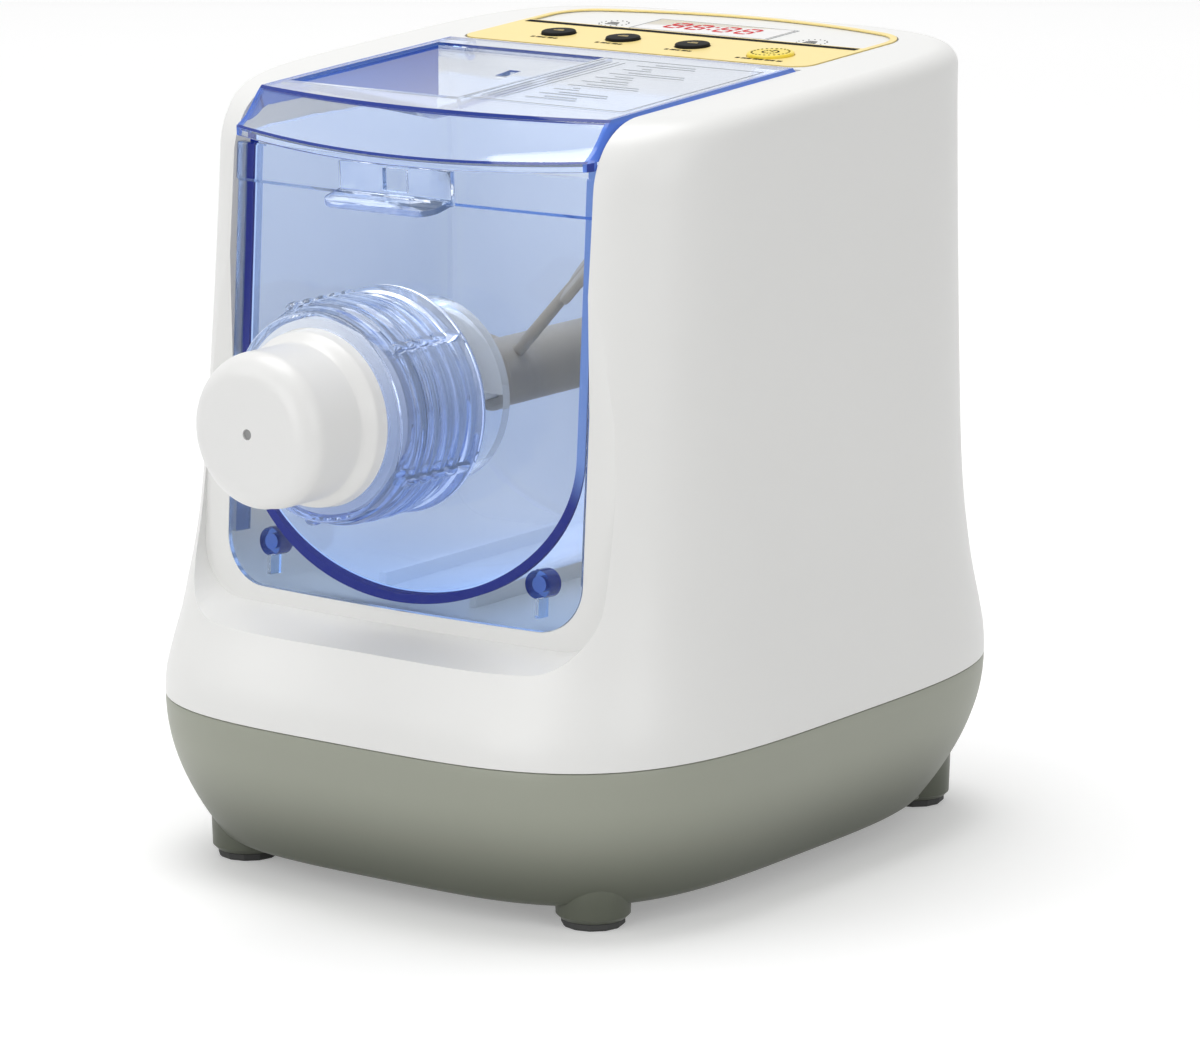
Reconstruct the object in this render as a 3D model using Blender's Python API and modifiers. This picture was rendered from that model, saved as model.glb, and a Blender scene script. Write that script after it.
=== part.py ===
"""Countertop electric pasta maker: housing on a flared base, mixing trough behind a clear front
plate, hinged lid, control panel, feed screw and paddle on a geared drive, die held by a ring nut.

Lengths are in metres. The front faces -Y and +Z is up. A reach is a distance forward of the
body's centre line, so it lies at y = -reach.
"""

import math

import bmesh
import bpy
from mathutils import Matrix, Vector

# Clearances and finishing
GAP = 0.0003
OVERRUN = 0.012
BURIED = 0.0012
MERGE = 0.00001
SHARP_ANGLE = math.radians(34)

# Housing and base, seen from above as superellipses
BODY_HALF_WIDTH = 0.1105
BODY_FRONT = 0.1222
BODY_REAR = 0.1230
TOP_HEIGHT = 0.2900
PARTING_HEIGHT = 0.0625
BASE_UNDERSIDE = 0.008
FLARE_SIDE = 0.0125
FLARE_FRONT = 0.0252
FLARE_REAR = 0.0190
FRONT_LEAN = math.radians(3.7)
TOP_SLOPE = math.radians(3.03)
SIDE_EDGE_RADIUS = 0.0075
FRONT_EDGE_RADIUS = 0.023
REAR_EDGE_RADIUS = 0.009
BASE_TUCK_SIDE = 0.018
BASE_TUCK_FRONT = 0.020
BASE_TUCK_REAR = 0.028
HOUSING_WALL = 0.0026
BASE_WALL = 0.0026
BODY_CORNER = 4.5
FLARED_CORNER = 3.7
TOP_REAR_CORNER = 4.2
RING_POINTS = 28
INNER_POINTS = 16
# Height shares from parting line to top, and the share of the flare left there
FLARE_SHARES = (
    (0.0, 1.0), (0.04, 0.97), (0.085, 0.82), (0.14, 0.60), (0.206, 0.42), (0.277, 0.28),
    (0.35, 0.20), (0.455, 0.14), (0.61, 0.08), (0.80, 0.03),
)
EDGE_SHARES = (1.0, 0.60, 0.32, 0.14, 0.04, 0.0)
BASE_LEVEL_SHARES = (0.0, 0.35, 0.65, 0.88, 1.0)

# Notch for the window and lid, and the well behind it
CHEEK_WIDTH = 0.0302
NOTCH_HALF_WIDTH = BODY_HALF_WIDTH - CHEEK_WIDTH
NOTCH_FLOOR = 0.1058
NOTCH_REAR = 0.0232
TOP_REACH = BODY_FRONT - math.tan(FRONT_LEAN) * (TOP_HEIGHT - NOTCH_FLOOR)
NOTCH_CORNER_RADIUS = 0.018
WELL_WALL = 0.0026
CORNER_STEPS = 4

# Shallow flat in the flared front below and beside the window
FLAT_SIDE_INSET = 0.0185
FLAT_HALF_WIDTH = BODY_HALF_WIDTH - FLAT_SIDE_INSET
FLAT_CREASE_DROP = 0.0178
FLAT_CREASE_HEIGHT = NOTCH_FLOOR - FLAT_CREASE_DROP
FLAT_INNER_DROP = 0.0058
FLAT_INNER_HEIGHT = NOTCH_FLOOR - FLAT_INNER_DROP
FLAT_CORNER_RADIUS = 0.020
FLAT_SETBACK = 0.0012
FLAT_REACH = 0.150

# Front plate
PLATE_SETBACK = 0.0096
PLATE_REACH = BODY_FRONT - PLATE_SETBACK
PLATE_BOW = 0.0045
PLATE_THICKNESS = 0.003
PLATE_TOP_DROP = 0.0235
PLATE_TOP = TOP_HEIGHT - PLATE_TOP_DROP
PLATE_FLANGE_THICKNESS = 0.0020
PLATE_FLANGE_DEPTH = 0.0080
BAND_HEIGHT = 0.013
BAND_PROUD = 0.0012
PLATE_STATIONS = 8
BOSS_HEIGHT = 0.0165
BOSS_CLEARANCE = 0.0033
BOSS_RADIUS = 0.0052
BOSS_BORE = 0.003
BOSS_DEPTH = 0.007
RIB_THICKNESS = 0.0016
RIB_FOOT = 0.0045

# Nozzle: die cup, ring nut and threaded neck on one axis
AXIS_SAG = 0.0153
AXIS_HEIGHT = (NOTCH_FLOOR + TOP_HEIGHT) / 2 - AXIS_SAG
TIP_REACH = 0.1968
CUP_RADIUS = 0.0278
CUP_EDGE_RADIUS = 0.0095
CUP_LENGTH = 0.0275
SKIRT_RADIUS = 0.0312
SKIRT_LENGTH = 0.0132
FLANGE_RADIUS = 0.0345
FLANGE_THICKNESS = 0.0045
CUP_WALL = 0.0032
CUP_BORE_MOUTH = 0.0272
TURNED_STEPS = 24
DIE_HOLE_RADIUS = 0.0021
DIE_HOLE_SPACING = 0.0066
DIE_HOLE_ROWS = 3
DIE_HOLE_COLUMNS = 3
DIE_FLAT_DEPTH = 0.0016
DIE_FLAT_HALF_WIDTH = 0.011
DIE_FLAT_SETBACK = 0.0055
CENTRE_PIT_RADIUS = 0.0022
CENTRE_PIT_DEPTH = 0.0008

NUT_LIP_RADIUS = 0.0317
NUT_LIP_THICKNESS = 0.0026
NUT_BEZEL_RADIUS = 0.0376
NUT_BARREL_RADIUS = 0.0384
NUT_BULGE = 0.0008
NUT_RIB_HEIGHT = 0.0010
NUT_RIBS = 5
RIB_STEPS = 2
NUT_RIM_RADIUS = 0.0408
NUT_RIM_LENGTH = 0.0022
NUT_SHOULDER = 0.0055
GRIPS = 5
GRIP_RADIUS = 0.0025
GRIP_FIRST_ANGLE = math.radians(42)
GRIP_BEADS = 3
GRIP_SIDES = 6
BEAD_NECK_SHARE = 0.72

NECK_RADIUS = 0.0340
NECK_BORE = 0.0290
THREAD_DEPTH = 0.0013
THREAD_PITCH = 0.006
THREAD_TURNS = 2
THREAD_STEPS = 16
THREAD_WIDTH = 0.0030
THREAD_CREST_WIDTH = 0.0010
THREAD_START = 0.004
NECK_INNER_LENGTH = 0.018

# Feed screw and mixing paddle
SCREW_RADIUS = 0.0282
SCREW_CORE_RADIUS = 0.0085
SCREW_PITCH = 0.023
SCREW_TURNS = 2.5
SCREW_STEPS = 12
FLIGHT_ROOT_WIDTH = 0.0052
FLIGHT_TIP_WIDTH = 0.0028
SCREW_FRONT_GAP = 0.002
SCREW_NOSE_LENGTH = 0.006
CORE_SIDES = 12
SOCKET_DEPTH = 0.018
PADDLE_HUB_RADIUS = 0.0125
PADDLE_HUB_LENGTH = 0.074
PADDLE_REAR_GAP = 0.0025
ARM_RADIUS = 0.0024
ARM_TIP_RADIUS = 0.0020
ARM_SIDES = 10
PADDLE_CLEARANCE = 0.0043
BLADE_LENGTH = 0.026
BLADE_WIDTH = 0.021
BLADE_THICKNESS = 0.0032
BLADE_TWIST = math.radians(28)
ARM_ANGLES = (47, 167, 287)
ARM_SETBACK_SHARES = (0.15, 0.50, 0.85)

# Mixing trough and its seals
TROUGH_CLEARANCE = 0.0040
TROUGH_SIDE_CLEARANCE = 0.0041
TROUGH_HALF_WIDTH = NOTCH_HALF_WIDTH - TROUGH_SIDE_CLEARANCE
TROUGH_DEPTH = 0.0582
TROUGH_CENTRE_HEIGHT = NOTCH_FLOOR + TROUGH_CLEARANCE + TROUGH_DEPTH
TROUGH_WALL = 0.0025
TROUGH_REAR = 0.0185
TROUGH_DROP = 0.0150
TROUGH_FRONT_SETBACK = 0.0085
TROUGH_ARC_STEPS = 16
EAR_RADIUS = 0.0065
EAR_THICKNESS = 0.0045
EAR_PIN_RADIUS = 0.0026
SEAL_LIP = 0.0012
SEAL_PROUD = 0.0013
RAIL_OFFSET = 0.0205
RAIL_WIDTH = 0.0030
SHAFT_SEAL_RADIUS = 0.0105

# Lid, in the sloping frame of the top face
LID_SIDE_GAP = 0.0004
LID_HALF_WIDTH = NOTCH_HALF_WIDTH - LID_SIDE_GAP
LID_PROUD = 0.0010
LID_REAR = 0.0205
LID_CREASE_SETBACK = 0.0191
LID_CREASE_REACH = TOP_REACH - LID_CREASE_SETBACK
LID_CREASE_BOW = 0.0105
LID_LIP_SETBACK = 0.0038
LID_LIP_REACH = TOP_REACH - LID_LIP_SETBACK
LID_LIP_BOW = 0.0095
LID_LIP_DROP = 0.0130
LID_LIP_DIP = 0.0030
LID_THICKNESS = 0.0022
LID_SKIRT = 0.0085
LID_EDGE_RADIUS = 0.0017
LID_STATIONS = 8
VISOR_REACH_SHARES = (0.0, 0.24, 0.42, 0.62, 0.86, 1.0)
VISOR_DROP_SHARES = (0.05, 0.26, 0.50, 0.72, 0.90, 1.0)
LIP_HEIGHT = 0.0030
HINGE_SETBACK = 0.0040
HINGE_DROP = 0.0050
KNUCKLE_RADIUS = 0.0040
KNUCKLE_LENGTH = 0.014
PIN_RADIUS = 0.0020
PIN_LENGTH = 0.020
ROUND_SIDES = 12

# Water funnel pressed into the lid, and its drain slot
FUNNEL_SIDE_INSET = 0.0054
FUNNEL_LEFT = FUNNEL_SIDE_INSET - LID_HALF_WIDTH
FUNNEL_RIGHT = 0.0025
FUNNEL_FRONT_INSET = 0.0112
FUNNEL_FRONT_REACH = LID_CREASE_REACH - FUNNEL_FRONT_INSET
FUNNEL_REAR = 0.0085
FUNNEL_DEPTH = 0.0064
FUNNEL_VALLEY_INSET = 0.0090
FUNNEL_SLOT_WIDTH = 0.0050
FUNNEL_SLOT_LENGTH = 0.0090
FUNNEL_SLOT_SHARES = (0.71, 0.67)

# Catch under the lid's lip
CATCH_HALF_WIDTH = 0.0250
CATCH_HEIGHT = 0.0125
CATCH_THICKNESS = 0.0022
CATCH_WINDOW = (0.0105, 0.0082)
CATCH_SETBACK = 0.0008
FINGER_REACH = 0.0130
FINGER_FALL = math.radians(9)
FINGER_RADIUS = 0.0070

# Control panel, in the sloping frame of the top face
PANEL_FRONT = 0.0262
PANEL_SIDE_INSET = 0.0315
PANEL_HALF_WIDTH = BODY_HALF_WIDTH - PANEL_SIDE_INSET
PANEL_FRONT_RADIUS = 0.0080
PANEL_CORNER_RADIUS = 0.0200
PANEL_REAR_INSET = 0.0110
PANEL_REAR = BODY_REAR - PANEL_REAR_INSET
PANEL_SHOULDER_SETBACK = 0.0290
PANEL_SHOULDER = PANEL_REAR - PANEL_SHOULDER_SETBACK
PANEL_REAR_BOW = 0.0092
PANEL_THICKNESS = 0.0019
FILM_THICKNESS = 0.0005
PANEL_PROUD = 0.0003
LEDGE_WIDTH = 0.0045
LEDGE_DEPTH = 0.0060
BAND_LENGTH = 0.0406
BAND_REAR = PANEL_FRONT + BAND_LENGTH
FILM_BORDER = 0.0028
# Shares of the panel's half width and of the yellow band's length
BUTTON_PLACE_SHARES = ((-0.594, 0.525), (-0.213, 0.520), (0.199, 0.495))
BUTTON_NAMES = ("button_left", "button_middle", "button_right")
BUTTON_RADIUS = 0.0066
POWER_PLACE_SHARES = (0.672, 0.414)
POWER_RADIUS = 0.0088
BUTTON_PROUD = 0.0012
BUTTON_TRAVEL = 0.0008
BUTTON_FLANGE = 0.0015
BUTTON_FLANGE_THICKNESS = 0.0014
BUTTON_STEM_RADIUS = 0.0026
DISPLAY_OFFSET = -0.0011
DISPLAY_SETBACK = 0.0281
DISPLAY_CENTRE = PANEL_REAR - DISPLAY_SETBACK
DISPLAY_HALF_WIDTH = 0.0305
DISPLAY_HALF_DEPTH = 0.0100
DISPLAY_MODULE_MARGIN = 0.0030
BOARD_DROP = 0.0150
BOARD_THICKNESS = 0.0016
BOARD_INSET = 0.0130
BOARD_HALF_WIDTH = PANEL_HALF_WIDTH - BOARD_INSET
BOARD_FRONT = 0.0330
BOARD_REAR_INSET = 0.0100
BOARD_REAR = PANEL_REAR - BOARD_REAR_INSET
SWITCH_SIZE = 0.0060
SWITCH_HEIGHT = 0.0040
POST_RADIUS = 0.0035
POST_SIDE_INSET = 0.0060
POST_REAR_INSET = 0.0120

# Drive behind the trough
MOTOR_CLEARANCE = 0.0051
PINION_TEETH = 10
WHEEL_TEETH = 40
GEAR_WIDTH = 0.009
TOOTH_ROOT_SHARE = 0.62
TOOTH_TIP_SHARE = 0.24
ADDENDUM_SHARE = 0.92
DEDENDUM_SHARE = 1.20
OUTPUT_SHAFT_RADIUS = 0.0052
IDLER_AXLE_RADIUS = 0.0040
MOTOR_SHAFT_RADIUS = 0.0030
RUNNING_GAP = 0.0003
GEARCASE_WALL = 0.0028
GEARCASE_MARGIN = 0.0040
GEAR_SPACING = 0.0020
HUB_RADIUS = 0.0090
OUTPUT_HUB_CLEARANCE = 0.0002
IDLER_HUB_STEP = 0.0007
BEARING_RADIUS = 0.0110
BEARING_WIDTH = 0.0070
BEARING_BOSS_WALL = 0.0028
MOTOR_RADIUS = 0.0280
MOTOR_LENGTH = 0.0680
MOTOR_END_RADIUS = 0.0240
MOTOR_END_LENGTH = 0.0060
MOTOR_SIDES = 16
FAN_RADIUS = 0.0235
FAN_HUB_RADIUS = 0.0080
FAN_WIDTH = 0.0080
FAN_GAP = 0.0030
FAN_BLADES = 7
FAN_BLADE_THICKNESS = 0.0016
FAN_BLADE_TURN = math.radians(32)
FASTENER_SIDES = 8
CASE_SCREW_RADIUS = 0.0018
CASE_SCREW_HEAD_RADIUS = 0.0036
CASE_SCREW_HEAD_LENGTH = 0.0024
CASE_SCREW_LENGTH = 0.0290
CASE_SCREW_FRONT_INSETS = (0.0165, 0.0522)
CASE_SCREW_REAR_INSETS = (0.0185, 0.0450)
CASE_SCREW_NAMES = (
    "case_screw_front_left", "case_screw_front_right", "case_screw_rear_left", "case_screw_rear_right",
)
CASE_BOSS_RADIUS = 0.0060
CASE_BOSS_TOP_LENGTH = 0.0140
CASE_HEAD_HEIGHT = 0.0460
COVER_SCREW_RADIUS = 0.0014
COVER_SCREW_HEAD_RADIUS = 0.0030
COVER_SCREW_HEAD_LENGTH = 0.0020
COVER_SCREW_LENGTH = 0.0120
COVER_LUG_RADIUS = 0.0055
COVER_SCREW_ANGLES = (58, 122, 270)
COVER_SCREW_NAMES = ("cover_screw_right", "cover_screw_left", "cover_screw_bottom")

# Base fittings
FOOT_SIDE_INSET = 0.0315
FOOT_HALF_SPACING = BODY_HALF_WIDTH - FOOT_SIDE_INSET
FOOT_FRONT_INSET = 0.0187
FOOT_FRONT_REACH = BODY_FRONT - FOOT_FRONT_INSET
FOOT_REAR_INSET = 0.0170
FOOT_REAR = BODY_REAR - FOOT_REAR_INSET
FOOT_RADIUS = 0.0140
FOOT_TOP = 0.0240
PAD_RADIUS = 0.0115
PAD_HEIGHT = 0.0026
PAD_EDGE = 0.0008
VENT_ROWS = 2
VENT_COLUMNS = 5
VENT_SPACING = 0.0140
VENT_WIDTH = 0.0045
VENT_LENGTH = 0.0380
VENT_ROW_SPACING = 0.0500
VENT_CENTRE_REACH = 0.0050
POWER_BOARD_LEFT = -0.0800
POWER_BOARD_RIGHT = -0.0400
POWER_BOARD_FRONT_REACH = 0.0450
POWER_BOARD_REAR = 0.0450
POWER_BOARD_HEIGHT = 0.0240
POWER_PART_HEIGHT = 0.0160
POWER_PART_WIDTH = 0.0133
POWER_PART_LENGTH = 0.0150
# Place along the board and height of each tall part on it
POWER_PART_SHARES = ((0.12, 1.0), (0.45, 0.6), (0.74, 0.8))
STANDOFF_RADIUS = 0.0035
INLET_OFFSET = -0.0500
INLET_HEIGHT = 0.0380
INLET_HALF_WIDTH = 0.0135
INLET_HALF_HEIGHT = 0.0100
INLET_SOCKET_HALF_WIDTH = 0.0112
INLET_SOCKET_HALF_HEIGHT = 0.0078
INLET_LENGTH = 0.0240
INLET_SOCKET_DEPTH = 0.0160
INLET_FLANGE = 0.0030
INLET_FLANGE_THICKNESS = 0.0024
INLET_BLADE_WIDTH = 0.0020
INLET_BLADE_HEIGHT = 0.0040
INLET_BLADE_SPACING = 0.0068
INLET_BLADE_SETBACK = 0.0065
LID_SWITCH_SIZE = (0.0100, 0.0170, 0.0120)

# Places worked out from the sizes above
MACHINE_SHIFT = (TIP_REACH - (BODY_REAR + FLARE_REAR)) / 2
FLANGE_FRONT_REACH = TIP_REACH - CUP_LENGTH - SKIRT_LENGTH
FLANGE_REAR_REACH = FLANGE_FRONT_REACH - FLANGE_THICKNESS
NECK_FRONT_REACH = FLANGE_REAR_REACH - GAP
PLATE_AXIS_REACH = PLATE_REACH + PLATE_BOW - math.tan(FRONT_LEAN) * (AXIS_HEIGHT - NOTCH_FLOOR)
NUT_FRONT_REACH = FLANGE_FRONT_REACH + GAP + NUT_LIP_THICKNESS
NUT_REAR_REACH = PLATE_AXIS_REACH + math.tan(FRONT_LEAN) * NUT_RIM_RADIUS + GAP
BOSS_SHARE = 1 - (BOSS_HEIGHT + BOSS_RADIUS + BOSS_CLEARANCE - TROUGH_CLEARANCE + SEAL_PROUD) / (
    TROUGH_DEPTH + SEAL_PROUD
)
BOSS_OFFSET = (TROUGH_HALF_WIDTH + SEAL_PROUD) * math.sqrt(1 - BOSS_SHARE**2)
ARM_REACH = min(
    AXIS_HEIGHT - NOTCH_FLOOR - TROUGH_CLEARANCE - TROUGH_WALL, TROUGH_HALF_WIDTH - TROUGH_WALL,
) - PADDLE_CLEARANCE
MOTOR_HEIGHT = NOTCH_FLOOR - WELL_WALL - MOTOR_CLEARANCE - MOTOR_RADIUS
GEAR_MODULE = (AXIS_HEIGHT - MOTOR_HEIGHT) / (PINION_TEETH + WHEEL_TEETH)
WHEEL_RADIUS = GEAR_MODULE * WHEEL_TEETH / 2
PINION_RADIUS = GEAR_MODULE * PINION_TEETH / 2
IDLER_HEIGHT = MOTOR_HEIGHT + WHEEL_RADIUS + PINION_RADIUS
OUTPUT_HUB_RADIUS = PINION_RADIUS - GEAR_MODULE * ADDENDUM_SHARE - OUTPUT_HUB_CLEARANCE
IDLER_HUB_RADIUS = PINION_RADIUS - GEAR_MODULE * DEDENDUM_SHARE - IDLER_HUB_STEP
CASE_FRONT = NOTCH_REAR + WELL_WALL + GAP
OUTPUT_GEAR_FRONT = CASE_FRONT + GEARCASE_WALL + BEARING_WIDTH
INPUT_GEAR_FRONT = OUTPUT_GEAR_FRONT + GEAR_WIDTH + GEAR_SPACING
CASE_REAR = INPUT_GEAR_FRONT + GEAR_WIDTH + GEAR_SPACING
COVER_REAR = CASE_REAR + GAP + GEARCASE_WALL
SHAFT_REAR = CASE_REAR + GAP * 2 + BEARING_WIDTH
CASE_SCREW_PLACES = [
    (side * (BODY_HALF_WIDTH - across), end * (reach - along))
    for end, reach, (across, along) in (
        (-1, BODY_FRONT, CASE_SCREW_FRONT_INSETS), (1, BODY_REAR, CASE_SCREW_REAR_INSETS),
    )
    for side in (-1, 1)
]
BUTTON_PLACES = [
    (across * PANEL_HALF_WIDTH, PANEL_FRONT + along * BAND_LENGTH) for across, along in BUTTON_PLACE_SHARES
]
POWER_PLACE = (POWER_PLACE_SHARES[0] * PANEL_HALF_WIDTH, PANEL_FRONT + POWER_PLACE_SHARES[1] * BAND_LENGTH)

PARTS = bpy.data.collections.new("electric_pasta_maker")
CUTTERS = bpy.data.collections.new("cutters")


def clear_scene():
    for old in list(bpy.data.objects):
        bpy.data.objects.remove(old, do_unlink=True)
    bpy.context.scene.collection.children.link(PARTS)
    bpy.context.scene.collection.children.link(CUTTERS)


def finish(name, colour, roughness, metallic=0.0, transmission=0.0):
    """The one material of a sub-part."""
    material = bpy.data.materials.new(name)
    material.use_nodes = True
    shader = material.node_tree.nodes["Principled BSDF"]
    shader.inputs["Base Color"].default_value = (*colour, 1.0)
    shader.inputs["Roughness"].default_value = roughness
    shader.inputs["Metallic"].default_value = metallic
    shader.inputs["Transmission Weight"].default_value = transmission
    return material


def frame(name, place, parent=None, lean=0.0):
    """An empty that carries other pieces, turned about X by lean."""
    empty = bpy.data.objects.new(name, None)
    empty.location = place
    empty.rotation_euler.x = lean
    empty.parent = parent
    PARTS.objects.link(empty)
    return empty


def solid(name, bm, parent, material=None, place=(0, 0, 0), along_front=False):
    """An object from a bmesh: a visible piece with its material, or else a hidden tool."""
    bmesh.ops.recalc_face_normals(bm, faces=bm.faces)
    mesh = bpy.data.meshes.new(name)
    bm.to_mesh(mesh)
    bm.free()
    piece = bpy.data.objects.new(name, mesh)
    piece.location = place
    piece.parent = parent
    if along_front:
        piece.rotation_euler.x = math.pi / 2
    if material is None:
        CUTTERS.objects.link(piece)
        piece.hide_render = True
        piece.display_type = "WIRE"
    else:
        PARTS.objects.link(piece)
        mesh.materials.append(material)
    return piece


def combine(piece, tool, operation):
    """Cuts, joins or intersects a piece with a tool object."""
    modifier = piece.modifiers.new(tool.name, "BOOLEAN")
    modifier.operation = operation
    modifier.solver = "EXACT"
    modifier.object = tool
    return piece


def cut(piece, tool):
    return combine(piece, tool, "DIFFERENCE")


def join(piece, tool):
    return combine(piece, tool, "UNION")


def smooth(piece):
    """Shades round forms smooth and keeps their edges sharp."""
    piece.data.shade_smooth()
    piece.data.set_sharp_from_angle(angle=SHARP_ANGLE)
    return piece


def block(bm, low, high):
    """A box between two corners."""
    low, high = Vector(low), Vector(high)
    size = high - low
    place = Matrix.Translation((low + high) / 2) @ Matrix.Diagonal((*size, 1.0))
    bmesh.ops.create_cube(bm, size=1.0, matrix=place)


def rod(bm, radius, start, end, sides=ROUND_SIDES, end_radius=None):
    """A round bar or cone between two points."""
    start, end = Vector(start), Vector(end)
    run = end - start
    turn = run.to_track_quat("Z", "Y").to_matrix().to_4x4()
    bmesh.ops.create_cone(
        bm, cap_ends=True, segments=sides, radius1=radius,
        radius2=radius if end_radius is None else end_radius,
        depth=run.length, matrix=Matrix.Translation((start + end) / 2) @ turn,
    )


def prism(bm, outline, start, run):
    """A flat outline, given as points in space about start, drawn out along run."""
    start = Vector(start)
    corners = [bm.verts.new(start + Vector(point)) for point in outline]
    face = bm.faces.new(corners)
    drawn = bmesh.ops.extrude_face_region(bm, geom=[face])
    moved = [item for item in drawn["geom"] if isinstance(item, bmesh.types.BMVert)]
    bmesh.ops.translate(bm, verts=moved, vec=Vector(run))


def loft(bm, rings):
    """Joins rings of equal count with quads and closes both ends."""
    levels = [[bm.verts.new(point) for point in ring] for ring in rings]
    for lower, upper in zip(levels, levels[1:]):
        for i in range(len(lower)):
            j = (i + 1) % len(lower)
            bm.faces.new((lower[i], lower[j], upper[j], upper[i]))
    bm.faces.new(levels[0][::-1])
    bm.faces.new(levels[-1])


def turned(name, profile, parent, material=None, place=(0, 0, 0), along_front=True, steps=TURNED_STEPS):
    """A turned piece: (radius, height) points down the outer side and up the inner one."""
    closed = all(radius > 0 for radius, _ in profile)
    edges = [(i, i + 1) for i in range(len(profile) - 1)]
    if closed:
        edges.append((len(profile) - 1, 0))
    mesh = bpy.data.meshes.new(name)
    mesh.from_pydata([(radius, 0, height) for radius, height in profile], edges, [])
    piece = bpy.data.objects.new(name, mesh)
    piece.location = place
    piece.parent = parent
    if along_front:
        piece.rotation_euler.x = math.pi / 2
    screw = piece.modifiers.new("turn", "SCREW")
    screw.steps = steps
    screw.render_steps = steps
    screw.use_merge_vertices = True
    screw.merge_threshold = MERGE
    screw.use_smooth_shade = True
    if material is None:
        CUTTERS.objects.link(piece)
        piece.hide_render = True
        piece.display_type = "WIRE"
    else:
        PARTS.objects.link(piece)
        mesh.materials.append(material)
    return piece


def helix(bm, profile, pitch, turns, steps, start, sides):
    """A ridge wound upwards about Z from start, half a side past a corner of the bar that carries it."""
    points = [bm.verts.new((radius, 0, start + height)) for radius, height in profile]
    edges = [bm.edges.new((points[i], points[(i + 1) % len(points)])) for i in range(len(points))]
    bmesh.ops.spin(
        bm, geom=points + edges, cent=(0, 0, 0), axis=(0, 0, 1), dvec=(0, 0, pitch / steps),
        angle=math.tau * turns, steps=round(steps * turns),
    )
    bmesh.ops.holes_fill(bm, edges=[edge for edge in bm.edges if edge.is_boundary])
    bmesh.ops.rotate(bm, verts=bm.verts, matrix=Matrix.Rotation(math.pi / sides, 3, "Z"))


def rounded_notch(half_width, floor, top, radius):
    """Front view (x, z) of the notch: round lower corners and an open, straight top."""
    outline = [(-half_width, top)]
    for side, first in ((-1, 180), (1, 270)):
        centre_x = side * (half_width - radius)
        for i in range(CORNER_STEPS + 1):
            angle = math.radians(first + 90 * i / CORNER_STEPS)
            outline.append((centre_x + radius * math.cos(angle), floor + radius + radius * math.sin(angle)))
    outline.append((half_width, top))
    return [(x, 0, z) for x, z in outline]


def section(half_width, front, rear, front_corner, rear_corner, height, slope=0.0, points=RING_POINTS):
    """One level of the body: a superellipse whose halves have corners of their own."""
    centre = (rear - front) / 2
    depth = (rear + front) / 2
    ring = []
    for i in range(points):
        angle = math.tau * i / points
        c, s = math.cos(angle), math.sin(angle)
        power = 2 / (rear_corner if s > 0 else front_corner)
        x = half_width * math.copysign(abs(c) ** power, c)
        y = centre + depth * math.copysign(abs(s) ** power, s)
        ring.append((x, y, height + slope * y))
    return ring


def rounding(radius, below_top):
    """How far a rounded top edge has drawn in at a depth below the top."""
    if below_top >= radius:
        return 0.0
    return radius - math.sqrt(radius**2 - (radius - below_top) ** 2)


def flare_share(height_share):
    for (low, low_share), (high, high_share) in zip(FLARE_SHARES, FLARE_SHARES[1:]):
        if height_share <= high:
            return low_share + (high_share - low_share) * (height_share - low) / (high - low)
    return 0.0


def housing_rings(wall, foot, every=1, points=RING_POINTS):
    """Levels of the housing set in by a wall, the lowest at height foot."""
    rise = TOP_HEIGHT - PARTING_HEIGHT
    heights = [PARTING_HEIGHT + share * rise for share, _ in FLARE_SHARES[::every]]
    heights[0] = foot
    heights += [TOP_HEIGHT - share * FRONT_EDGE_RADIUS for share in EDGE_SHARES[::every]]
    rings = []
    for height in heights:
        share = max(0.0, (height - PARTING_HEIGHT) / rise)
        flare = flare_share(share)
        below = TOP_HEIGHT - height
        lean = math.tan(FRONT_LEAN) * max(0.0, height - NOTCH_FLOOR)
        rings.append(section(
            BODY_HALF_WIDTH + FLARE_SIDE * flare - rounding(SIDE_EDGE_RADIUS, below) - wall,
            BODY_FRONT + FLARE_FRONT * flare - lean - rounding(FRONT_EDGE_RADIUS, below) - wall,
            BODY_REAR + FLARE_REAR * flare - rounding(REAR_EDGE_RADIUS, below) - wall,
            BODY_CORNER + (FLARED_CORNER - BODY_CORNER) * flare,
            BODY_CORNER + (FLARED_CORNER - BODY_CORNER) * flare + (TOP_REAR_CORNER - BODY_CORNER) * share**2,
            height - (wall if height > foot else 0.0),
            math.tan(TOP_SLOPE) * share,
            points,
        ))
    return rings


def base_rings(wall, floor, points=RING_POINTS):
    """Levels of the base from its rim down, set in by a wall and stopped at a floor height."""
    depth = PARTING_HEIGHT - BASE_UNDERSIDE
    rings = []
    for share in BASE_LEVEL_SHARES:
        height = max(floor, PARTING_HEIGHT - share * depth)
        tuck = ((PARTING_HEIGHT - height) / depth) ** 2
        rings.append(section(
            BODY_HALF_WIDTH + FLARE_SIDE - BASE_TUCK_SIDE * tuck - wall,
            BODY_FRONT + FLARE_FRONT - BASE_TUCK_FRONT * tuck - wall,
            BODY_REAR + FLARE_REAR - BASE_TUCK_REAR * tuck - wall,
            FLARED_CORNER, FLARED_CORNER, height, points=points,
        ))
    return rings


def plate_bow(x, half_width=NOTCH_HALF_WIDTH):
    return PLATE_BOW * (1 - (x / half_width) ** 2)


def bowed_slab(bm, low, high, front, back):
    """A slab of the front plate's curve, in the plate's leaning frame."""
    rings = []
    for i in range(PLATE_STATIONS + 1):
        x = NOTCH_HALF_WIDTH * (2 * i / PLATE_STATIONS - 1)
        bow = plate_bow(x)
        rings.append(
            [(x, -bow - front, low), (x, -bow - front, high), (x, -bow + back, high), (x, -bow + back, low)],
        )
    loft(bm, rings)


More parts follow.
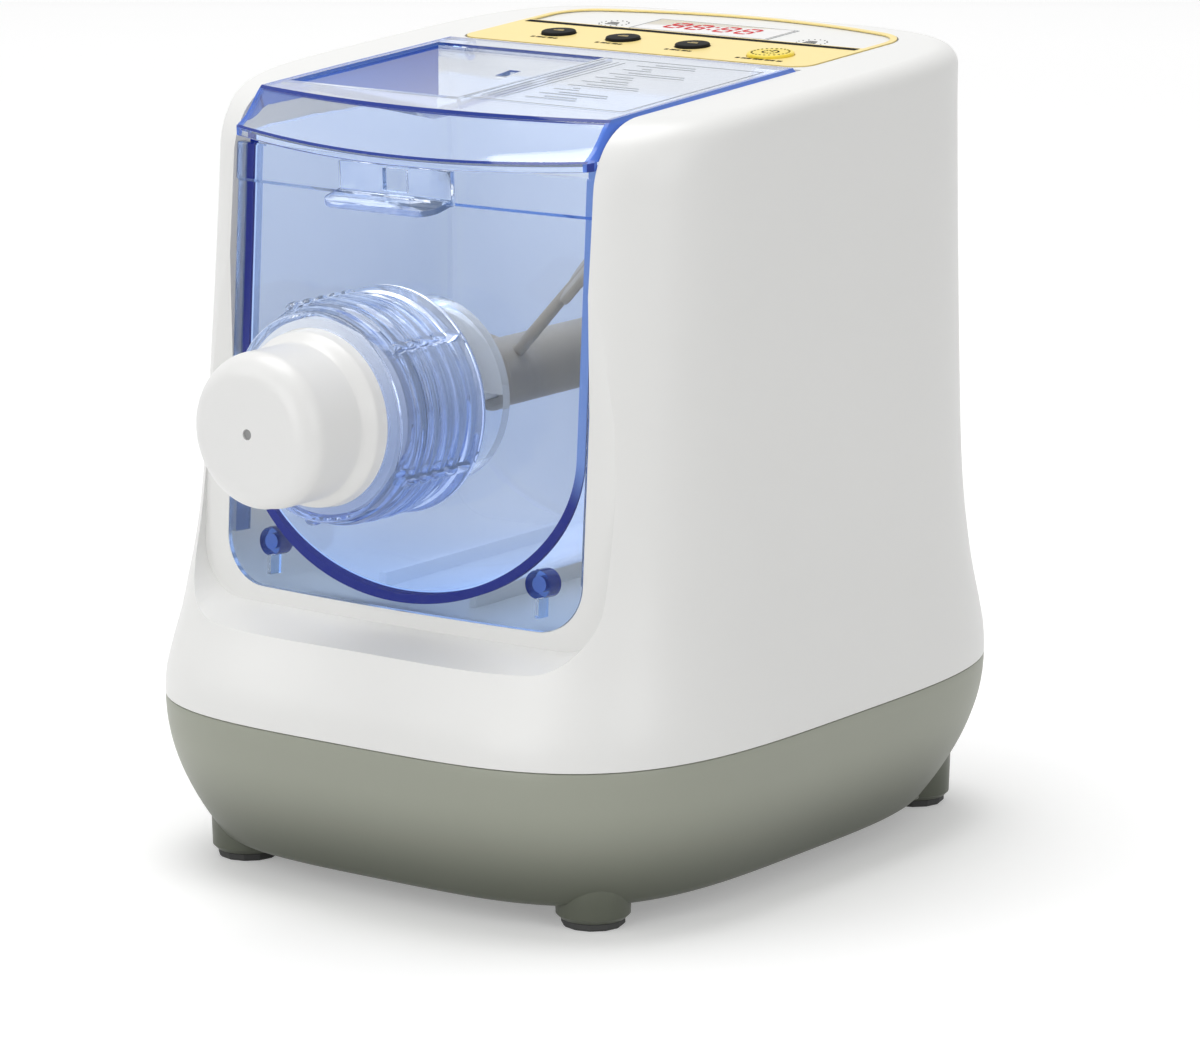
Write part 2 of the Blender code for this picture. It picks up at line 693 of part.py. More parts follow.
def panel_outline(inset, height=0.0, front=PANEL_FRONT, sharp_front=False):
    """Control panel outline, seen from above: straight sides, round shoulders, bowed rear."""
    half = PANEL_HALF_WIDTH - inset
    corner = PANEL_CORNER_RADIUS - inset
    shoulder_turn = math.atan(2 * PANEL_REAR_BOW / (PANEL_HALF_WIDTH - PANEL_CORNER_RADIUS))
    last = math.pi / 2 - shoulder_turn
    right = []
    if sharp_front:
        right.append((half, front))
    else:
        for i in range(CORNER_STEPS + 1):
            angle = -math.pi / 2 * (1 - i / CORNER_STEPS)
            right.append((
                half - PANEL_FRONT_RADIUS * (1 - math.cos(angle)),
                front + inset + PANEL_FRONT_RADIUS * (1 + math.sin(angle)),
            ))
    for i in range(CORNER_STEPS + 1):
        angle = last * i / CORNER_STEPS
        right.append((half - corner * (1 - math.cos(angle)), PANEL_SHOULDER + corner * math.sin(angle)))
    edge_x, edge_y = right[-1]
    rear = PANEL_REAR - inset
    for i in range(1, CORNER_STEPS):
        share = i / CORNER_STEPS
        right.append((edge_x * (1 - share), rear - (rear - edge_y) * (1 - share) ** 2))
    left = [(-x, y) for x, y in reversed(right)]
    return [(x, y, height) for x, y in right + [(0.0, rear)] + left]


def gear_outline(teeth, tooth_down):
    """Front view of a gear, with a tooth or else a gap on the line of centres."""
    pitch = math.tau / teeth
    middle = GEAR_MODULE * teeth / 2
    tip = middle + GEAR_MODULE * ADDENDUM_SHARE
    root = middle - GEAR_MODULE * DEDENDUM_SHARE
    start = -math.pi / 2 if tooth_down else math.pi / 2 + pitch / 2
    outline = []
    for i in range(teeth):
        centre = start + pitch * i
        for radius, share in (
            (root, -TOOTH_ROOT_SHARE), (tip, -TOOTH_TIP_SHARE), (tip, TOOTH_TIP_SHARE),
            (root, TOOTH_ROOT_SHARE),
        ):
            angle = centre + share * pitch / 2
            outline.append((radius * math.cos(angle), 0, radius * math.sin(angle)))
    return outline


def gear(name, teeth, tooth_down, bore, hub_radius, hub_run, parent, material, place, pinion=None):
    """A spur gear with a hub, a bore and perhaps a joined pinion, its axis along Y through its origin."""
    bm = bmesh.new()
    prism(bm, gear_outline(teeth, tooth_down), (0, 0, 0), (0, GEAR_WIDTH, 0))
    wheel = solid(name, bm, parent, material, place)
    bm = bmesh.new()
    low, high = hub_run
    rod(bm, hub_radius, (0, low, 0), (0, high, 0))
    join(wheel, solid(name + "_hub", bm, parent, place=place))
    if pinion:
        join(wheel, pinion)
    bm = bmesh.new()
    rod(bm, bore, (0, low - OVERRUN, 0), (0, high + OVERRUN, 0))
    cut(wheel, solid(name + "_bore", bm, parent, place=place))
    return wheel


def lid_station(x, shift_in=0.0, drop=0.0):
    """One fore-and-aft line of the lid's outer face, from its rear edge to its lip."""
    share = 1 - (x / LID_HALF_WIDTH) ** 2
    crease = LID_CREASE_REACH + LID_CREASE_BOW * share
    lip = LID_LIP_REACH + LID_LIP_BOW * share
    lip_drop = LID_LIP_DROP + LID_LIP_DIP * share
    line = [(x, LID_REAR, LID_PROUD - drop), (x, -crease / 2, LID_PROUD - drop)]
    for reach_share, drop_share in zip(VISOR_REACH_SHARES, VISOR_DROP_SHARES):
        reach = crease + (lip - crease) * reach_share
        line.append((x, -reach + shift_in, LID_PROUD - drop_share * lip_drop - drop * (1 - reach_share)))
    line.append((x, -lip + shift_in, LID_PROUD - lip_drop - LIP_HEIGHT))
    return line


def make_materials():
    return {
        "white": finish("white_plastic", (0.80, 0.80, 0.78), 0.32),
        "sage": finish("sage_plastic", (0.30, 0.32, 0.27), 0.38),
        "clear": finish("clear_blue_plastic", (0.62, 0.74, 0.93), 0.06, transmission=0.9),
        "navy": finish("navy_seal", (0.02, 0.05, 0.30), 0.35),
        "die": finish("die_plastic", (0.84, 0.84, 0.84), 0.30),
        "yellow": finish("yellow_film", (0.91, 0.75, 0.24), 0.40),
        "black": finish("black_plastic", (0.02, 0.02, 0.02), 0.35),
        "display": finish("display_window", (0.82, 0.80, 0.80), 0.15),
        "board": finish("circuit_board", (0.03, 0.20, 0.08), 0.50),
        "steel": finish("steel", (0.60, 0.60, 0.62), 0.28, metallic=1.0),
        "rubber": finish("rubber", (0.10, 0.10, 0.10), 0.75),
        "gear": finish("gear_nylon", (0.75, 0.73, 0.66), 0.45),
        "paddle": finish("paddle_plastic", (0.46, 0.43, 0.38), 0.40),
        "module": finish("dark_module", (0.05, 0.05, 0.05), 0.45),
    }


def make_housing(machine, top, leaning, look):
    bm = bmesh.new()
    loft(bm, housing_rings(0.0, PARTING_HEIGHT + GAP))
    housing = smooth(solid("main_housing", bm, machine, look["white"]))

    bm = bmesh.new()
    loft(bm, housing_rings(HOUSING_WALL, PARTING_HEIGHT - OVERRUN, 2, INNER_POINTS))
    hollow = solid("housing_hollow", bm, machine)
    bm = bmesh.new()
    outline = rounded_notch(
        NOTCH_HALF_WIDTH + WELL_WALL, NOTCH_FLOOR - WELL_WALL, TOP_HEIGHT + OVERRUN * 2,
        NOTCH_CORNER_RADIUS + WELL_WALL,
    )
    prism(bm, outline, (0, NOTCH_REAR + WELL_WALL, 0), (0, -NOTCH_REAR - WELL_WALL - FLAT_REACH, 0))
    cut(hollow, solid("well_walls", bm, machine))
    bm = bmesh.new()
    prism(bm, panel_outline(-WELL_WALL), (0, 0, -LEDGE_DEPTH), (0, 0, LEDGE_DEPTH + OVERRUN))
    cut(hollow, solid("panel_ledge", bm, top))
    cut(hollow, make_front_flat("flat_wall", leaning, HOUSING_WALL))
    cut(housing, hollow)

    bm = bmesh.new()
    outline = rounded_notch(NOTCH_HALF_WIDTH, NOTCH_FLOOR, TOP_HEIGHT + OVERRUN * 2, NOTCH_CORNER_RADIUS)
    prism(bm, outline, (0, NOTCH_REAR, 0), (0, -NOTCH_REAR - FLAT_REACH, 0))
    cut(housing, solid("notch", bm, machine))
    bm = bmesh.new()
    for side in (-1, 1):
        inner, outer = sorted((side * (RAIL_OFFSET - RAIL_WIDTH / 2), side * (RAIL_OFFSET + RAIL_WIDTH / 2)))
        high = trough_underside(RAIL_OFFSET - RAIL_WIDTH / 2, 0.0) - GAP
        block(
            bm, (inner, -PLATE_REACH + TROUGH_FRONT_SETBACK * 2, NOTCH_FLOOR - BURIED),
            (outer, NOTCH_REAR + BURIED, high),
        )
    join(housing, solid("well_rails", bm, machine))
    cut(housing, make_front_flat("front_flat", leaning, 0.0))

    bm = bmesh.new()
    prism(bm, panel_outline(-GAP), (0, 0, -PANEL_THICKNESS - FILM_THICKNESS), (0, 0, OVERRUN))
    cut(housing, solid("panel_pocket", bm, top))
    bm = bmesh.new()
    prism(bm, panel_outline(LEDGE_WIDTH), (0, 0, -LEDGE_DEPTH - OVERRUN), (0, 0, LEDGE_DEPTH + OVERRUN * 2))
    cut(housing, solid("panel_opening", bm, top))

    shell = housing_rings(HOUSING_WALL - BURIED, PARTING_HEIGHT - OVERRUN)
    join(
        housing,
        make_case_bosses("housing_bosses", machine, PARTING_HEIGHT + GAP, CASE_BOSS_TOP_LENGTH, shell),
    )
    bm = bmesh.new()
    for x, y in CASE_SCREW_PLACES:
        rod(
            bm, CASE_SCREW_RADIUS + GAP, (x, y, 0), (x, y, CASE_HEAD_HEIGHT + CASE_SCREW_LENGTH + GAP),
            FASTENER_SIDES,
        )
    cut(housing, solid("case_screw_holes", bm, machine))
    bm = bmesh.new()
    for side in (-1, 1):
        rod(
            bm, PIN_RADIUS + GAP,
            (side * (NOTCH_HALF_WIDTH - OVERRUN), LID_REAR - HINGE_SETBACK, LID_PROUD - HINGE_DROP),
            (side * (NOTCH_HALF_WIDTH + OVERRUN), LID_REAR - HINGE_SETBACK, LID_PROUD - HINGE_DROP),
        )
    cut(housing, solid("hinge_holes", bm, top))
    bm = bmesh.new()
    rod(bm, HUB_RADIUS + GAP, (0, NOTCH_REAR - OVERRUN, AXIS_HEIGHT), (0, NOTCH_REAR + OVERRUN, AXIS_HEIGHT))
    cut(housing, solid("shaft_hole", bm, machine))


def make_front_flat(name, leaning, wall):
    """The space in front of the flat, grown by a wall: its floor slopes to a crease with round corners."""
    bm = bmesh.new()
    rings = []
    corner = FLAT_HALF_WIDTH - FLAT_CORNER_RADIUS
    round_off = FLAT_CORNER_RADIUS + wall
    turns = [math.pi / 2 * i / CORNER_STEPS for i in range(CORNER_STEPS + 1)]
    stations = [corner + round_off * math.sin(angle) for angle in turns]
    middle = [-corner / 2, 0.0, corner / 2]
    for x in [-x for x in reversed(stations)] + middle + stations:
        beyond = max(0.0, (abs(x) - corner) / round_off)
        lift = round_off * (1 - math.sqrt(max(0.0, 1 - beyond**2))) - wall
        back = FLAT_SETBACK + wall - plate_bow(x, FLAT_HALF_WIDTH)
        inner = FLAT_INNER_HEIGHT - NOTCH_FLOOR + lift
        crease = FLAT_CREASE_HEIGHT - NOTCH_FLOOR + lift
        high = TOP_HEIGHT - NOTCH_FLOOR - FRONT_EDGE_RADIUS * 2 + wall
        fall = (inner - crease) * FLAT_REACH / (BODY_FRONT + FLARE_FRONT - PLATE_REACH)
        rings.append(
            [(x, back, inner), (x, back, high), (x, -FLAT_REACH, high), (x, -FLAT_REACH, inner - fall)],
        )
    loft(bm, rings)
    return solid(name, bm, leaning)


def make_case_bosses(name, machine, low, length, shell):
    """Four screw posts, each tied to the side wall by a rib that ends inside the shell's wall."""
    bm = bmesh.new()
    for x, y in CASE_SCREW_PLACES:
        rod(bm, CASE_BOSS_RADIUS, (x, y, low), (x, y, low + length))
    posts = solid(name, bm, machine)
    bm = bmesh.new()
    for x, y in CASE_SCREW_PLACES:
        inner, outer = sorted((x, math.copysign(BODY_HALF_WIDTH + FLARE_SIDE, x)))
        block(bm, (inner, y - RIB_THICKNESS, low + BURIED), (outer, y + RIB_THICKNESS, low + length - BURIED))
    join(posts, solid(name + "_ribs", bm, machine))
    bm = bmesh.new()
    loft(bm, shell)
    return combine(posts, solid(name + "_limit", bm, machine), "INTERSECT")


def make_base(machine, look):
    bm = bmesh.new()
    loft(bm, base_rings(0.0, BASE_UNDERSIDE))
    base = smooth(solid("base_shell", bm, machine, look["sage"]))
    bm = bmesh.new()
    for x, y in foot_places():
        rod(bm, FOOT_RADIUS, (x, y, PAD_HEIGHT + GAP), (x, y, FOOT_TOP))
    join(base, solid("foot_stubs", bm, machine))
    bm = bmesh.new()
    rings = base_rings(BASE_WALL, BASE_UNDERSIDE + BASE_WALL, INNER_POINTS)
    rim = [(x, y, PARTING_HEIGHT + OVERRUN) for x, y, _ in rings[0]]
    loft(bm, [rim] + rings)
    cut(base, solid("base_hollow", bm, machine))

    shell = base_rings(BASE_WALL - BURIED, BASE_UNDERSIDE)
    height = PARTING_HEIGHT - BASE_UNDERSIDE - BURIED
    join(base, make_case_bosses("base_bosses", machine, BASE_UNDERSIDE + BURIED, height, shell))
    bm = bmesh.new()
    for x, y in CASE_SCREW_PLACES:
        rod(bm, CASE_SCREW_RADIUS + GAP, (x, y, 0), (x, y, PARTING_HEIGHT + OVERRUN), FASTENER_SIDES)
    cut(base, solid("base_screw_holes", bm, machine))
    bm = bmesh.new()
    for x, y in CASE_SCREW_PLACES:
        rod(bm, CASE_SCREW_HEAD_RADIUS + GAP, (x, y, 0), (x, y, CASE_HEAD_HEIGHT), FASTENER_SIDES)
    cut(base, solid("base_head_holes", bm, machine))
    bm = bmesh.new()
    for row in range(VENT_ROWS):
        middle = -VENT_CENTRE_REACH + VENT_ROW_SPACING * (row - (VENT_ROWS - 1) / 2)
        for column in range(VENT_COLUMNS):
            x = VENT_SPACING * (column - (VENT_COLUMNS - 1) / 2)
            block(
                bm, (x - VENT_WIDTH / 2, middle - VENT_LENGTH / 2, 0),
                (x + VENT_WIDTH / 2, middle + VENT_LENGTH / 2, BASE_UNDERSIDE + BASE_WALL + BURIED),
            )
    cut(base, solid("vents", bm, machine))
    make_inlet_pocket(base, machine)
    bm = bmesh.new()
    for x in (POWER_BOARD_LEFT + STANDOFF_RADIUS * 2, POWER_BOARD_RIGHT - STANDOFF_RADIUS * 2):
        for y in (-POWER_BOARD_FRONT_REACH + STANDOFF_RADIUS * 2, POWER_BOARD_REAR - STANDOFF_RADIUS * 2):
            rod(
                bm, STANDOFF_RADIUS, (x, y, BASE_UNDERSIDE + BURIED), (x, y, POWER_BOARD_HEIGHT - GAP),
                FASTENER_SIDES,
            )
    join(base, solid("standoffs", bm, machine))


def base_rear(x, height):
    """Where the base's rear surface lies beside the centre line at some height."""
    tuck = ((PARTING_HEIGHT - height) / (PARTING_HEIGHT - BASE_UNDERSIDE)) ** 2
    half = BODY_HALF_WIDTH + FLARE_SIDE - BASE_TUCK_SIDE * tuck
    front = BODY_FRONT + FLARE_FRONT - BASE_TUCK_FRONT * tuck
    rear = BODY_REAR + FLARE_REAR - BASE_TUCK_REAR * tuck
    bulge = (1 - abs(x / half) ** FLARED_CORNER) ** (1 / FLARED_CORNER)
    return (rear - front) / 2 + (rear + front) / 2 * bulge


def inlet_block(bm, margin, front, rear):
    """A block round the inlet's middle, grown by a margin."""
    block(
        bm, (INLET_OFFSET - INLET_HALF_WIDTH - margin, front, INLET_HEIGHT - INLET_HALF_HEIGHT - margin),
        (INLET_OFFSET + INLET_HALF_WIDTH + margin, rear, INLET_HEIGHT + INLET_HALF_HEIGHT + margin),
    )


def inlet_seat():
    """The upright floor of the inlet's pocket, behind which the flange just clears the tucked-in base."""
    margin = INLET_FLANGE * 2
    low = INLET_HEIGHT - INLET_HALF_HEIGHT - margin
    return base_rear(INLET_OFFSET - INLET_HALF_WIDTH - margin, low) - INLET_FLANGE_THICKNESS - GAP * 2


def make_inlet_pocket(base, machine):
    """A pocket in the sloping rear of the base with an upright floor for the power inlet."""
    seat, beyond = inlet_seat(), BODY_REAR + FLARE_REAR + OVERRUN
    bm = bmesh.new()
    inlet_block(bm, INLET_FLANGE * 2 + BASE_WALL, seat - BASE_WALL, beyond)
    walls = solid("inlet_walls", bm, machine)
    bm = bmesh.new()
    loft(bm, base_rings(BASE_WALL - BURIED, BASE_UNDERSIDE))
    join(base, combine(walls, solid("inlet_limit", bm, machine), "INTERSECT"))
    bm = bmesh.new()
    inlet_block(bm, INLET_FLANGE * 2, seat, beyond)
    cut(base, solid("inlet_opening", bm, machine))
    bm = bmesh.new()
    inlet_block(bm, GAP, seat - OVERRUN, seat + OVERRUN)
    cut(base, solid("inlet_hole", bm, machine))


def foot_places():
    return [(side * FOOT_HALF_SPACING, y) for y in (-FOOT_FRONT_REACH, FOOT_REAR) for side in (-1, 1)]


def make_foot_pads(machine, look):
    names = ("foot_pad_front_left", "foot_pad_front_right", "foot_pad_rear_left", "foot_pad_rear_right")
    profile = [
        (0, PAD_HEIGHT), (PAD_RADIUS, PAD_HEIGHT), (PAD_RADIUS, PAD_EDGE), (PAD_RADIUS - PAD_EDGE, 0),
        (0, 0),
    ]
    for name, (x, y) in zip(names, foot_places()):
        turned(name, profile, machine, look["rubber"], (x, y, 0), along_front=False, steps=ROUND_SIDES)


def make_front_plate(machine, leaning, look):
    """Bowed clear plate with side flanges, a thicker top band, bosses and the threaded neck."""
    high = (PLATE_TOP - NOTCH_FLOOR) / math.cos(FRONT_LEAN)
    bm = bmesh.new()
    bowed_slab(bm, -OVERRUN, high, 0.0, PLATE_THICKNESS)
    plate = smooth(solid("front_plate", bm, leaning, look["clear"]))
    bm = bmesh.new()
    bowed_slab(bm, high - BAND_HEIGHT, high - BURIED, BAND_PROUD, BURIED)
    join(plate, solid("plate_band", bm, leaning))
    bm = bmesh.new()
    for side in (-1, 1):
        near = side * (NOTCH_HALF_WIDTH - GAP - PLATE_FLANGE_THICKNESS)
        far = side * (NOTCH_HALF_WIDTH + OVERRUN)
        block(
            bm, (min(near, far), BURIED, NOTCH_CORNER_RADIUS),
            (max(near, far), PLATE_THICKNESS + PLATE_FLANGE_DEPTH, high - BURIED),
        )
    join(plate, solid("plate_flanges", bm, leaning))
    bm = bmesh.new()
    outline = rounded_notch(NOTCH_HALF_WIDTH - GAP, NOTCH_FLOOR + GAP, TOP_HEIGHT, NOTCH_CORNER_RADIUS - GAP)
    prism(bm, outline, (0, 0, 0), (0, -FLAT_REACH, 0))
    combine(plate, solid("plate_edge", bm, machine), "INTERSECT")

    bm = bmesh.new()
    for side in (-1, 1):
        x = side * BOSS_OFFSET
        back = PLATE_THICKNESS - plate_bow(x)
        rod(bm, BOSS_RADIUS, (x, back - BURIED, BOSS_HEIGHT), (x, back + BOSS_DEPTH, BOSS_HEIGHT))
    bosses = solid("plate_bosses", bm, leaning)
    rib_top = trough_underside(BOSS_OFFSET - RIB_THICKNESS, SEAL_PROUD) - NOTCH_FLOOR - RIB_THICKNESS
    bm = bmesh.new()
    for side in (-1, 1):
        x = side * BOSS_OFFSET
        back = PLATE_THICKNESS - plate_bow(x)
        block(
            bm, (x - RIB_THICKNESS / 2, back - BURIED, RIB_FOOT),
            (x + RIB_THICKNESS / 2, back + BOSS_DEPTH - BURIED, rib_top),
        )
    join(bosses, solid("boss_ribs", bm, leaning))
    join(plate, bosses)
    bm = bmesh.new()
    for side in (-1, 1):
        x = side * BOSS_OFFSET
        back = PLATE_THICKNESS - plate_bow(x)
        rod(
            bm, BOSS_BORE, (x, back + BURIED, BOSS_HEIGHT), (x, back + BOSS_DEPTH + OVERRUN, BOSS_HEIGHT),
            FASTENER_SIDES,
        )
    cut(plate, solid("boss_bores", bm, leaning))

    neck_rear = PLATE_AXIS_REACH - PLATE_THICKNESS - NECK_INNER_LENGTH
    bm = bmesh.new()
    rod(bm, NECK_RADIUS, (0, -neck_rear, AXIS_HEIGHT), (0, -NECK_FRONT_REACH, AXIS_HEIGHT), TURNED_STEPS)
    join(plate, solid("neck", bm, machine))
    bm = bmesh.new()
    rod(
        bm, NECK_BORE, (0, -neck_rear + OVERRUN, AXIS_HEIGHT),
        (0, -NECK_FRONT_REACH - OVERRUN, AXIS_HEIGHT), TURNED_STEPS,
    )
    cut(plate, solid("neck_bore", bm, machine))
    bm = bmesh.new()
    half, crest = THREAD_WIDTH / 2, THREAD_CREST_WIDTH / 2
    thread = [
        (NECK_RADIUS - BURIED, -half), (NECK_RADIUS + THREAD_DEPTH, -crest),
        (NECK_RADIUS + THREAD_DEPTH, crest), (NECK_RADIUS - BURIED, half),
    ]
    first = NECK_FRONT_REACH - THREAD_START - THREAD_PITCH * THREAD_TURNS
    helix(bm, thread, THREAD_PITCH, THREAD_TURNS, THREAD_STEPS, first, TURNED_STEPS)
    join(plate, solid("neck_thread", bm, machine, place=(0, 0, AXIS_HEIGHT), along_front=True))


def make_die_cup(frame_of_axis, look):
    """The extruding die: a round-nosed cup with a flange, and holes in a flat underneath."""
    tip = TIP_REACH
    shoulder = tip - CUP_LENGTH
    flange = FLANGE_FRONT_REACH
    rear = FLANGE_REAR_REACH
    profile = [(0, tip)]
    for i in range(CORNER_STEPS + 1):
        angle = math.pi / 2 * (1 - i / CORNER_STEPS)
        profile.append((
            CUP_RADIUS - CUP_EDGE_RADIUS * (1 - math.cos(angle)),
            tip - CUP_EDGE_RADIUS * (1 - math.sin(angle)),
        ))
    profile += [
        (CUP_RADIUS, shoulder), (SKIRT_RADIUS - CUP_WALL, shoulder - SKIRT_LENGTH / 4),
        (SKIRT_RADIUS, shoulder - SKIRT_LENGTH / 2),
        (SKIRT_RADIUS, flange), (FLANGE_RADIUS, flange), (FLANGE_RADIUS, rear),
        (CUP_BORE_MOUTH, rear), (CUP_BORE_MOUTH, shoulder - SKIRT_LENGTH / 2),
        (CUP_RADIUS - CUP_WALL, shoulder),
        (CUP_RADIUS - CUP_WALL, tip - CUP_EDGE_RADIUS), (CUP_RADIUS - CUP_WALL * 2, tip - CUP_WALL),
        (0, tip - CUP_WALL),
    ]
    die = turned("die_cup", profile, frame_of_axis, look["die"])
    bm = bmesh.new()
    rod(bm, CENTRE_PIT_RADIUS, (0, -tip - OVERRUN, 0), (0, -tip + CENTRE_PIT_DEPTH, 0), FASTENER_SIDES)
    flat = CUP_RADIUS - DIE_FLAT_DEPTH
    block(
        bm, (-DIE_FLAT_HALF_WIDTH, -tip + DIE_FLAT_SETBACK, -CUP_RADIUS - OVERRUN),
        (DIE_FLAT_HALF_WIDTH, -shoulder - DIE_FLAT_DEPTH, -flat),
    )
    cut(die, solid("die_marks", bm, frame_of_axis))
    bm = bmesh.new()
    middle = (-tip + DIE_FLAT_SETBACK - shoulder - DIE_FLAT_DEPTH) / 2
    for row in range(DIE_HOLE_ROWS):
        for column in range(DIE_HOLE_COLUMNS):
            x = DIE_HOLE_SPACING * (column - (DIE_HOLE_COLUMNS - 1) / 2)
            y = middle + DIE_HOLE_SPACING * (row - (DIE_HOLE_ROWS - 1) / 2)
            rod(
                bm, DIE_HOLE_RADIUS, (x, y, -CUP_RADIUS - CUP_WALL), (x, y, -CUP_RADIUS + CUP_WALL * 2),
                FASTENER_SIDES,
            )
    cut(die, solid("die_holes", bm, frame_of_axis))


def nut_profile():
    """Section of the ring nut from its front lip, over its ribbed barrel, to its rear rim."""
    front, rear = NUT_FRONT_REACH, NUT_REAR_REACH
    seat = front - NUT_LIP_THICKNESS
    bore = (NECK_RADIUS + THREAD_DEPTH + GAP) / math.cos(math.pi / TURNED_STEPS)
    barrel_front, barrel_rear = front - NUT_SHOULDER, rear + NUT_RIM_LENGTH
    profile = [
        (NUT_LIP_RADIUS, front), (NUT_BEZEL_RADIUS - BURIED, front), (NUT_BEZEL_RADIUS, front - BURIED),
    ]
    steps = NUT_RIBS * RIB_STEPS
    for i in range(steps + 1):
        share = i / steps
        bulge = NUT_BULGE * math.sin(math.pi * share)
        rib = NUT_RIB_HEIGHT * (1 - math.cos(math.tau * NUT_RIBS * share)) / 2
        profile.append((NUT_BARREL_RADIUS + bulge + rib, barrel_front + (barrel_rear - barrel_front) * share))
    profile += [
        (NUT_RIM_RADIUS, barrel_rear - BURIED / 2), (NUT_RIM_RADIUS, rear), (bore, rear), (bore, seat),
        (NUT_LIP_RADIUS, seat),
    ]
    return profile


def make_ring_nut(frame_of_axis, look):
    nut = turned("ring_nut", nut_profile(), frame_of_axis, look["clear"])
    bm = bmesh.new()
    front, rear = NUT_FRONT_REACH - NUT_SHOULDER, NUT_REAR_REACH + NUT_RIM_LENGTH
    place = NUT_BARREL_RADIUS + NUT_BULGE
    steps = GRIP_BEADS * 2
    for grip in range(GRIPS):
        angle = GRIP_FIRST_ANGLE + math.tau * grip / GRIPS
        centre_x, centre_z = place * math.cos(angle), place * math.sin(angle)
        rings = []
        for i in range(steps + 1):
            radius = GRIP_RADIUS * (1 if i % 2 else BEAD_NECK_SHARE)
            y = -front + (front - rear) * i / steps
            rings.append([
                (centre_x + radius * math.cos(a), y, centre_z + radius * math.sin(a))
                for a in (angle + math.tau * k / GRIP_SIDES for k in range(GRIP_SIDES))
            ])
        loft(bm, rings)
    join(nut, solid("nut_grips", bm, frame_of_axis))


def make_mixer(axis, look):
    """Feed screw, paddle, output shaft and output gear, which turn together."""
    screw_front = NECK_FRONT_REACH - SCREW_FRONT_GAP
    flight = SCREW_PITCH * SCREW_TURNS
    core_rear = -TROUGH_REAR + TROUGH_WALL + PADDLE_REAR_GAP
    bm = bmesh.new()
    rod(bm, SCREW_CORE_RADIUS, (0, -core_rear, 0), (0, -screw_front + SCREW_NOSE_LENGTH, 0), CORE_SIDES)
    screw = smooth(solid("feed_screw", bm, axis, look["die"]))
    bm = bmesh.new()
    rod(
        bm, SCREW_CORE_RADIUS - GAP, (0, -screw_front + SCREW_NOSE_LENGTH + BURIED, 0), (0, -screw_front, 0),
        CORE_SIDES, end_radius=SCREW_CORE_RADIUS / 2,
    )
    join(screw, solid("screw_nose", bm, axis))
    bm = bmesh.new()
    root, tip = FLIGHT_ROOT_WIDTH / 2, FLIGHT_TIP_WIDTH / 2
    profile = [
        (SCREW_CORE_RADIUS - BURIED, -root), (SCREW_RADIUS, -tip), (SCREW_RADIUS, tip),
        (SCREW_CORE_RADIUS - BURIED, root),
    ]
    first = screw_front - SCREW_NOSE_LENGTH - flight
    helix(bm, profile, SCREW_PITCH, SCREW_TURNS, SCREW_STEPS, first, CORE_SIDES)
    join(screw, solid("screw_flight", bm, axis, along_front=True))
    bm = bmesh.new()
    rod(bm, OUTPUT_SHAFT_RADIUS + GAP, (0, -core_rear + OVERRUN, 0), (0, -core_rear - SOCKET_DEPTH, 0), 6)
    cut(screw, solid("screw_socket", bm, axis))

    hub_rear = core_rear + PADDLE_REAR_GAP
    hub_front = hub_rear + PADDLE_HUB_LENGTH
    bm = bmesh.new()
    rod(bm, PADDLE_HUB_RADIUS, (0, -hub_rear, 0), (0, -hub_front, 0), CORE_SIDES)
    paddle = smooth(solid("mixing_paddle", bm, axis, look["paddle"]))
    bm = bmesh.new()
    blades = bmesh.new()
    for degrees, share in zip(ARM_ANGLES, ARM_SETBACK_SHARES):
        angle = math.radians(degrees)
        y = -hub_front + PADDLE_HUB_LENGTH * share
        out = Vector((math.cos(angle), 0, math.sin(angle)))
        rod(
            bm, ARM_RADIUS, Vector((0, y, 0)) + out * SCREW_CORE_RADIUS,
            Vector((0, y, 0)) + out * (ARM_REACH - BURIED), ARM_SIDES, end_radius=ARM_TIP_RADIUS,
        )
        turn = Matrix.Translation(Vector((0, y, 0)) + out * (ARM_REACH - BLADE_WIDTH / 2))
        turn = turn @ Matrix.Rotation(-angle, 4, "Y") @ Matrix.Rotation(BLADE_TWIST, 4, "X")
        bmesh.ops.create_cube(
            blades, size=1.0,
            matrix=turn @ Matrix.Diagonal((BLADE_WIDTH, BLADE_LENGTH, BLADE_THICKNESS, 1.0)),
        )
    join(paddle, solid("paddle_arms", bm, axis))
    join(paddle, solid("paddle_blades", blades, axis))
    bm = bmesh.new()
    rod(bm, SCREW_CORE_RADIUS + GAP, (0, -hub_rear + OVERRUN, 0), (0, -hub_front - OVERRUN, 0), CORE_SIDES)
    cut(paddle, solid("paddle_bore", bm, axis))

    bm = bmesh.new()
    rod(bm, OUTPUT_SHAFT_RADIUS, (0, SHAFT_REAR, 0), (0, -core_rear + BURIED, 0))
    shaft = smooth(solid("output_shaft", bm, axis, look["steel"]))
    bm = bmesh.new()
    rod(bm, OUTPUT_SHAFT_RADIUS, (0, -core_rear + BURIED * 2, 0), (0, -core_rear - SOCKET_DEPTH + GAP, 0), 6)
    join(shaft, solid("shaft_hexagon", bm, axis))
    gear(
        "output_gear", WHEEL_TEETH, True, OUTPUT_SHAFT_RADIUS + GAP, OUTPUT_HUB_RADIUS,
        (-BURIED / 4, CASE_REAR - OUTPUT_GEAR_FRONT - BEARING_WIDTH - GAP), axis, look["gear"],
        (0, OUTPUT_GEAR_FRONT, 0),
    )


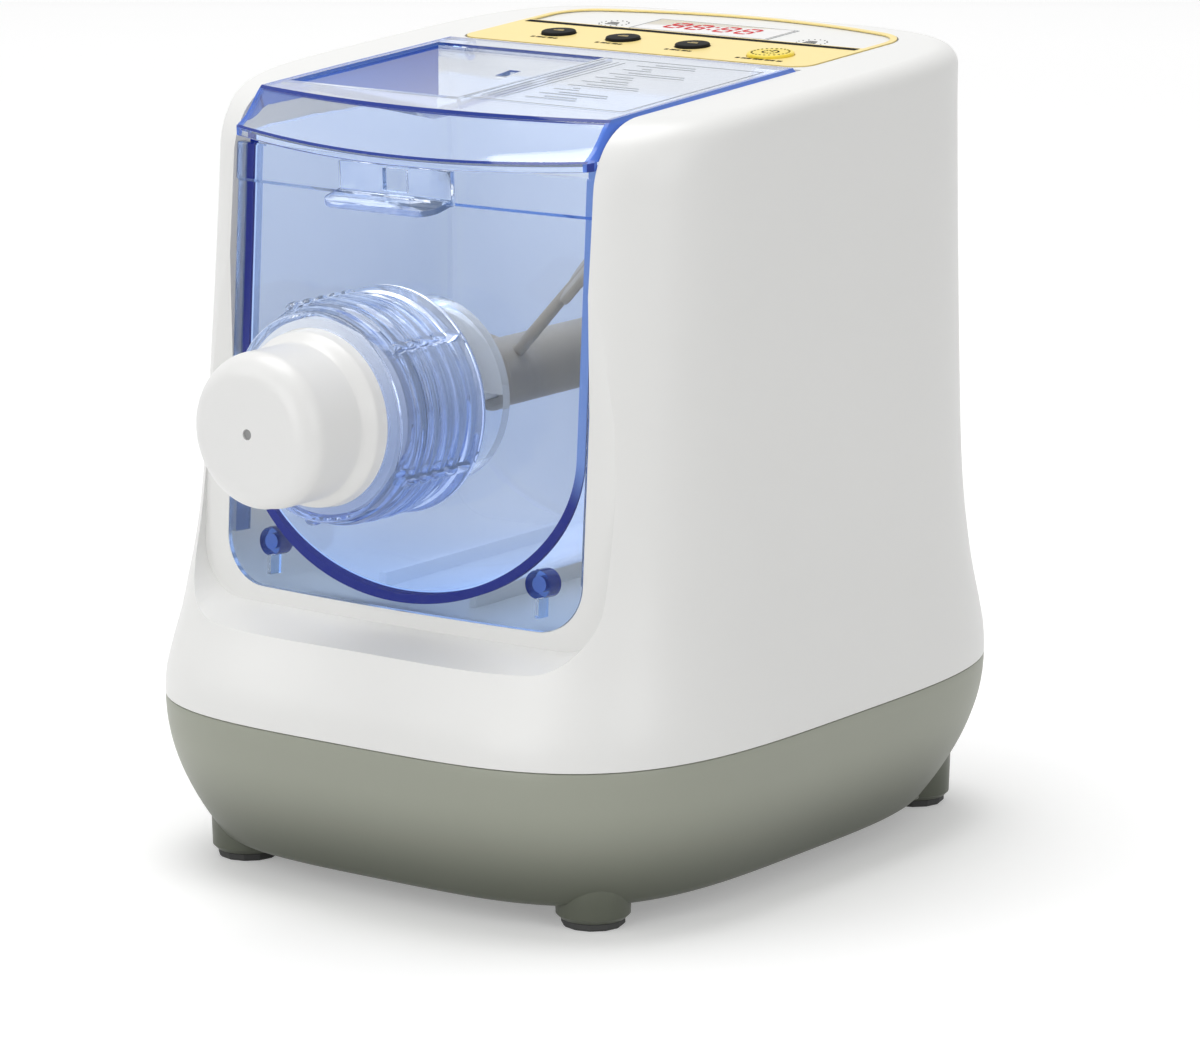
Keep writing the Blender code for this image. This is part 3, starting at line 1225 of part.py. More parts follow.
def make_idler(idler, machine, look):
    """The compound idler on its fixed axle."""
    bm = bmesh.new()
    front = OUTPUT_GEAR_FRONT - INPUT_GEAR_FRONT
    prism(bm, gear_outline(PINION_TEETH, False), (0, front, 0), (0, GEAR_WIDTH + GEAR_SPACING + BURIED, 0))
    pinion = solid("idler_pinion", bm, idler, place=(0, INPUT_GEAR_FRONT, 0))
    gear(
        "idler_gear", WHEEL_TEETH, True, IDLER_AXLE_RADIUS + RUNNING_GAP, IDLER_HUB_RADIUS,
        (front - BURIED, GEAR_WIDTH + BURIED / 2), idler, look["gear"], (0, INPUT_GEAR_FRONT, 0), pinion,
    )
    bm = bmesh.new()
    rod(
        bm, IDLER_AXLE_RADIUS, (0, CASE_FRONT + GEARCASE_WALL / 2 + GAP, IDLER_HEIGHT),
        (0, COVER_REAR - GEARCASE_WALL / 2 - GAP, IDLER_HEIGHT),
    )
    smooth(solid("idler_axle", bm, machine, look["steel"]))


def case_outline(margin):
    """Front view of the gearbox: the hull of circles round the two wheels and the pinion."""
    tip = GEAR_MODULE * ADDENDUM_SHARE + GEARCASE_MARGIN + margin
    circles = (
        (AXIS_HEIGHT, WHEEL_RADIUS + tip), (IDLER_HEIGHT, WHEEL_RADIUS + tip),
        (MOTOR_HEIGHT, PINION_RADIUS + tip + HUB_RADIUS),
    )
    points = []
    for height, radius in circles:
        for i in range(MOTOR_SIDES):
            angle = math.tau * i / MOTOR_SIDES
            points.append((radius * math.cos(angle), height + radius * math.sin(angle)))
    return points


def hull(bm, points, low, high):
    """The convex prism round (x, z) points, from y = low to high."""
    corners = [bm.verts.new((x, y, z)) for y in (low, high) for x, z in points]
    result = bmesh.ops.convex_hull(bm, input=corners)
    spare = [item for item in result["geom_interior"] if isinstance(item, bmesh.types.BMVert)]
    bmesh.ops.delete(bm, geom=spare, context="VERTS")


def lug_places():
    """Screw lugs just inside the gearbox rim."""
    rim = WHEEL_RADIUS + GEAR_MODULE * ADDENDUM_SHARE + GEARCASE_MARGIN + GEARCASE_WALL
    places = []
    for degrees in COVER_SCREW_ANGLES:
        if degrees < 180:
            angle = math.radians(degrees)
            places.append((rim * math.cos(angle), AXIS_HEIGHT + rim * math.sin(angle)))
        else:
            tip = GEAR_MODULE * ADDENDUM_SHARE + GEARCASE_MARGIN
            places.append((0.0, MOTOR_HEIGHT - PINION_RADIUS - tip - HUB_RADIUS - GEARCASE_WALL))
    return places


def make_gearbox(machine, look):
    """Gearbox housing against the well, its cover, the bearings and the cover screws."""
    bm = bmesh.new()
    hull(bm, case_outline(GEARCASE_WALL), CASE_FRONT, CASE_REAR)
    box = solid("gearbox_housing", bm, machine, look["module"])
    bm = bmesh.new()
    for x, z in lug_places():
        rod(bm, COVER_LUG_RADIUS, (x, CASE_FRONT + BURIED, z), (x, CASE_REAR, z), FASTENER_SIDES)
    join(box, solid("gearbox_lugs", bm, machine))
    bm = bmesh.new()
    hull(bm, case_outline(0.0), CASE_FRONT + GEARCASE_WALL, CASE_REAR + OVERRUN)
    cut(box, solid("gearbox_hollow", bm, machine))
    bm = bmesh.new()
    rod(
        bm, BEARING_RADIUS + BEARING_BOSS_WALL, (0, CASE_FRONT + BURIED, AXIS_HEIGHT),
        (0, CASE_FRONT + GEARCASE_WALL + BEARING_WIDTH - BURIED, AXIS_HEIGHT),
    )
    join(box, solid("bearing_boss", bm, machine))
    bm = bmesh.new()
    rod(bm, BEARING_RADIUS + GAP, (0, CASE_FRONT + GEARCASE_WALL, AXIS_HEIGHT), (0, CASE_REAR, AXIS_HEIGHT))
    rod(
        bm, IDLER_AXLE_RADIUS + GAP, (0, CASE_FRONT + GEARCASE_WALL / 2, IDLER_HEIGHT),
        (0, CASE_REAR, IDLER_HEIGHT),
    )
    rod(bm, MOTOR_SHAFT_RADIUS + GAP, (0, CASE_FRONT - OVERRUN, MOTOR_HEIGHT), (0, CASE_REAR, MOTOR_HEIGHT))
    cut(box, solid("gearbox_bores", bm, machine))
    bm = bmesh.new()
    rod(
        bm, OUTPUT_SHAFT_RADIUS + GAP * 2, (0, CASE_FRONT - OVERRUN, AXIS_HEIGHT),
        (0, CASE_REAR, AXIS_HEIGHT),
    )
    for x, z in lug_places():
        rod(
            bm, COVER_SCREW_RADIUS + GAP, (x, COVER_REAR - COVER_SCREW_LENGTH - GAP, z),
            (x, CASE_REAR + OVERRUN, z), FASTENER_SIDES,
        )
    cut(box, solid("gearbox_through_holes", bm, machine))

    bm = bmesh.new()
    hull(bm, case_outline(GEARCASE_WALL), CASE_REAR + GAP, COVER_REAR)
    cover = solid("gearbox_cover", bm, machine, look["module"])
    bm = bmesh.new()
    for x, z in lug_places():
        rod(bm, COVER_LUG_RADIUS, (x, CASE_REAR + GAP, z), (x, COVER_REAR - BURIED / 4, z), FASTENER_SIDES)
    rod(
        bm, BEARING_RADIUS + BEARING_BOSS_WALL, (0, CASE_REAR + GAP * 2, AXIS_HEIGHT),
        (0, SHAFT_REAR + GAP + BEARING_BOSS_WALL, AXIS_HEIGHT),
    )
    join(cover, solid("cover_lugs", bm, machine))
    bm = bmesh.new()
    rod(bm, BEARING_RADIUS + GAP, (0, CASE_REAR - OVERRUN, AXIS_HEIGHT), (0, SHAFT_REAR + GAP, AXIS_HEIGHT))
    rod(
        bm, IDLER_AXLE_RADIUS + GAP, (0, CASE_REAR - OVERRUN, IDLER_HEIGHT),
        (0, COVER_REAR - GEARCASE_WALL / 2, IDLER_HEIGHT),
    )
    for x, z in lug_places():
        rod(
            bm, COVER_SCREW_RADIUS + GAP, (x, CASE_REAR - OVERRUN, z), (x, COVER_REAR + OVERRUN, z),
            FASTENER_SIDES,
        )
    cut(cover, solid("cover_bores", bm, machine))

    front = CASE_FRONT + GEARCASE_WALL + GAP
    for name, low in (("front_bearing", front), ("rear_bearing", CASE_REAR + GAP * 2)):
        high = low + BEARING_WIDTH - GAP * 2
        bm = bmesh.new()
        rod(bm, BEARING_RADIUS, (0, low, AXIS_HEIGHT), (0, high, AXIS_HEIGHT))
        ring = smooth(solid(name, bm, machine, look["steel"]))
        bm = bmesh.new()
        rod(
            bm, OUTPUT_SHAFT_RADIUS + RUNNING_GAP, (0, low - OVERRUN, AXIS_HEIGHT),
            (0, high + OVERRUN, AXIS_HEIGHT),
        )
        cut(ring, solid(name + "_bore", bm, machine))

    for name, (x, z) in zip(COVER_SCREW_NAMES, lug_places()):
        bm = bmesh.new()
        rod(bm, COVER_SCREW_RADIUS, (0, -COVER_SCREW_LENGTH, 0), (0, BURIED / 2, 0), FASTENER_SIDES)
        fastener = solid(name, bm, machine, look["steel"], (x, COVER_REAR + GAP, z))
        bm = bmesh.new()
        rod(bm, COVER_SCREW_HEAD_RADIUS, (0, 0, 0), (0, COVER_SCREW_HEAD_LENGTH, 0), FASTENER_SIDES)
        join(fastener, solid(name + "_head", bm, machine, place=(x, COVER_REAR + GAP, z)))


def make_motor(machine, rotor, look):
    """Motor can under the well, its through shaft with the pinion, and the fan."""
    rear = CASE_FRONT - GAP
    front = rear - MOTOR_LENGTH
    bm = bmesh.new()
    rod(bm, MOTOR_RADIUS, (0, front + MOTOR_END_LENGTH, MOTOR_HEIGHT), (0, rear, MOTOR_HEIGHT), MOTOR_SIDES)
    motor = smooth(solid("motor_housing", bm, machine, look["steel"]))
    bm = bmesh.new()
    rod(
        bm, MOTOR_END_RADIUS, (0, front, MOTOR_HEIGHT),
        (0, front + MOTOR_END_LENGTH + BURIED, MOTOR_HEIGHT), MOTOR_SIDES,
    )
    join(motor, solid("motor_end", bm, machine))
    bm = bmesh.new()
    rod(
        bm, MOTOR_SHAFT_RADIUS + RUNNING_GAP, (0, front - OVERRUN, MOTOR_HEIGHT),
        (0, rear + OVERRUN, MOTOR_HEIGHT), FASTENER_SIDES,
    )
    cut(motor, solid("motor_bore", bm, machine))

    fan_rear = front - FAN_GAP
    fan_front = fan_rear - FAN_WIDTH
    bm = bmesh.new()
    rod(bm, MOTOR_SHAFT_RADIUS, (0, fan_front, 0), (0, INPUT_GEAR_FRONT + GEAR_WIDTH, 0), FASTENER_SIDES)
    solid("motor_shaft", bm, rotor, look["steel"])
    gear(
        "motor_pinion", PINION_TEETH, False, MOTOR_SHAFT_RADIUS + GAP, PINION_RADIUS / 2,
        (-GEAR_SPACING, GEAR_WIDTH - BURIED / 2), rotor, look["steel"], (0, INPUT_GEAR_FRONT, 0),
    )
    bm = bmesh.new()
    rod(bm, FAN_HUB_RADIUS, (0, fan_front, 0), (0, fan_rear, 0), FASTENER_SIDES)
    fan = solid("cooling_fan", bm, rotor, look["black"])
    bm = bmesh.new()
    length = FAN_RADIUS - FAN_HUB_RADIUS + BURIED
    for i in range(FAN_BLADES):
        turn = Matrix.Rotation(math.tau * i / FAN_BLADES, 4, "Y")
        turn = turn @ Matrix.Translation(
            (FAN_HUB_RADIUS - BURIED + length / 2, (fan_front + fan_rear) / 2, 0),
        )
        turn = turn @ Matrix.Rotation(FAN_BLADE_TURN, 4, "X")
        bmesh.ops.create_cube(
            bm, size=1.0,
            matrix=turn @ Matrix.Diagonal((length, FAN_BLADE_THICKNESS, FAN_WIDTH - BURIED, 1.0)),
        )
    join(fan, solid("fan_blades", bm, rotor))
    bm = bmesh.new()
    rod(bm, MOTOR_SHAFT_RADIUS + GAP, (0, fan_front - OVERRUN, 0), (0, fan_rear + OVERRUN, 0), FASTENER_SIDES)
    cut(fan, solid("fan_bore", bm, rotor))


def trough_outline(margin, top):
    """Front view of the trough grown by a margin: an elliptical bottom with straight sides."""
    half, depth = TROUGH_HALF_WIDTH + margin, TROUGH_DEPTH + margin
    outline = [(-half, top)]
    for i in range(TROUGH_ARC_STEPS + 1):
        angle = math.pi * (1 + i / TROUGH_ARC_STEPS)
        outline.append((half * math.cos(angle), TROUGH_CENTRE_HEIGHT + depth * math.sin(angle)))
    outline.append((half, top))
    return [(x, 0, z) for x, z in outline]


def trough_underside(x, margin):
    """Height of the trough's underside beside the centre line, grown by a margin."""
    share = x / (TROUGH_HALF_WIDTH + margin)
    return TROUGH_CENTRE_HEIGHT - (TROUGH_DEPTH + margin) * math.sqrt(1 - share**2)


def make_trough(machine, top, leaning, look):
    """U-shaped mixing trough with a rear wall, and its two seals."""
    front = PLATE_REACH
    bm = bmesh.new()
    prism(bm, trough_outline(0.0, TOP_HEIGHT), (0, TROUGH_REAR, 0), (0, -TROUGH_REAR - front, 0))
    trough = smooth(solid("mixing_trough", bm, machine, look["clear"]))

    bm = bmesh.new()
    ear_front = -PLATE_THICKNESS - BOSS_DEPTH - GAP
    for side in (-1, 1):
        x = side * BOSS_OFFSET
        centre = Vector((x, 0, BOSS_HEIGHT))
        root = Vector((x, 0, trough_underside(x, 0.0) + TROUGH_WALL - NOTCH_FLOOR))
        points = []
        for hub in (centre, root):
            for i in range(FASTENER_SIDES):
                angle = math.tau * i / FASTENER_SIDES
                points.append((hub.x + EAR_RADIUS * math.cos(angle), hub.z + EAR_RADIUS * math.sin(angle)))
        hull(bm, points, -ear_front, -ear_front + EAR_THICKNESS)
    ears = solid("trough_ears", bm, leaning)
    bm = bmesh.new()
    for side in (-1, 1):
        x = side * BOSS_OFFSET
        end = PLATE_THICKNESS - plate_bow(x) + BURIED + GAP
        rod(bm, EAR_PIN_RADIUS, (x, end, BOSS_HEIGHT), (x, -ear_front + BURIED, BOSS_HEIGHT), FASTENER_SIDES)
    join(ears, solid("ear_pins", bm, leaning))

    bm = bmesh.new()
    inside = trough_outline(-TROUGH_WALL, TOP_HEIGHT + OVERRUN)
    prism(bm, inside, (0, TROUGH_REAR - TROUGH_WALL, 0), (0, -TROUGH_REAR - front - OVERRUN, 0))
    hollow = solid("trough_hollow", bm, machine)
    bm = bmesh.new()
    block(
        bm, (-BODY_HALF_WIDTH, -BODY_FRONT - OVERRUN, 0),
        (BODY_HALF_WIDTH, TROUGH_FRONT_SETBACK - PLATE_BOW, TOP_HEIGHT),
    )
    front_cut = solid("trough_front", bm, leaning)
    bm = bmesh.new()
    block(
        bm, (-BODY_HALF_WIDTH, -BODY_FRONT - OVERRUN, -TROUGH_DROP),
        (BODY_HALF_WIDTH, TROUGH_REAR + OVERRUN, OVERRUN * 2),
    )
    top_cut = solid("trough_top", bm, top)
    cut(trough, front_cut)
    join(trough, ears)
    cut(trough, hollow)
    cut(trough, top_cut)
    bm = bmesh.new()
    rod(
        bm, SHAFT_SEAL_RADIUS + GAP, (0, TROUGH_REAR - OVERRUN, AXIS_HEIGHT),
        (0, TROUGH_REAR + OVERRUN, AXIS_HEIGHT),
    )
    cut(trough, solid("seal_hole", bm, machine))

    bm = bmesh.new()
    prism(bm, trough_outline(SEAL_PROUD, TOP_HEIGHT), (0, 0, 0), (0, -front - OVERRUN, 0))
    seal = smooth(solid("trough_seal", bm, machine, look["navy"]))
    bm = bmesh.new()
    inner = trough_outline(-TROUGH_WALL - SEAL_LIP, TOP_HEIGHT + OVERRUN)
    prism(bm, inner, (0, OVERRUN, 0), (0, -front - OVERRUN * 3, 0))
    cut(seal, solid("seal_inside", bm, machine))
    bm = bmesh.new()
    block(
        bm, (-BODY_HALF_WIDTH, TROUGH_FRONT_SETBACK - PLATE_BOW - GAP, -OVERRUN * 3),
        (BODY_HALF_WIDTH, BODY_FRONT * 2, TOP_HEIGHT),
    )
    cut(seal, solid("seal_rear", bm, leaning))
    bm = bmesh.new()
    bowed_slab(bm, -OVERRUN, TOP_HEIGHT, OVERRUN * 3, PLATE_THICKNESS + GAP)
    cut(seal, solid("seal_front", bm, leaning))
    cut(seal, top_cut)

    bm = bmesh.new()
    rod(
        bm, SHAFT_SEAL_RADIUS, (0, TROUGH_REAR - TROUGH_WALL, AXIS_HEIGHT),
        (0, NOTCH_REAR - GAP, AXIS_HEIGHT),
    )
    ring = smooth(solid("shaft_seal", bm, machine, look["rubber"]))
    bm = bmesh.new()
    rod(
        bm, OUTPUT_SHAFT_RADIUS + RUNNING_GAP, (0, -OVERRUN, AXIS_HEIGHT),
        (0, NOTCH_REAR + OVERRUN, AXIS_HEIGHT),
    )
    cut(ring, solid("shaft_seal_bore", bm, machine))


def make_lid(hinge, top, look):
    """Lid shell with skirts and a flared visor, the water funnel, knuckles and the catch."""
    at_hinge = Vector((0, -(LID_REAR - HINGE_SETBACK), -(LID_PROUD - HINGE_DROP)))
    half = LID_HALF_WIDTH
    lines = [
        lid_station(-half, LID_EDGE_RADIUS * 2, LID_SKIRT),
        lid_station(-half, LID_EDGE_RADIUS, LID_EDGE_RADIUS),
    ]
    inner = half - LID_EDGE_RADIUS
    lines += [lid_station(inner * (2 * i / LID_STATIONS - 1)) for i in range(LID_STATIONS + 1)]
    lines += [
        lid_station(half, LID_EDGE_RADIUS, LID_EDGE_RADIUS),
        lid_station(half, LID_EDGE_RADIUS * 2, LID_SKIRT),
    ]
    mesh = bpy.data.meshes.new("lid")
    bm = bmesh.new()
    grid = [[bm.verts.new(Vector(point) + at_hinge) for point in line] for line in lines]
    for first, second in zip(grid, grid[1:]):
        for i in range(len(first) - 1):
            bm.faces.new((first[i], second[i], second[i + 1], first[i + 1]))
    bmesh.ops.recalc_face_normals(bm, faces=bm.faces)
    if max(bm.faces, key=lambda face: face.calc_area()).normal.z < 0:
        bmesh.ops.reverse_faces(bm, faces=bm.faces)
    bm.to_mesh(mesh)
    bm.free()
    lid = bpy.data.objects.new("lid", mesh)
    lid.parent = hinge
    PARTS.objects.link(lid)
    mesh.materials.append(look["clear"])
    smooth(lid)
    shell = lid.modifiers.new("wall", "SOLIDIFY")
    shell.thickness = LID_THICKNESS
    shell.offset = -1.0
    shell.use_even_offset = True

    bm = bmesh.new()
    funnel_hull(bm, LID_THICKNESS, at_hinge)
    join(lid, solid("funnel_outside", bm, hinge))
    bm = bmesh.new()
    for side in (-1, 1):
        outer = side * (half - BURIED / 2)
        rod(bm, KNUCKLE_RADIUS, (outer, 0, 0), (outer - side * KNUCKLE_LENGTH, 0, 0))
    join(lid, solid("knuckles", bm, hinge))
    bm = bmesh.new()
    funnel_hull(bm, 0.0, at_hinge)
    cut(lid, solid("funnel_inside", bm, hinge))
    bm = bmesh.new()
    across, along = FUNNEL_SLOT_SHARES
    x = FUNNEL_LEFT + (FUNNEL_RIGHT - FUNNEL_LEFT) * across
    y = -FUNNEL_FRONT_REACH + (FUNNEL_REAR + FUNNEL_FRONT_REACH) * along
    centre = Vector((x, y, 0)) + at_hinge
    spread = Vector((FUNNEL_SLOT_WIDTH / 2, FUNNEL_SLOT_LENGTH / 2, OVERRUN))
    block(bm, centre - spread, centre + spread)
    cut(lid, solid("funnel_slot", bm, hinge))
    bm = bmesh.new()
    rod(bm, PIN_RADIUS + RUNNING_GAP, (-half - OVERRUN, 0, 0), (half + OVERRUN, 0, 0))
    cut(lid, solid("knuckle_bore", bm, hinge))
    for name, side in (("hinge_pin_left", -1), ("hinge_pin_right", 1)):
        bm = bmesh.new()
        outer = side * (NOTCH_HALF_WIDTH + WELL_WALL)
        rod(bm, PIN_RADIUS, (outer, 0, 0), (outer - side * PIN_LENGTH, 0, 0))
        place = (0, LID_REAR - HINGE_SETBACK, LID_PROUD - HINGE_DROP)
        smooth(solid(name, bm, top, look["steel"], place))
    make_catch(hinge, at_hinge, look)


def funnel_hull(bm, wall, shift):
    """The funnel's pit, grown by a wall: a rim and a floor falling to a front corner."""
    left, right = FUNNEL_LEFT - wall, FUNNEL_RIGHT + wall
    front, rear = -FUNNEL_FRONT_REACH - wall, FUNNEL_REAR + wall
    rim = LID_PROUD + (OVERRUN if wall == 0 else -BURIED / 4)
    low = LID_PROUD - FUNNEL_DEPTH - wall
    valley_x = FUNNEL_RIGHT - FUNNEL_VALLEY_INSET
    shallow = LID_PROUD - wall - BURIED
    corners = [
        (left, front, rim), (right, front, rim), (right, rear, rim), (left, rear, rim),
        (left, front, shallow), (left, rear, shallow), (right, rear, shallow),
        (valley_x, front, low), (right, front, (low + shallow) / 2),
    ]
    verts = [bm.verts.new(Vector(corner) + shift) for corner in corners]
    result = bmesh.ops.convex_hull(bm, input=verts)
    spare = [item for item in result["geom_interior"] if isinstance(item, bmesh.types.BMVert)]
    if spare:
        bmesh.ops.delete(bm, geom=spare, context="VERTS")


def make_catch(hinge, at_hinge, look):
    """Clear catch under the middle of the lip: an upright plate with a window and a finger tab."""
    reach = LID_LIP_REACH + LID_LIP_BOW - CATCH_SETBACK
    high = LID_PROUD - LID_LIP_DROP - LID_LIP_DIP - LIP_HEIGHT - GAP
    low = high - CATCH_HEIGHT
    bm = bmesh.new()
    corner = Vector((CATCH_HALF_WIDTH, -reach, low))
    block(
        bm, Vector((-CATCH_HALF_WIDTH, -reach, low)) + at_hinge,
        corner + Vector((0, CATCH_THICKNESS, CATCH_HEIGHT)) + at_hinge,
    )
    catch = solid("lid_catch", bm, hinge, look["clear"])
    bm = bmesh.new()
    outline = [(CATCH_HALF_WIDTH, CATCH_THICKNESS - BURIED)]
    for i in range(CORNER_STEPS + 1):
        angle = math.pi / 2 * i / CORNER_STEPS
        outline.append((
            CATCH_HALF_WIDTH - FINGER_RADIUS * (1 - math.cos(angle)),
            -FINGER_REACH + FINGER_RADIUS * (1 - math.sin(angle)),
        ))
    outline += [(-x, y) for x, y in reversed(outline)]
    prism(bm, [(x, y, 0) for x, y in outline], (0, 0, CATCH_THICKNESS), (0, 0, -CATCH_THICKNESS))
    bmesh.ops.rotate(bm, verts=bm.verts, matrix=Matrix.Rotation(FINGER_FALL, 3, "X"))
    bmesh.ops.translate(bm, verts=bm.verts, vec=Vector((0, -reach, low + BURIED / 4)) + at_hinge)
    join(catch, solid("catch_finger", bm, hinge))
    bm = bmesh.new()
    width, height = CATCH_WINDOW
    centre = Vector((0, -reach, (high + low + CATCH_THICKNESS) / 2)) + at_hinge
    spread = Vector((width / 2, OVERRUN / 2, height / 2))
    block(bm, centre - spread, centre + spread)
    cut(catch, solid("catch_window", bm, hinge))


def make_panel(top, look):
    """Control panel plate, its yellow film, display, board and posts."""
    film_high = PANEL_PROUD
    film_low = film_high - FILM_THICKNESS
    plate_high = film_low - GAP
    posts = [(side * (BOARD_HALF_WIDTH - POST_SIDE_INSET), BOARD_REAR - POST_REAR_INSET) for side in (-1, 1)]
    plate_low = plate_high - PANEL_THICKNESS + GAP * 2
    holes = bmesh.new()
    for x, y in BUTTON_PLACES:
        rod(holes, BUTTON_RADIUS + GAP, (x, y, -OVERRUN), (x, y, OVERRUN))
    x, y = POWER_PLACE
    rod(holes, POWER_RADIUS + GAP, (x, y, -OVERRUN), (x, y, OVERRUN))
    button_holes = solid("button_holes", holes, top)

    bm = bmesh.new()
    prism(bm, panel_outline(GAP), (0, 0, plate_low), (0, 0, plate_high - plate_low))
    plate = solid("control_panel", bm, top, look["white"])
    bm = bmesh.new()
    board_high = -BOARD_DROP
    for x, y in posts:
        rod(bm, POST_RADIUS, (x, y, board_high + GAP), (x, y, plate_low + BURIED / 2), FASTENER_SIDES)
    join(plate, solid("board_posts", bm, top))
    cut(plate, button_holes)
    bm = bmesh.new()
    block(
        bm, (DISPLAY_OFFSET - DISPLAY_HALF_WIDTH - GAP, DISPLAY_CENTRE - DISPLAY_HALF_DEPTH - GAP, -OVERRUN),
        (DISPLAY_OFFSET + DISPLAY_HALF_WIDTH + GAP, DISPLAY_CENTRE + DISPLAY_HALF_DEPTH + GAP, OVERRUN),
    )
    cut(plate, solid("display_hole", bm, top))

    bm = bmesh.new()
    prism(bm, panel_outline(GAP), (0, 0, film_low), (0, 0, FILM_THICKNESS))
    film = solid("panel_film", bm, top, look["yellow"])
    bm = bmesh.new()
    prism(
        bm, panel_outline(FILM_BORDER, front=BAND_REAR, sharp_front=True), (0, 0, -OVERRUN),
        (0, 0, OVERRUN * 2),
    )
    cut(film, solid("film_opening", bm, top))
    cut(film, button_holes)

    bm = bmesh.new()
    block(
        bm, (DISPLAY_OFFSET - DISPLAY_HALF_WIDTH, DISPLAY_CENTRE - DISPLAY_HALF_DEPTH, plate_low),
        (DISPLAY_OFFSET + DISPLAY_HALF_WIDTH, DISPLAY_CENTRE + DISPLAY_HALF_DEPTH, film_low),
    )
    solid("display_window", bm, top, look["display"])
    margin = DISPLAY_MODULE_MARGIN
    bm = bmesh.new()
    block(
        bm,
        (
            DISPLAY_OFFSET - DISPLAY_HALF_WIDTH + margin, DISPLAY_CENTRE - DISPLAY_HALF_DEPTH + margin / 2,
            board_high + GAP,
        ),
        (
            DISPLAY_OFFSET + DISPLAY_HALF_WIDTH - margin, DISPLAY_CENTRE + DISPLAY_HALF_DEPTH - margin / 2,
            plate_low - GAP,
        ),
    )
    solid("display_module", bm, top, look["module"])

    bm = bmesh.new()
    block(
        bm, (-BOARD_HALF_WIDTH, BOARD_FRONT, board_high - BOARD_THICKNESS),
        (BOARD_HALF_WIDTH, BOARD_REAR, board_high),
    )
    board = solid("control_board", bm, top, look["board"])
    bm = bmesh.new()
    for x, y in (*BUTTON_PLACES, POWER_PLACE):
        low = Vector((x - SWITCH_SIZE / 2, y - SWITCH_SIZE / 2, board_high - BOARD_THICKNESS / 2))
        block(bm, low, low + Vector((SWITCH_SIZE, SWITCH_SIZE, SWITCH_HEIGHT + BOARD_THICKNESS / 2)))
    join(board, solid("board_switches", bm, top))
    make_buttons(top, film_high, plate_low, board_high + SWITCH_HEIGHT, look)


def make_buttons(top, face, plate_low, switch_top, look):
    """Push buttons: a cap through the panel, a keeper flange under it and a stem."""
    places = [*zip(BUTTON_NAMES, BUTTON_PLACES), ("power_button", POWER_PLACE)]
    flange_high = plate_low - GAP
    flange_low = flange_high - BUTTON_FLANGE_THICKNESS
    stem_low = switch_top + BUTTON_TRAVEL + GAP
    crown = face + BUTTON_PROUD
    for name, (x, y) in places:
        power = name == "power_button"
        radius = POWER_RADIUS if power else BUTTON_RADIUS
        profile = [
            (0, crown), (radius - BUTTON_PROUD / 2, crown), (radius, crown - BUTTON_PROUD / 2),
            (radius, flange_high),
            (radius + BUTTON_FLANGE, flange_high), (radius + BUTTON_FLANGE, flange_low),
            (BUTTON_STEM_RADIUS, flange_low),
            (BUTTON_STEM_RADIUS, stem_low), (0, stem_low),
        ]
        turned(
            name, profile, top, look["yellow" if power else "black"], (x, y, 0), along_front=False,
            steps=ROUND_SIDES,
        )


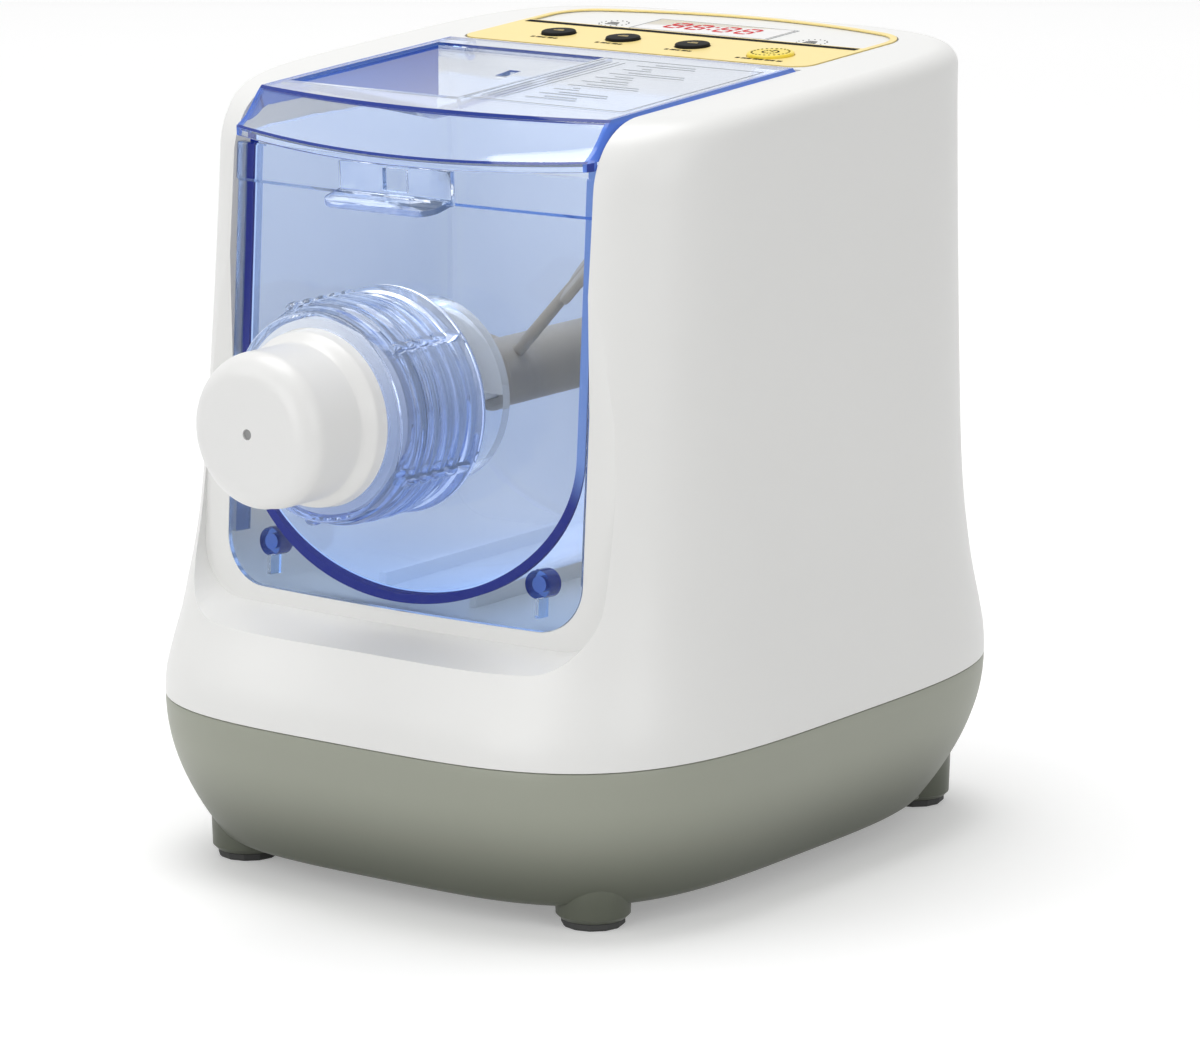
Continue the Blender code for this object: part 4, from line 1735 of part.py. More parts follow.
def make_base_fittings(machine, top, look):
    """Power board, power inlet, case screws and the lid switch."""
    bm = bmesh.new()
    low = POWER_BOARD_HEIGHT
    block(
        bm, (POWER_BOARD_LEFT, -POWER_BOARD_FRONT_REACH, low),
        (POWER_BOARD_RIGHT, POWER_BOARD_REAR, low + BOARD_THICKNESS),
    )
    board = solid("power_board", bm, machine, look["board"])
    bm = bmesh.new()
    middle = (POWER_BOARD_LEFT + POWER_BOARD_RIGHT) / 2
    length = POWER_BOARD_REAR + POWER_BOARD_FRONT_REACH
    for share, height_share in POWER_PART_SHARES:
        corner = Vector((middle - POWER_PART_WIDTH / 2, length * share - POWER_BOARD_FRONT_REACH, low))
        height = BOARD_THICKNESS + POWER_PART_HEIGHT * height_share
        block(
            bm, corner + Vector((0, 0, BOARD_THICKNESS / 2)),
            corner + Vector((POWER_PART_WIDTH, POWER_PART_LENGTH, height)),
        )
    join(board, solid("power_parts", bm, machine))

    rear = inlet_seat() + GAP + INLET_FLANGE_THICKNESS
    bm = bmesh.new()
    inlet_block(bm, 0.0, rear - INLET_LENGTH, rear)
    inlet = solid("power_inlet", bm, machine, look["black"])
    bm = bmesh.new()
    inlet_block(bm, INLET_FLANGE, rear - INLET_FLANGE_THICKNESS, rear - BURIED / 4)
    join(inlet, solid("inlet_flange", bm, machine))
    bm = bmesh.new()
    block(
        bm,
        (
            INLET_OFFSET - INLET_SOCKET_HALF_WIDTH, rear - INLET_SOCKET_DEPTH,
            INLET_HEIGHT - INLET_SOCKET_HALF_HEIGHT,
        ),
        (INLET_OFFSET + INLET_SOCKET_HALF_WIDTH, rear + OVERRUN, INLET_HEIGHT + INLET_SOCKET_HALF_HEIGHT),
    )
    cut(inlet, solid("inlet_socket", bm, machine))
    bm = bmesh.new()
    for share, lift in ((-1, 0.0), (0, 1.0), (1, 0.0)):
        x = INLET_OFFSET + share * INLET_BLADE_SPACING
        z = INLET_HEIGHT + lift * INLET_BLADE_HEIGHT / 2 - INLET_BLADE_HEIGHT / 4
        block(
            bm, (x - INLET_BLADE_WIDTH / 2, rear - INLET_SOCKET_DEPTH - BURIED, z - INLET_BLADE_HEIGHT / 2),
            (x + INLET_BLADE_WIDTH / 2, rear - INLET_BLADE_SETBACK, z + INLET_BLADE_HEIGHT / 2),
        )
    join(inlet, solid("inlet_blades", bm, machine))

    for name, (x, y) in zip(CASE_SCREW_NAMES, CASE_SCREW_PLACES):
        head = CASE_SCREW_HEAD_LENGTH
        profile = [
            (0, CASE_SCREW_LENGTH - GAP), (CASE_SCREW_RADIUS, CASE_SCREW_LENGTH - GAP),
            (CASE_SCREW_RADIUS, 0),
            (CASE_SCREW_HEAD_RADIUS, 0), (CASE_SCREW_HEAD_RADIUS, -head), (0, -head),
        ]
        turned(
            name, profile, machine, look["steel"], (x, y, CASE_HEAD_HEIGHT - GAP), along_front=False,
            steps=FASTENER_SIDES,
        )

    width, depth, height = LID_SWITCH_SIZE
    bm = bmesh.new()
    high = -LEDGE_DEPTH - GAP
    inner = NOTCH_HALF_WIDTH + WELL_WALL + GAP
    block(
        bm, (inner, LID_REAR - depth, high - height - LEDGE_DEPTH),
        (inner + width, LID_REAR, high - LEDGE_DEPTH),
    )
    solid("lid_switch", bm, top, look["black"])


def build():
    clear_scene()
    look = make_materials()
    machine = frame("machine_frame", (0, MACHINE_SHIFT, 0))
    top = frame("top_frame", (0, 0, TOP_HEIGHT), machine, TOP_SLOPE)
    leaning = frame("front_frame", (0, -PLATE_REACH, NOTCH_FLOOR), machine, -FRONT_LEAN)
    axis = frame("nozzle_axis", (0, 0, AXIS_HEIGHT), machine)
    idler = frame("idler_frame", (0, 0, IDLER_HEIGHT), machine)
    rotor = frame("rotor_frame", (0, 0, MOTOR_HEIGHT), machine)
    hinge = frame("hinge_axis", (0, LID_REAR - HINGE_SETBACK, LID_PROUD - HINGE_DROP), top)
    make_housing(machine, top, leaning, look)
    make_base(machine, look)
    make_foot_pads(machine, look)
    make_front_plate(machine, leaning, look)
    make_trough(machine, top, leaning, look)
    make_die_cup(axis, look)
    make_ring_nut(axis, look)
    make_mixer(axis, look)
    make_idler(idler, machine, look)
    make_gearbox(machine, look)
    make_motor(machine, rotor, look)
    make_lid(hinge, top, look)
    make_panel(top, look)
    make_base_fittings(machine, top, look)


build()
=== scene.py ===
import math

import bmesh
import bpy
from mathutils import Matrix, Vector


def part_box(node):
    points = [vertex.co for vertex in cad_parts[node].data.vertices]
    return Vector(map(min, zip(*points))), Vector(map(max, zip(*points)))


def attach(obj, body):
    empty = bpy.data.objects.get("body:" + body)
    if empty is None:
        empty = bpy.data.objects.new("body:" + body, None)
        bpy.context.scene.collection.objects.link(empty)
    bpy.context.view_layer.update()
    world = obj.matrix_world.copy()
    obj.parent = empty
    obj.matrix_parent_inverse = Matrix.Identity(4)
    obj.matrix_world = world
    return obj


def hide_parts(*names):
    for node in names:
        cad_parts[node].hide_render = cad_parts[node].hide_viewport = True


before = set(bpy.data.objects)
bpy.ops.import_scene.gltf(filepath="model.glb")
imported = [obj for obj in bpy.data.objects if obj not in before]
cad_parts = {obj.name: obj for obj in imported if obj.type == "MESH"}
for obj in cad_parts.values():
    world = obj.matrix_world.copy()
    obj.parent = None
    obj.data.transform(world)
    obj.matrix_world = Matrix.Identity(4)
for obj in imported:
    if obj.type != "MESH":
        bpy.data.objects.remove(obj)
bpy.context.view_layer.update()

scene = bpy.context.scene

# ---------------------------------------------------------------------------------------------
# Studio: the camera at the photograph's angle, a pale floor that fills the view, an even white
# surround, and large soft lamps overhead, in front, to the front left and to the right.
BODY_CENTRE = Vector((0, 0.0274, 0))
VIEW_TARGET = BODY_CENTRE + Vector((0, 0, 0.150))
VIEW_AZIMUTH = math.radians(36.0)
VIEW_ELEVATION = math.radians(12.1)
VIEW_DISTANCE = 2.077
VIEW_RIGHT = 0.0055
VIEW_DOWN = 0.0309
LENS_MM = 167.4
SENSOR_MM = 36.0
SURROUND = 0.40
FLOOR_HALF = 7.0
FLOOR_GLOW = 0.26
FAR_GLOW = 0.50
FAR_FLOOR = 2.4
FLOOR_WHITE = (0.86, 0.86, 0.86)
OVERHEAD_WATTS = 21.0
KEY_WATTS = 8.0
FILL_WATTS = 11.0
SIDE_WATTS = 9.8
LIGHT_SIDE = 1.5


def add_object(name, data):
    thing = bpy.data.objects.new(name, data)
    scene.collection.objects.link(thing)
    return thing


def seen_directly(tree):
    """1 for what the camera sees itself, in gloss or through clear plastic, and 0 for the rest."""
    path = tree.nodes.new("ShaderNodeLightPath")
    first = tree.nodes.new("ShaderNodeMath")
    second = tree.nodes.new("ShaderNodeMath")
    for node in (first, second):
        node.operation = "MAXIMUM"
    tree.links.new(path.outputs["Is Camera Ray"], first.inputs[0])
    tree.links.new(path.outputs["Is Glossy Ray"], first.inputs[1])
    tree.links.new(first.outputs[0], second.inputs[0])
    tree.links.new(path.outputs["Is Transmission Ray"], second.inputs[1])
    return second.outputs[0]


def between(tree, factor, low, high):
    """A value that runs from low to high as the factor runs from 0 to 1."""
    node = tree.nodes.new("ShaderNodeMapRange")
    node.inputs["To Min"].default_value = low
    node.inputs["To Max"].default_value = high
    tree.links.new(factor, node.inputs["Value"])
    return node.outputs["Result"]


back = Vector((
    math.sin(VIEW_AZIMUTH) * math.cos(VIEW_ELEVATION),
    -math.cos(VIEW_AZIMUTH) * math.cos(VIEW_ELEVATION),
    math.sin(VIEW_ELEVATION),
))
right = Vector((math.cos(VIEW_AZIMUTH), math.sin(VIEW_AZIMUTH), 0))
up = back.cross(right)
camera = add_object("camera", bpy.data.cameras.new("camera"))
camera.data.sensor_width = SENSOR_MM
camera.data.lens = LENS_MM
camera.data.clip_end = FLOOR_HALF * 4
eye = VIEW_TARGET + back * VIEW_DISTANCE + right * VIEW_RIGHT - up * VIEW_DOWN
camera.matrix_world = Matrix.Translation(eye) @ Matrix((right, up, back)).transposed().to_4x4()
scene.camera = camera
scene.view_settings.view_transform = "Standard"

world = bpy.data.worlds.new("surround")
world.use_nodes = True
scene.world = world
surround = world.node_tree.nodes["Background"]
surround.inputs["Color"].default_value = (1, 1, 1, 1)
strength = between(world.node_tree, seen_directly(world.node_tree), SURROUND, 1.0)
world.node_tree.links.new(strength, surround.inputs["Strength"])

bm = bmesh.new()
bmesh.ops.create_grid(bm, x_segments=1, y_segments=1, size=FLOOR_HALF)
floor_mesh = bpy.data.meshes.new("floor")
bm.to_mesh(floor_mesh)
bm.free()
floor = add_object("floor", floor_mesh)
floor_look = bpy.data.materials.new("studio_floor")
floor_look.use_nodes = True
shader = floor_look.node_tree.nodes["Principled BSDF"]
shader.inputs["Base Color"].default_value = (*FLOOR_WHITE, 1)
shader.inputs["Roughness"].default_value = 0.7
shader.inputs["Specular IOR Level"].default_value = 0.2
shader.inputs["Emission Color"].default_value = (1, 1, 1, 1)
floor_tree = floor_look.node_tree
distance = floor_tree.nodes.new("ShaderNodeVectorMath")
distance.operation = "LENGTH"
floor_place = floor_tree.nodes.new("ShaderNodeTexCoord").outputs["Object"]
floor_tree.links.new(floor_place, distance.inputs[0])
reach = floor_tree.nodes.new("ShaderNodeMath")
reach.operation = "DIVIDE"
reach.inputs[1].default_value = FAR_FLOOR
floor_tree.links.new(distance.outputs["Value"], reach.inputs[0])
glow = floor_tree.nodes.new("ShaderNodeMath")
glow.operation = "MULTIPLY"
floor_tree.links.new(seen_directly(floor_tree), glow.inputs[0])
floor_tree.links.new(between(floor_tree, reach.outputs[0], FLOOR_GLOW, FAR_GLOW), glow.inputs[1])
floor_tree.links.new(glow.outputs[0], shader.inputs["Emission Strength"])
floor_mesh.materials.append(floor_look)

for name, watts, place in (
    ("overhead", OVERHEAD_WATTS, Vector((-0.3, 0.1, 2.0))),
    ("front_left", KEY_WATTS, Vector((-1.5, -1.9, 1.3))),
    ("front", FILL_WATTS, Vector((0.1, -2.3, 0.75))),
    ("right", SIDE_WATTS, Vector((2.3, -0.5, 0.9))),
):
    light = bpy.data.lights.new(name, "AREA")
    light.shape = "DISK"
    light.size = LIGHT_SIDE
    light.energy = watts
    lamp = add_object(name, light)
    aim = (VIEW_TARGET - place).to_track_quat("-Z", "Y")
    lamp.matrix_world = Matrix.Translation(place) @ aim.to_matrix().to_4x4()

# ---------------------------------------------------------------------------------------------
# Base: an injection-moulded sage-grey tray of superellipse plan that tucks in towards the table,
# with four stub feet, two rows of cooling slots underneath and a pocket for the mains inlet.
GAP = 0.0003
BURIED = 0.0012
OVERRUN = 0.012
MERGE = 0.000001
BODY_HALF_WIDTH = 0.1105
BODY_FRONT = 0.1222
BODY_REAR = 0.1230
FLARE_SIDE = 0.0125
FLARE_FRONT = 0.0252
FLARE_REAR = 0.0190
FLARED_CORNER = 3.7
PARTING_HEIGHT = 0.0625
BASE_UNDERSIDE = 0.008
BASE_TUCK_SIDE = 0.018
BASE_TUCK_FRONT = 0.020
BASE_TUCK_REAR = 0.028
BASE_WALL = 0.0026
BODY_COLUMNS = 176
BASE_ROWS = 16
INNER_COLUMNS = 72
INNER_ROWS = 8
BASE_EDGE_RADIUS = 0.0035
PARTING_EDGE_RADIUS = 0.0007
FOOT_HALF_SPACING = 0.0790
FOOT_FRONT_REACH = 0.1035
FOOT_REAR = 0.1060
FOOT_RADIUS = 0.0140
FOOT_TOP = 0.0240
FOOT_CHAMFER = 0.0022
FOOT_CHAMFER_HEIGHT = 0.0016
FOOT_DRAFT = 0.0006
PAD_HEIGHT = 0.0026
VENT_COLUMNS = 5
VENT_SPACING = 0.0140
VENT_WIDTH = 0.0045
VENT_LENGTH = 0.0380
VENT_MIDDLES = (-0.030, 0.020)
INLET_OFFSET = -0.0500
INLET_HEIGHT = 0.0380
INLET_HALF_WIDTH = 0.0135
INLET_HALF_HEIGHT = 0.0100
INLET_MARGIN = 0.0060
SCREW_PLACES = ((-0.094, -0.070), (0.094, -0.070), (-0.092, 0.078), (0.092, 0.078))
SCREW_HOLE_RADIUS = 0.0021
SCREW_HEAD_HOLE_RADIUS = 0.0039
SCREW_HEAD_HEIGHT = 0.0460
BOSS_RADIUS = 0.0060
SMALL_HOLE_SIDES = 16
HOLE_SIDES = 24
FINE_SIDES = 64
SAGE_SHADE_TOP = 0.8
SAGE = (0.315, 0.328, 0.270)
SAGE_PAINTED_SHADE = (0.088, 0.097, 0.070)

IN_BODY = Matrix.Translation(BODY_CENTRE)


def node_group(name, inputs, outputs):
    """An empty shader group: inputs as (name, kind, value), outputs as (name, kind)."""
    tree = bpy.data.node_groups.new(name, "ShaderNodeTree")
    for label, kind, value in inputs:
        socket = tree.interface.new_socket(label, in_out="INPUT", socket_type="NodeSocket" + kind)
        socket.default_value = value
    for label, kind in outputs:
        tree.interface.new_socket(label, in_out="OUTPUT", socket_type="NodeSocket" + kind)
    return tree, tree.nodes.new("NodeGroupInput"), tree.nodes.new("NodeGroupOutput")


def math_node(tree, operation, *values):
    node = tree.nodes.new("ShaderNodeMath")
    node.operation = operation
    for socket, value in zip(node.inputs, values):
        if isinstance(value, bpy.types.NodeSocket):
            tree.links.new(value, socket)
        else:
            socket.default_value = value
    return node.outputs[0]


def noise_node(tree, vector, scale, detail=2.0):
    node = tree.nodes.new("ShaderNodeTexNoise")
    node.inputs["Detail"].default_value = detail
    if isinstance(scale, bpy.types.NodeSocket):
        tree.links.new(scale, node.inputs["Scale"])
    else:
        node.inputs["Scale"].default_value = scale
    tree.links.new(vector, node.inputs["Vector"])
    return node.outputs["Fac"]


def make_moulded_group():
    """Moulded plastic: slow drifts of tone and polish, and the fine grain of the mould."""
    tree, given, result = node_group(
        "moulded_plastic",
        [("Colour", "Color", (1, 1, 1, 1)), ("Drift", "Float", 0.02), ("Roughness", "Float", 0.3),
         ("Polish Drift", "Float", 0.06), ("Grain Scale", "Float", 1500.0)],
        [("Colour", "Color"), ("Roughness", "Float"), ("Height", "Float")],
    )
    place = tree.nodes.new("ShaderNodeTexCoord").outputs["Object"]
    drift = math_node(tree, "SUBTRACT", noise_node(tree, place, 14.0), 0.5)
    drift = math_node(tree, "MULTIPLY", drift, given.outputs["Drift"])
    tone = tree.nodes.new("ShaderNodeVectorMath")
    tone.operation = "SCALE"
    tree.links.new(given.outputs["Colour"], tone.inputs[0])
    tree.links.new(math_node(tree, "MULTIPLY_ADD", drift, 2.0, 1.0), tone.inputs["Scale"])
    tree.links.new(tone.outputs[0], result.inputs["Colour"])
    polish = math_node(tree, "SUBTRACT", noise_node(tree, place, 55.0, 3.0), 0.5)
    rough, wander = given.outputs["Roughness"], given.outputs["Polish Drift"]
    polish = math_node(tree, "MULTIPLY_ADD", polish, wander, rough)
    tree.links.new(polish, result.inputs["Roughness"])
    grain = noise_node(tree, place, given.outputs["Grain Scale"], 2.0)
    tree.links.new(grain, result.inputs["Height"])
    return tree


MOULDED_GROUP = make_moulded_group()


def moulded(
    name, colour, roughness, grain_depth=0.000012, group=MOULDED_GROUP, settings=None, **constants
):
    """A material whose colour, roughness and relief come from a group, the rest from the shader."""
    material = bpy.data.materials.new(name)
    material.use_nodes = True
    tree = material.node_tree
    shader = tree.nodes["Principled BSDF"]
    surface = tree.nodes.new("ShaderNodeGroup")
    surface.node_tree = group
    surface.inputs["Colour"].default_value = (*colour, 1)
    surface.inputs["Roughness"].default_value = roughness
    for label, value in (settings or {}).items():
        surface.inputs[label].default_value = value
    relief = tree.nodes.new("ShaderNodeBump")
    relief.inputs["Distance"].default_value = grain_depth
    tree.links.new(surface.outputs["Colour"], shader.inputs["Base Color"])
    tree.links.new(surface.outputs["Roughness"], shader.inputs["Roughness"])
    tree.links.new(surface.outputs["Height"], relief.inputs["Height"])
    tree.links.new(relief.outputs["Normal"], shader.inputs["Normal"])
    for label, value in constants.items():
        shader.inputs[label.replace("_", " ")].default_value = value
    return material


def make_gather_group():
    """Deepens a colour from a start point along a run, as light and shade gather in one place."""
    tree, given, result = node_group(
        "gathered_tone",
        [("Colour", "Color", (1, 1, 1, 1)), ("Deep Colour", "Color", (0, 0, 0, 1)),
         ("Start", "Vector", (0, 0, 0)), ("Run", "Vector", (0, 0, 1))],
        [("Colour", "Color")],
    )
    offset = tree.nodes.new("ShaderNodeVectorMath")
    offset.operation = "SUBTRACT"
    tree.links.new(tree.nodes.new("ShaderNodeTexCoord").outputs["Object"], offset.inputs[0])
    tree.links.new(given.outputs["Start"], offset.inputs[1])
    along = tree.nodes.new("ShaderNodeVectorMath")
    along.operation = "DOT_PRODUCT"
    tree.links.new(offset.outputs["Vector"], along.inputs[0])
    tree.links.new(given.outputs["Run"], along.inputs[1])
    eased = tree.nodes.new("ShaderNodeMapRange")
    eased.interpolation_type = "SMOOTHSTEP"
    tree.links.new(along.outputs["Value"], eased.inputs["Value"])
    mix = tree.nodes.new("ShaderNodeMix")
    mix.data_type = "RGBA"
    tree.links.new(eased.outputs["Result"], mix.inputs["Factor"])
    tree.links.new(given.outputs["Colour"], mix.inputs["A"])
    tree.links.new(given.outputs["Deep Colour"], mix.inputs["B"])
    tree.links.new(mix.outputs["Result"], result.inputs["Colour"])
    return tree


GATHER_GROUP = make_gather_group()


def gather(material, deep, start, end):
    """Paints light and shade into a material: runs its colour into a deeper one between two points.
    """
    tree = material.node_tree
    target = tree.nodes["Principled BSDF"].inputs["Base Color"]
    surface = tree.nodes.new("ShaderNodeGroup")
    surface.node_tree = GATHER_GROUP
    run = Vector(end) - Vector(start)
    surface.inputs["Deep Colour"].default_value = (*deep, 1)
    surface.inputs["Start"].default_value = start
    surface.inputs["Run"].default_value = run / run.length_squared
    tree.links.new(target.links[0].from_socket, surface.inputs["Colour"])
    tree.links.new(surface.outputs["Colour"], target)


def squircle(angle, half_width, front, rear, front_corner, rear_corner):
    """The point of a superellipse plan that lies in the direction of an angle from its middle."""
    c, s = math.cos(angle), math.sin(angle)
    depth = (rear + front) / 2
    corner = rear_corner if s > 0 else front_corner
    reach = (abs(c / half_width) ** corner + abs(s / depth) ** corner) ** (-1 / corner)
    return reach * c, (rear - front) / 2 + reach * s


def skin(bm, columns, rows, surface):
    """A grid bent to a surface, which gives a point for u across and v along, both from 0 to 1."""
    grid = bmesh.ops.create_grid(bm, x_segments=columns, y_segments=rows, size=1.0)
    for vert in grid["verts"]:
        vert.co = surface((vert.co.x + 1) / 2, (vert.co.y + 1) / 2)
    bmesh.ops.remove_doubles(bm, verts=grid["verts"], dist=MERGE)


def close(bm):
    bmesh.ops.holes_fill(bm, edges=[edge for edge in bm.edges if edge.is_boundary])
    return bm


def block(bm, low, high):
    """A box between two corners."""
    low, high = Vector(low), Vector(high)
    place = Matrix.Translation((low + high) / 2) @ Matrix.Diagonal((*(high - low), 1))
    bmesh.ops.create_cube(bm, size=1.0, matrix=place)
    return bm


def rod(bm, radius, start, end, sides=48, end_radius=None):
    """A round bar or cone between two points."""
    start, run = Vector(start), Vector(end) - Vector(start)
    turn = run.to_track_quat("Z", "Y").to_matrix().to_4x4()
    bmesh.ops.create_cone(
        bm, cap_ends=True, segments=sides, radius1=radius,
        radius2=radius if end_radius is None else end_radius,
        depth=run.length, matrix=Matrix.Translation(start + run / 2) @ turn,
    )
    return bm


def posts(places, radius, low, high, sides):
    """Upright round bars at a list of places."""
    bm = bmesh.new()
    for x, y in places:
        rod(bm, radius, (x, y, low), (x, y, high), sides)
    return bm


def mesh_piece(bm, name, *looks, place=None):
    """The finished object of a bmesh, moved into place, with its faces pointing outwards."""
    if place is not None:
        bm.transform(place)
    bmesh.ops.recalc_face_normals(bm, faces=bm.faces)
    mesh = bpy.data.meshes.new(name)
    bm.to_mesh(mesh)
    bm.free()
    for look in looks:
        mesh.materials.append(look)
    return add_object(name, mesh)


def taken(piece):
    """The bmesh of a helper piece, which is used up."""
    bm = bmesh.new()
    bm.from_mesh(piece.data)
    bpy.data.objects.remove(piece)
    return bm


def apply_modifiers(piece):
    """Gives a piece the mesh that its modifiers show."""
    bpy.context.view_layer.update()
    shown = piece.evaluated_get(bpy.context.evaluated_depsgraph_get())
    shaped = bpy.data.meshes.new_from_object(shown)
    piece.modifiers.clear()
    piece.data = shaped


def combine(piece, tool, place=IN_BODY, operation="DIFFERENCE"):
    """Cuts, joins or intersects a piece with a tool, which is used up."""
    cutter = mesh_piece(tool, "tool", place=place)
    modifier = piece.modifiers.new("shape", "BOOLEAN")
    modifier.operation = operation
    modifier.solver = "EXACT"
    modifier.object = cutter
    apply_modifiers(piece)
    bpy.data.objects.remove(cutter)


def soften(piece, radius, chosen, segments=2, angle=math.radians(35)):
    """Rounds the chosen sharp edges of a piece."""
    bm = bmesh.new()
    bm.from_mesh(piece.data)
    bmesh.ops.remove_doubles(bm, verts=bm.verts, dist=MERGE * 10)
    edges = [
        edge for edge in bm.edges
        if edge.is_manifold and edge.calc_face_angle(0) > angle
        and chosen(*(vert.co for vert in edge.verts))
    ]
    bmesh.ops.bevel(
        bm, geom=edges, offset=radius, affect="EDGES", segments=segments, profile=0.5, material=-1,
        clamp_overlap=True,
    )
    bm.to_mesh(piece.data)
    bm.free()


def shade(piece, degrees=32):
    """Smooth shading that keeps real edges crisp."""
    piece.data.shade_smooth()
    piece.data.set_sharp_from_angle(angle=math.radians(degrees))


def base_point(angle, height, wall):
    tuck = ((PARTING_HEIGHT - height) / (PARTING_HEIGHT - BASE_UNDERSIDE)) ** 2
    x, y = squircle(
        angle, BODY_HALF_WIDTH + FLARE_SIDE - BASE_TUCK_SIDE * tuck - wall,
        BODY_FRONT + FLARE_FRONT - BASE_TUCK_FRONT * tuck - wall,
        BODY_REAR + FLARE_REAR - BASE_TUCK_REAR * tuck - wall, FLARED_CORNER, FLARED_CORNER,
    )
    return Vector((x, y, height))


def base_form(wall, low, high, columns, rows):
    """The tray's solid outline between two heights, set in by a wall."""
    bm = bmesh.new()
    skin(bm, columns, rows, lambda u, v: base_point(math.tau * u, low + (high - low) * v, wall))
    return close(bm)


sage = moulded("sage_plastic", SAGE, 0.42, settings={"Drift": 0.03})
# Painted shade: the sage darkens towards the underside, from just below the parting line down.
gather(sage, SAGE_PAINTED_SHADE, (0, 0, PARTING_HEIGHT * SAGE_SHADE_TOP), (0, 0, BASE_UNDERSIDE))
form = base_form(0.0, BASE_UNDERSIDE, PARTING_HEIGHT, BODY_COLUMNS, BASE_ROWS)
base = mesh_piece(form, "base_tray", sage, place=IN_BODY)
soften(base, BASE_EDGE_RADIUS, lambda a, b: a.z < BASE_UNDERSIDE + MERGE, 4)
bm = bmesh.new()
sole, ankle = PAD_HEIGHT + GAP, PAD_HEIGHT + GAP + FOOT_CHAMFER_HEIGHT
heel = FOOT_RADIUS - FOOT_DRAFT
for x in (-FOOT_HALF_SPACING, FOOT_HALF_SPACING):
    for y in (-FOOT_FRONT_REACH, FOOT_REAR):
        rod(bm, FOOT_RADIUS - FOOT_CHAMFER, (x, y, sole), (x, y, ankle), FINE_SIDES, heel)
        rod(bm, heel, (x, y, ankle), (x, y, FOOT_TOP), FINE_SIDES, FOOT_RADIUS)
bmesh.ops.remove_doubles(bm, verts=bm.verts, dist=MERGE)
combine(base, bm, operation="UNION")
floor_height, over = BASE_UNDERSIDE + BASE_WALL, PARTING_HEIGHT + OVERRUN
combine(base, base_form(BASE_WALL, floor_height, over, INNER_COLUMNS, INNER_ROWS))
boss_low, boss_high = BASE_UNDERSIDE + BURIED, PARTING_HEIGHT - BURIED
bosses = posts(SCREW_PLACES, BOSS_RADIUS, boss_low, boss_high, HOLE_SIDES)
combine(base, bosses, operation="UNION")
bm = bmesh.new()
for x, y in SCREW_PLACES:
    rod(bm, SCREW_HOLE_RADIUS, (x, y, 0), (x, y, over), SMALL_HOLE_SIDES)
    rod(bm, SCREW_HEAD_HOLE_RADIUS, (x, y, 0), (x, y, SCREW_HEAD_HEIGHT), HOLE_SIDES)
combine(base, bm)
bm = bmesh.new()
for middle in VENT_MIDDLES:
    for column in range(VENT_COLUMNS):
        x = VENT_SPACING * (column - (VENT_COLUMNS - 1) / 2)
        half = Vector((VENT_WIDTH / 2, VENT_LENGTH / 2, 0))
        block(bm, Vector((x, middle, 0)) - half, Vector((x, middle, BASE_UNDERSIDE * 2)) + half)
combine(base, bm)
seat_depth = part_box("power_inlet")[1].y - BODY_CENTRE.y - BURIED * 2
reach = Vector((INLET_HALF_WIDTH + INLET_MARGIN, 0, INLET_HALF_HEIGHT + INLET_MARGIN))
middle = Vector((INLET_OFFSET, 0, INLET_HEIGHT))
wall = Vector((BASE_WALL, 0, BASE_WALL))
behind = Vector((0, BODY_REAR * 2, 0))
form = base_form(
    BASE_WALL - BURIED, BASE_UNDERSIDE + BURIED, PARTING_HEIGHT, INNER_COLUMNS, INNER_ROWS,
)
walls = mesh_piece(form, "inlet_walls")
seat = Vector((0, seat_depth, 0))
front_corner = middle - reach - wall + Vector((0, seat_depth - BASE_WALL, 0))
rear_corner = middle + reach + wall + behind
combine(walls, block(bmesh.new(), front_corner, rear_corner), Matrix(), "INTERSECT")
combine(base, taken(walls), operation="UNION")
combine(base, block(bmesh.new(), middle - reach + seat, middle + reach + behind))
hole = Vector((INLET_HALF_WIDTH + GAP, OVERRUN, INLET_HALF_HEIGHT + GAP))
combine(base, block(bmesh.new(), middle - hole + seat, middle + hole + seat))
soften(base, PARTING_EDGE_RADIUS, lambda a, b: min(a.z, b.z) > PARTING_HEIGHT - MERGE)
shade(base)
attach(base, "machine")
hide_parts("base_shell")

# ---------------------------------------------------------------------------------------------
# Feet and case screws: turned rubber pads glued under the stub feet, and four steel screws that
# hold the base to the housing from below.
RUBBER = (0.055, 0.056, 0.055)
STEEL = (0.56, 0.56, 0.57)


def make_brushed_group():
    """Drawn or turned metal: fine streaks along X and a slow change of polish."""
    tree, given, result = node_group(
        "brushed_metal",
        [("Colour", "Color", (1, 1, 1, 1)), ("Roughness", "Float", 0.3),
         ("Streak Scale", "Float", 900.0)],
        [("Colour", "Color"), ("Roughness", "Float"), ("Height", "Float")],
    )
    place = tree.nodes.new("ShaderNodeTexCoord").outputs["Object"]
    stretch = tree.nodes.new("ShaderNodeMapping")
    stretch.inputs["Scale"].default_value = (0.05, 1.0, 1.0)
    tree.links.new(place, stretch.inputs["Vector"])
    streaks = noise_node(tree, stretch.outputs["Vector"], given.outputs["Streak Scale"], 3.0)
    tone = tree.nodes.new("ShaderNodeVectorMath")
    tone.operation = "SCALE"
    tree.links.new(given.outputs["Colour"], tone.inputs[0])
    tree.links.new(math_node(tree, "MULTIPLY_ADD", streaks, 0.24, 0.88), tone.inputs["Scale"])
    tree.links.new(tone.outputs[0], result.inputs["Colour"])
    rough = math_node(tree, "MULTIPLY_ADD", streaks, 0.18, given.outputs["Roughness"])
    tree.links.new(rough, result.inputs["Roughness"])
    tree.links.new(streaks, result.inputs["Height"])
    return tree


BRUSHED_GROUP = make_brushed_group()


def dress(look, slot, *nodes):
    """Gives CAD nodes whose shape is right a finished material."""
    for name in nodes:
        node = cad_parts[name]
        node.data.materials.clear()
        node.data.materials.append(look)


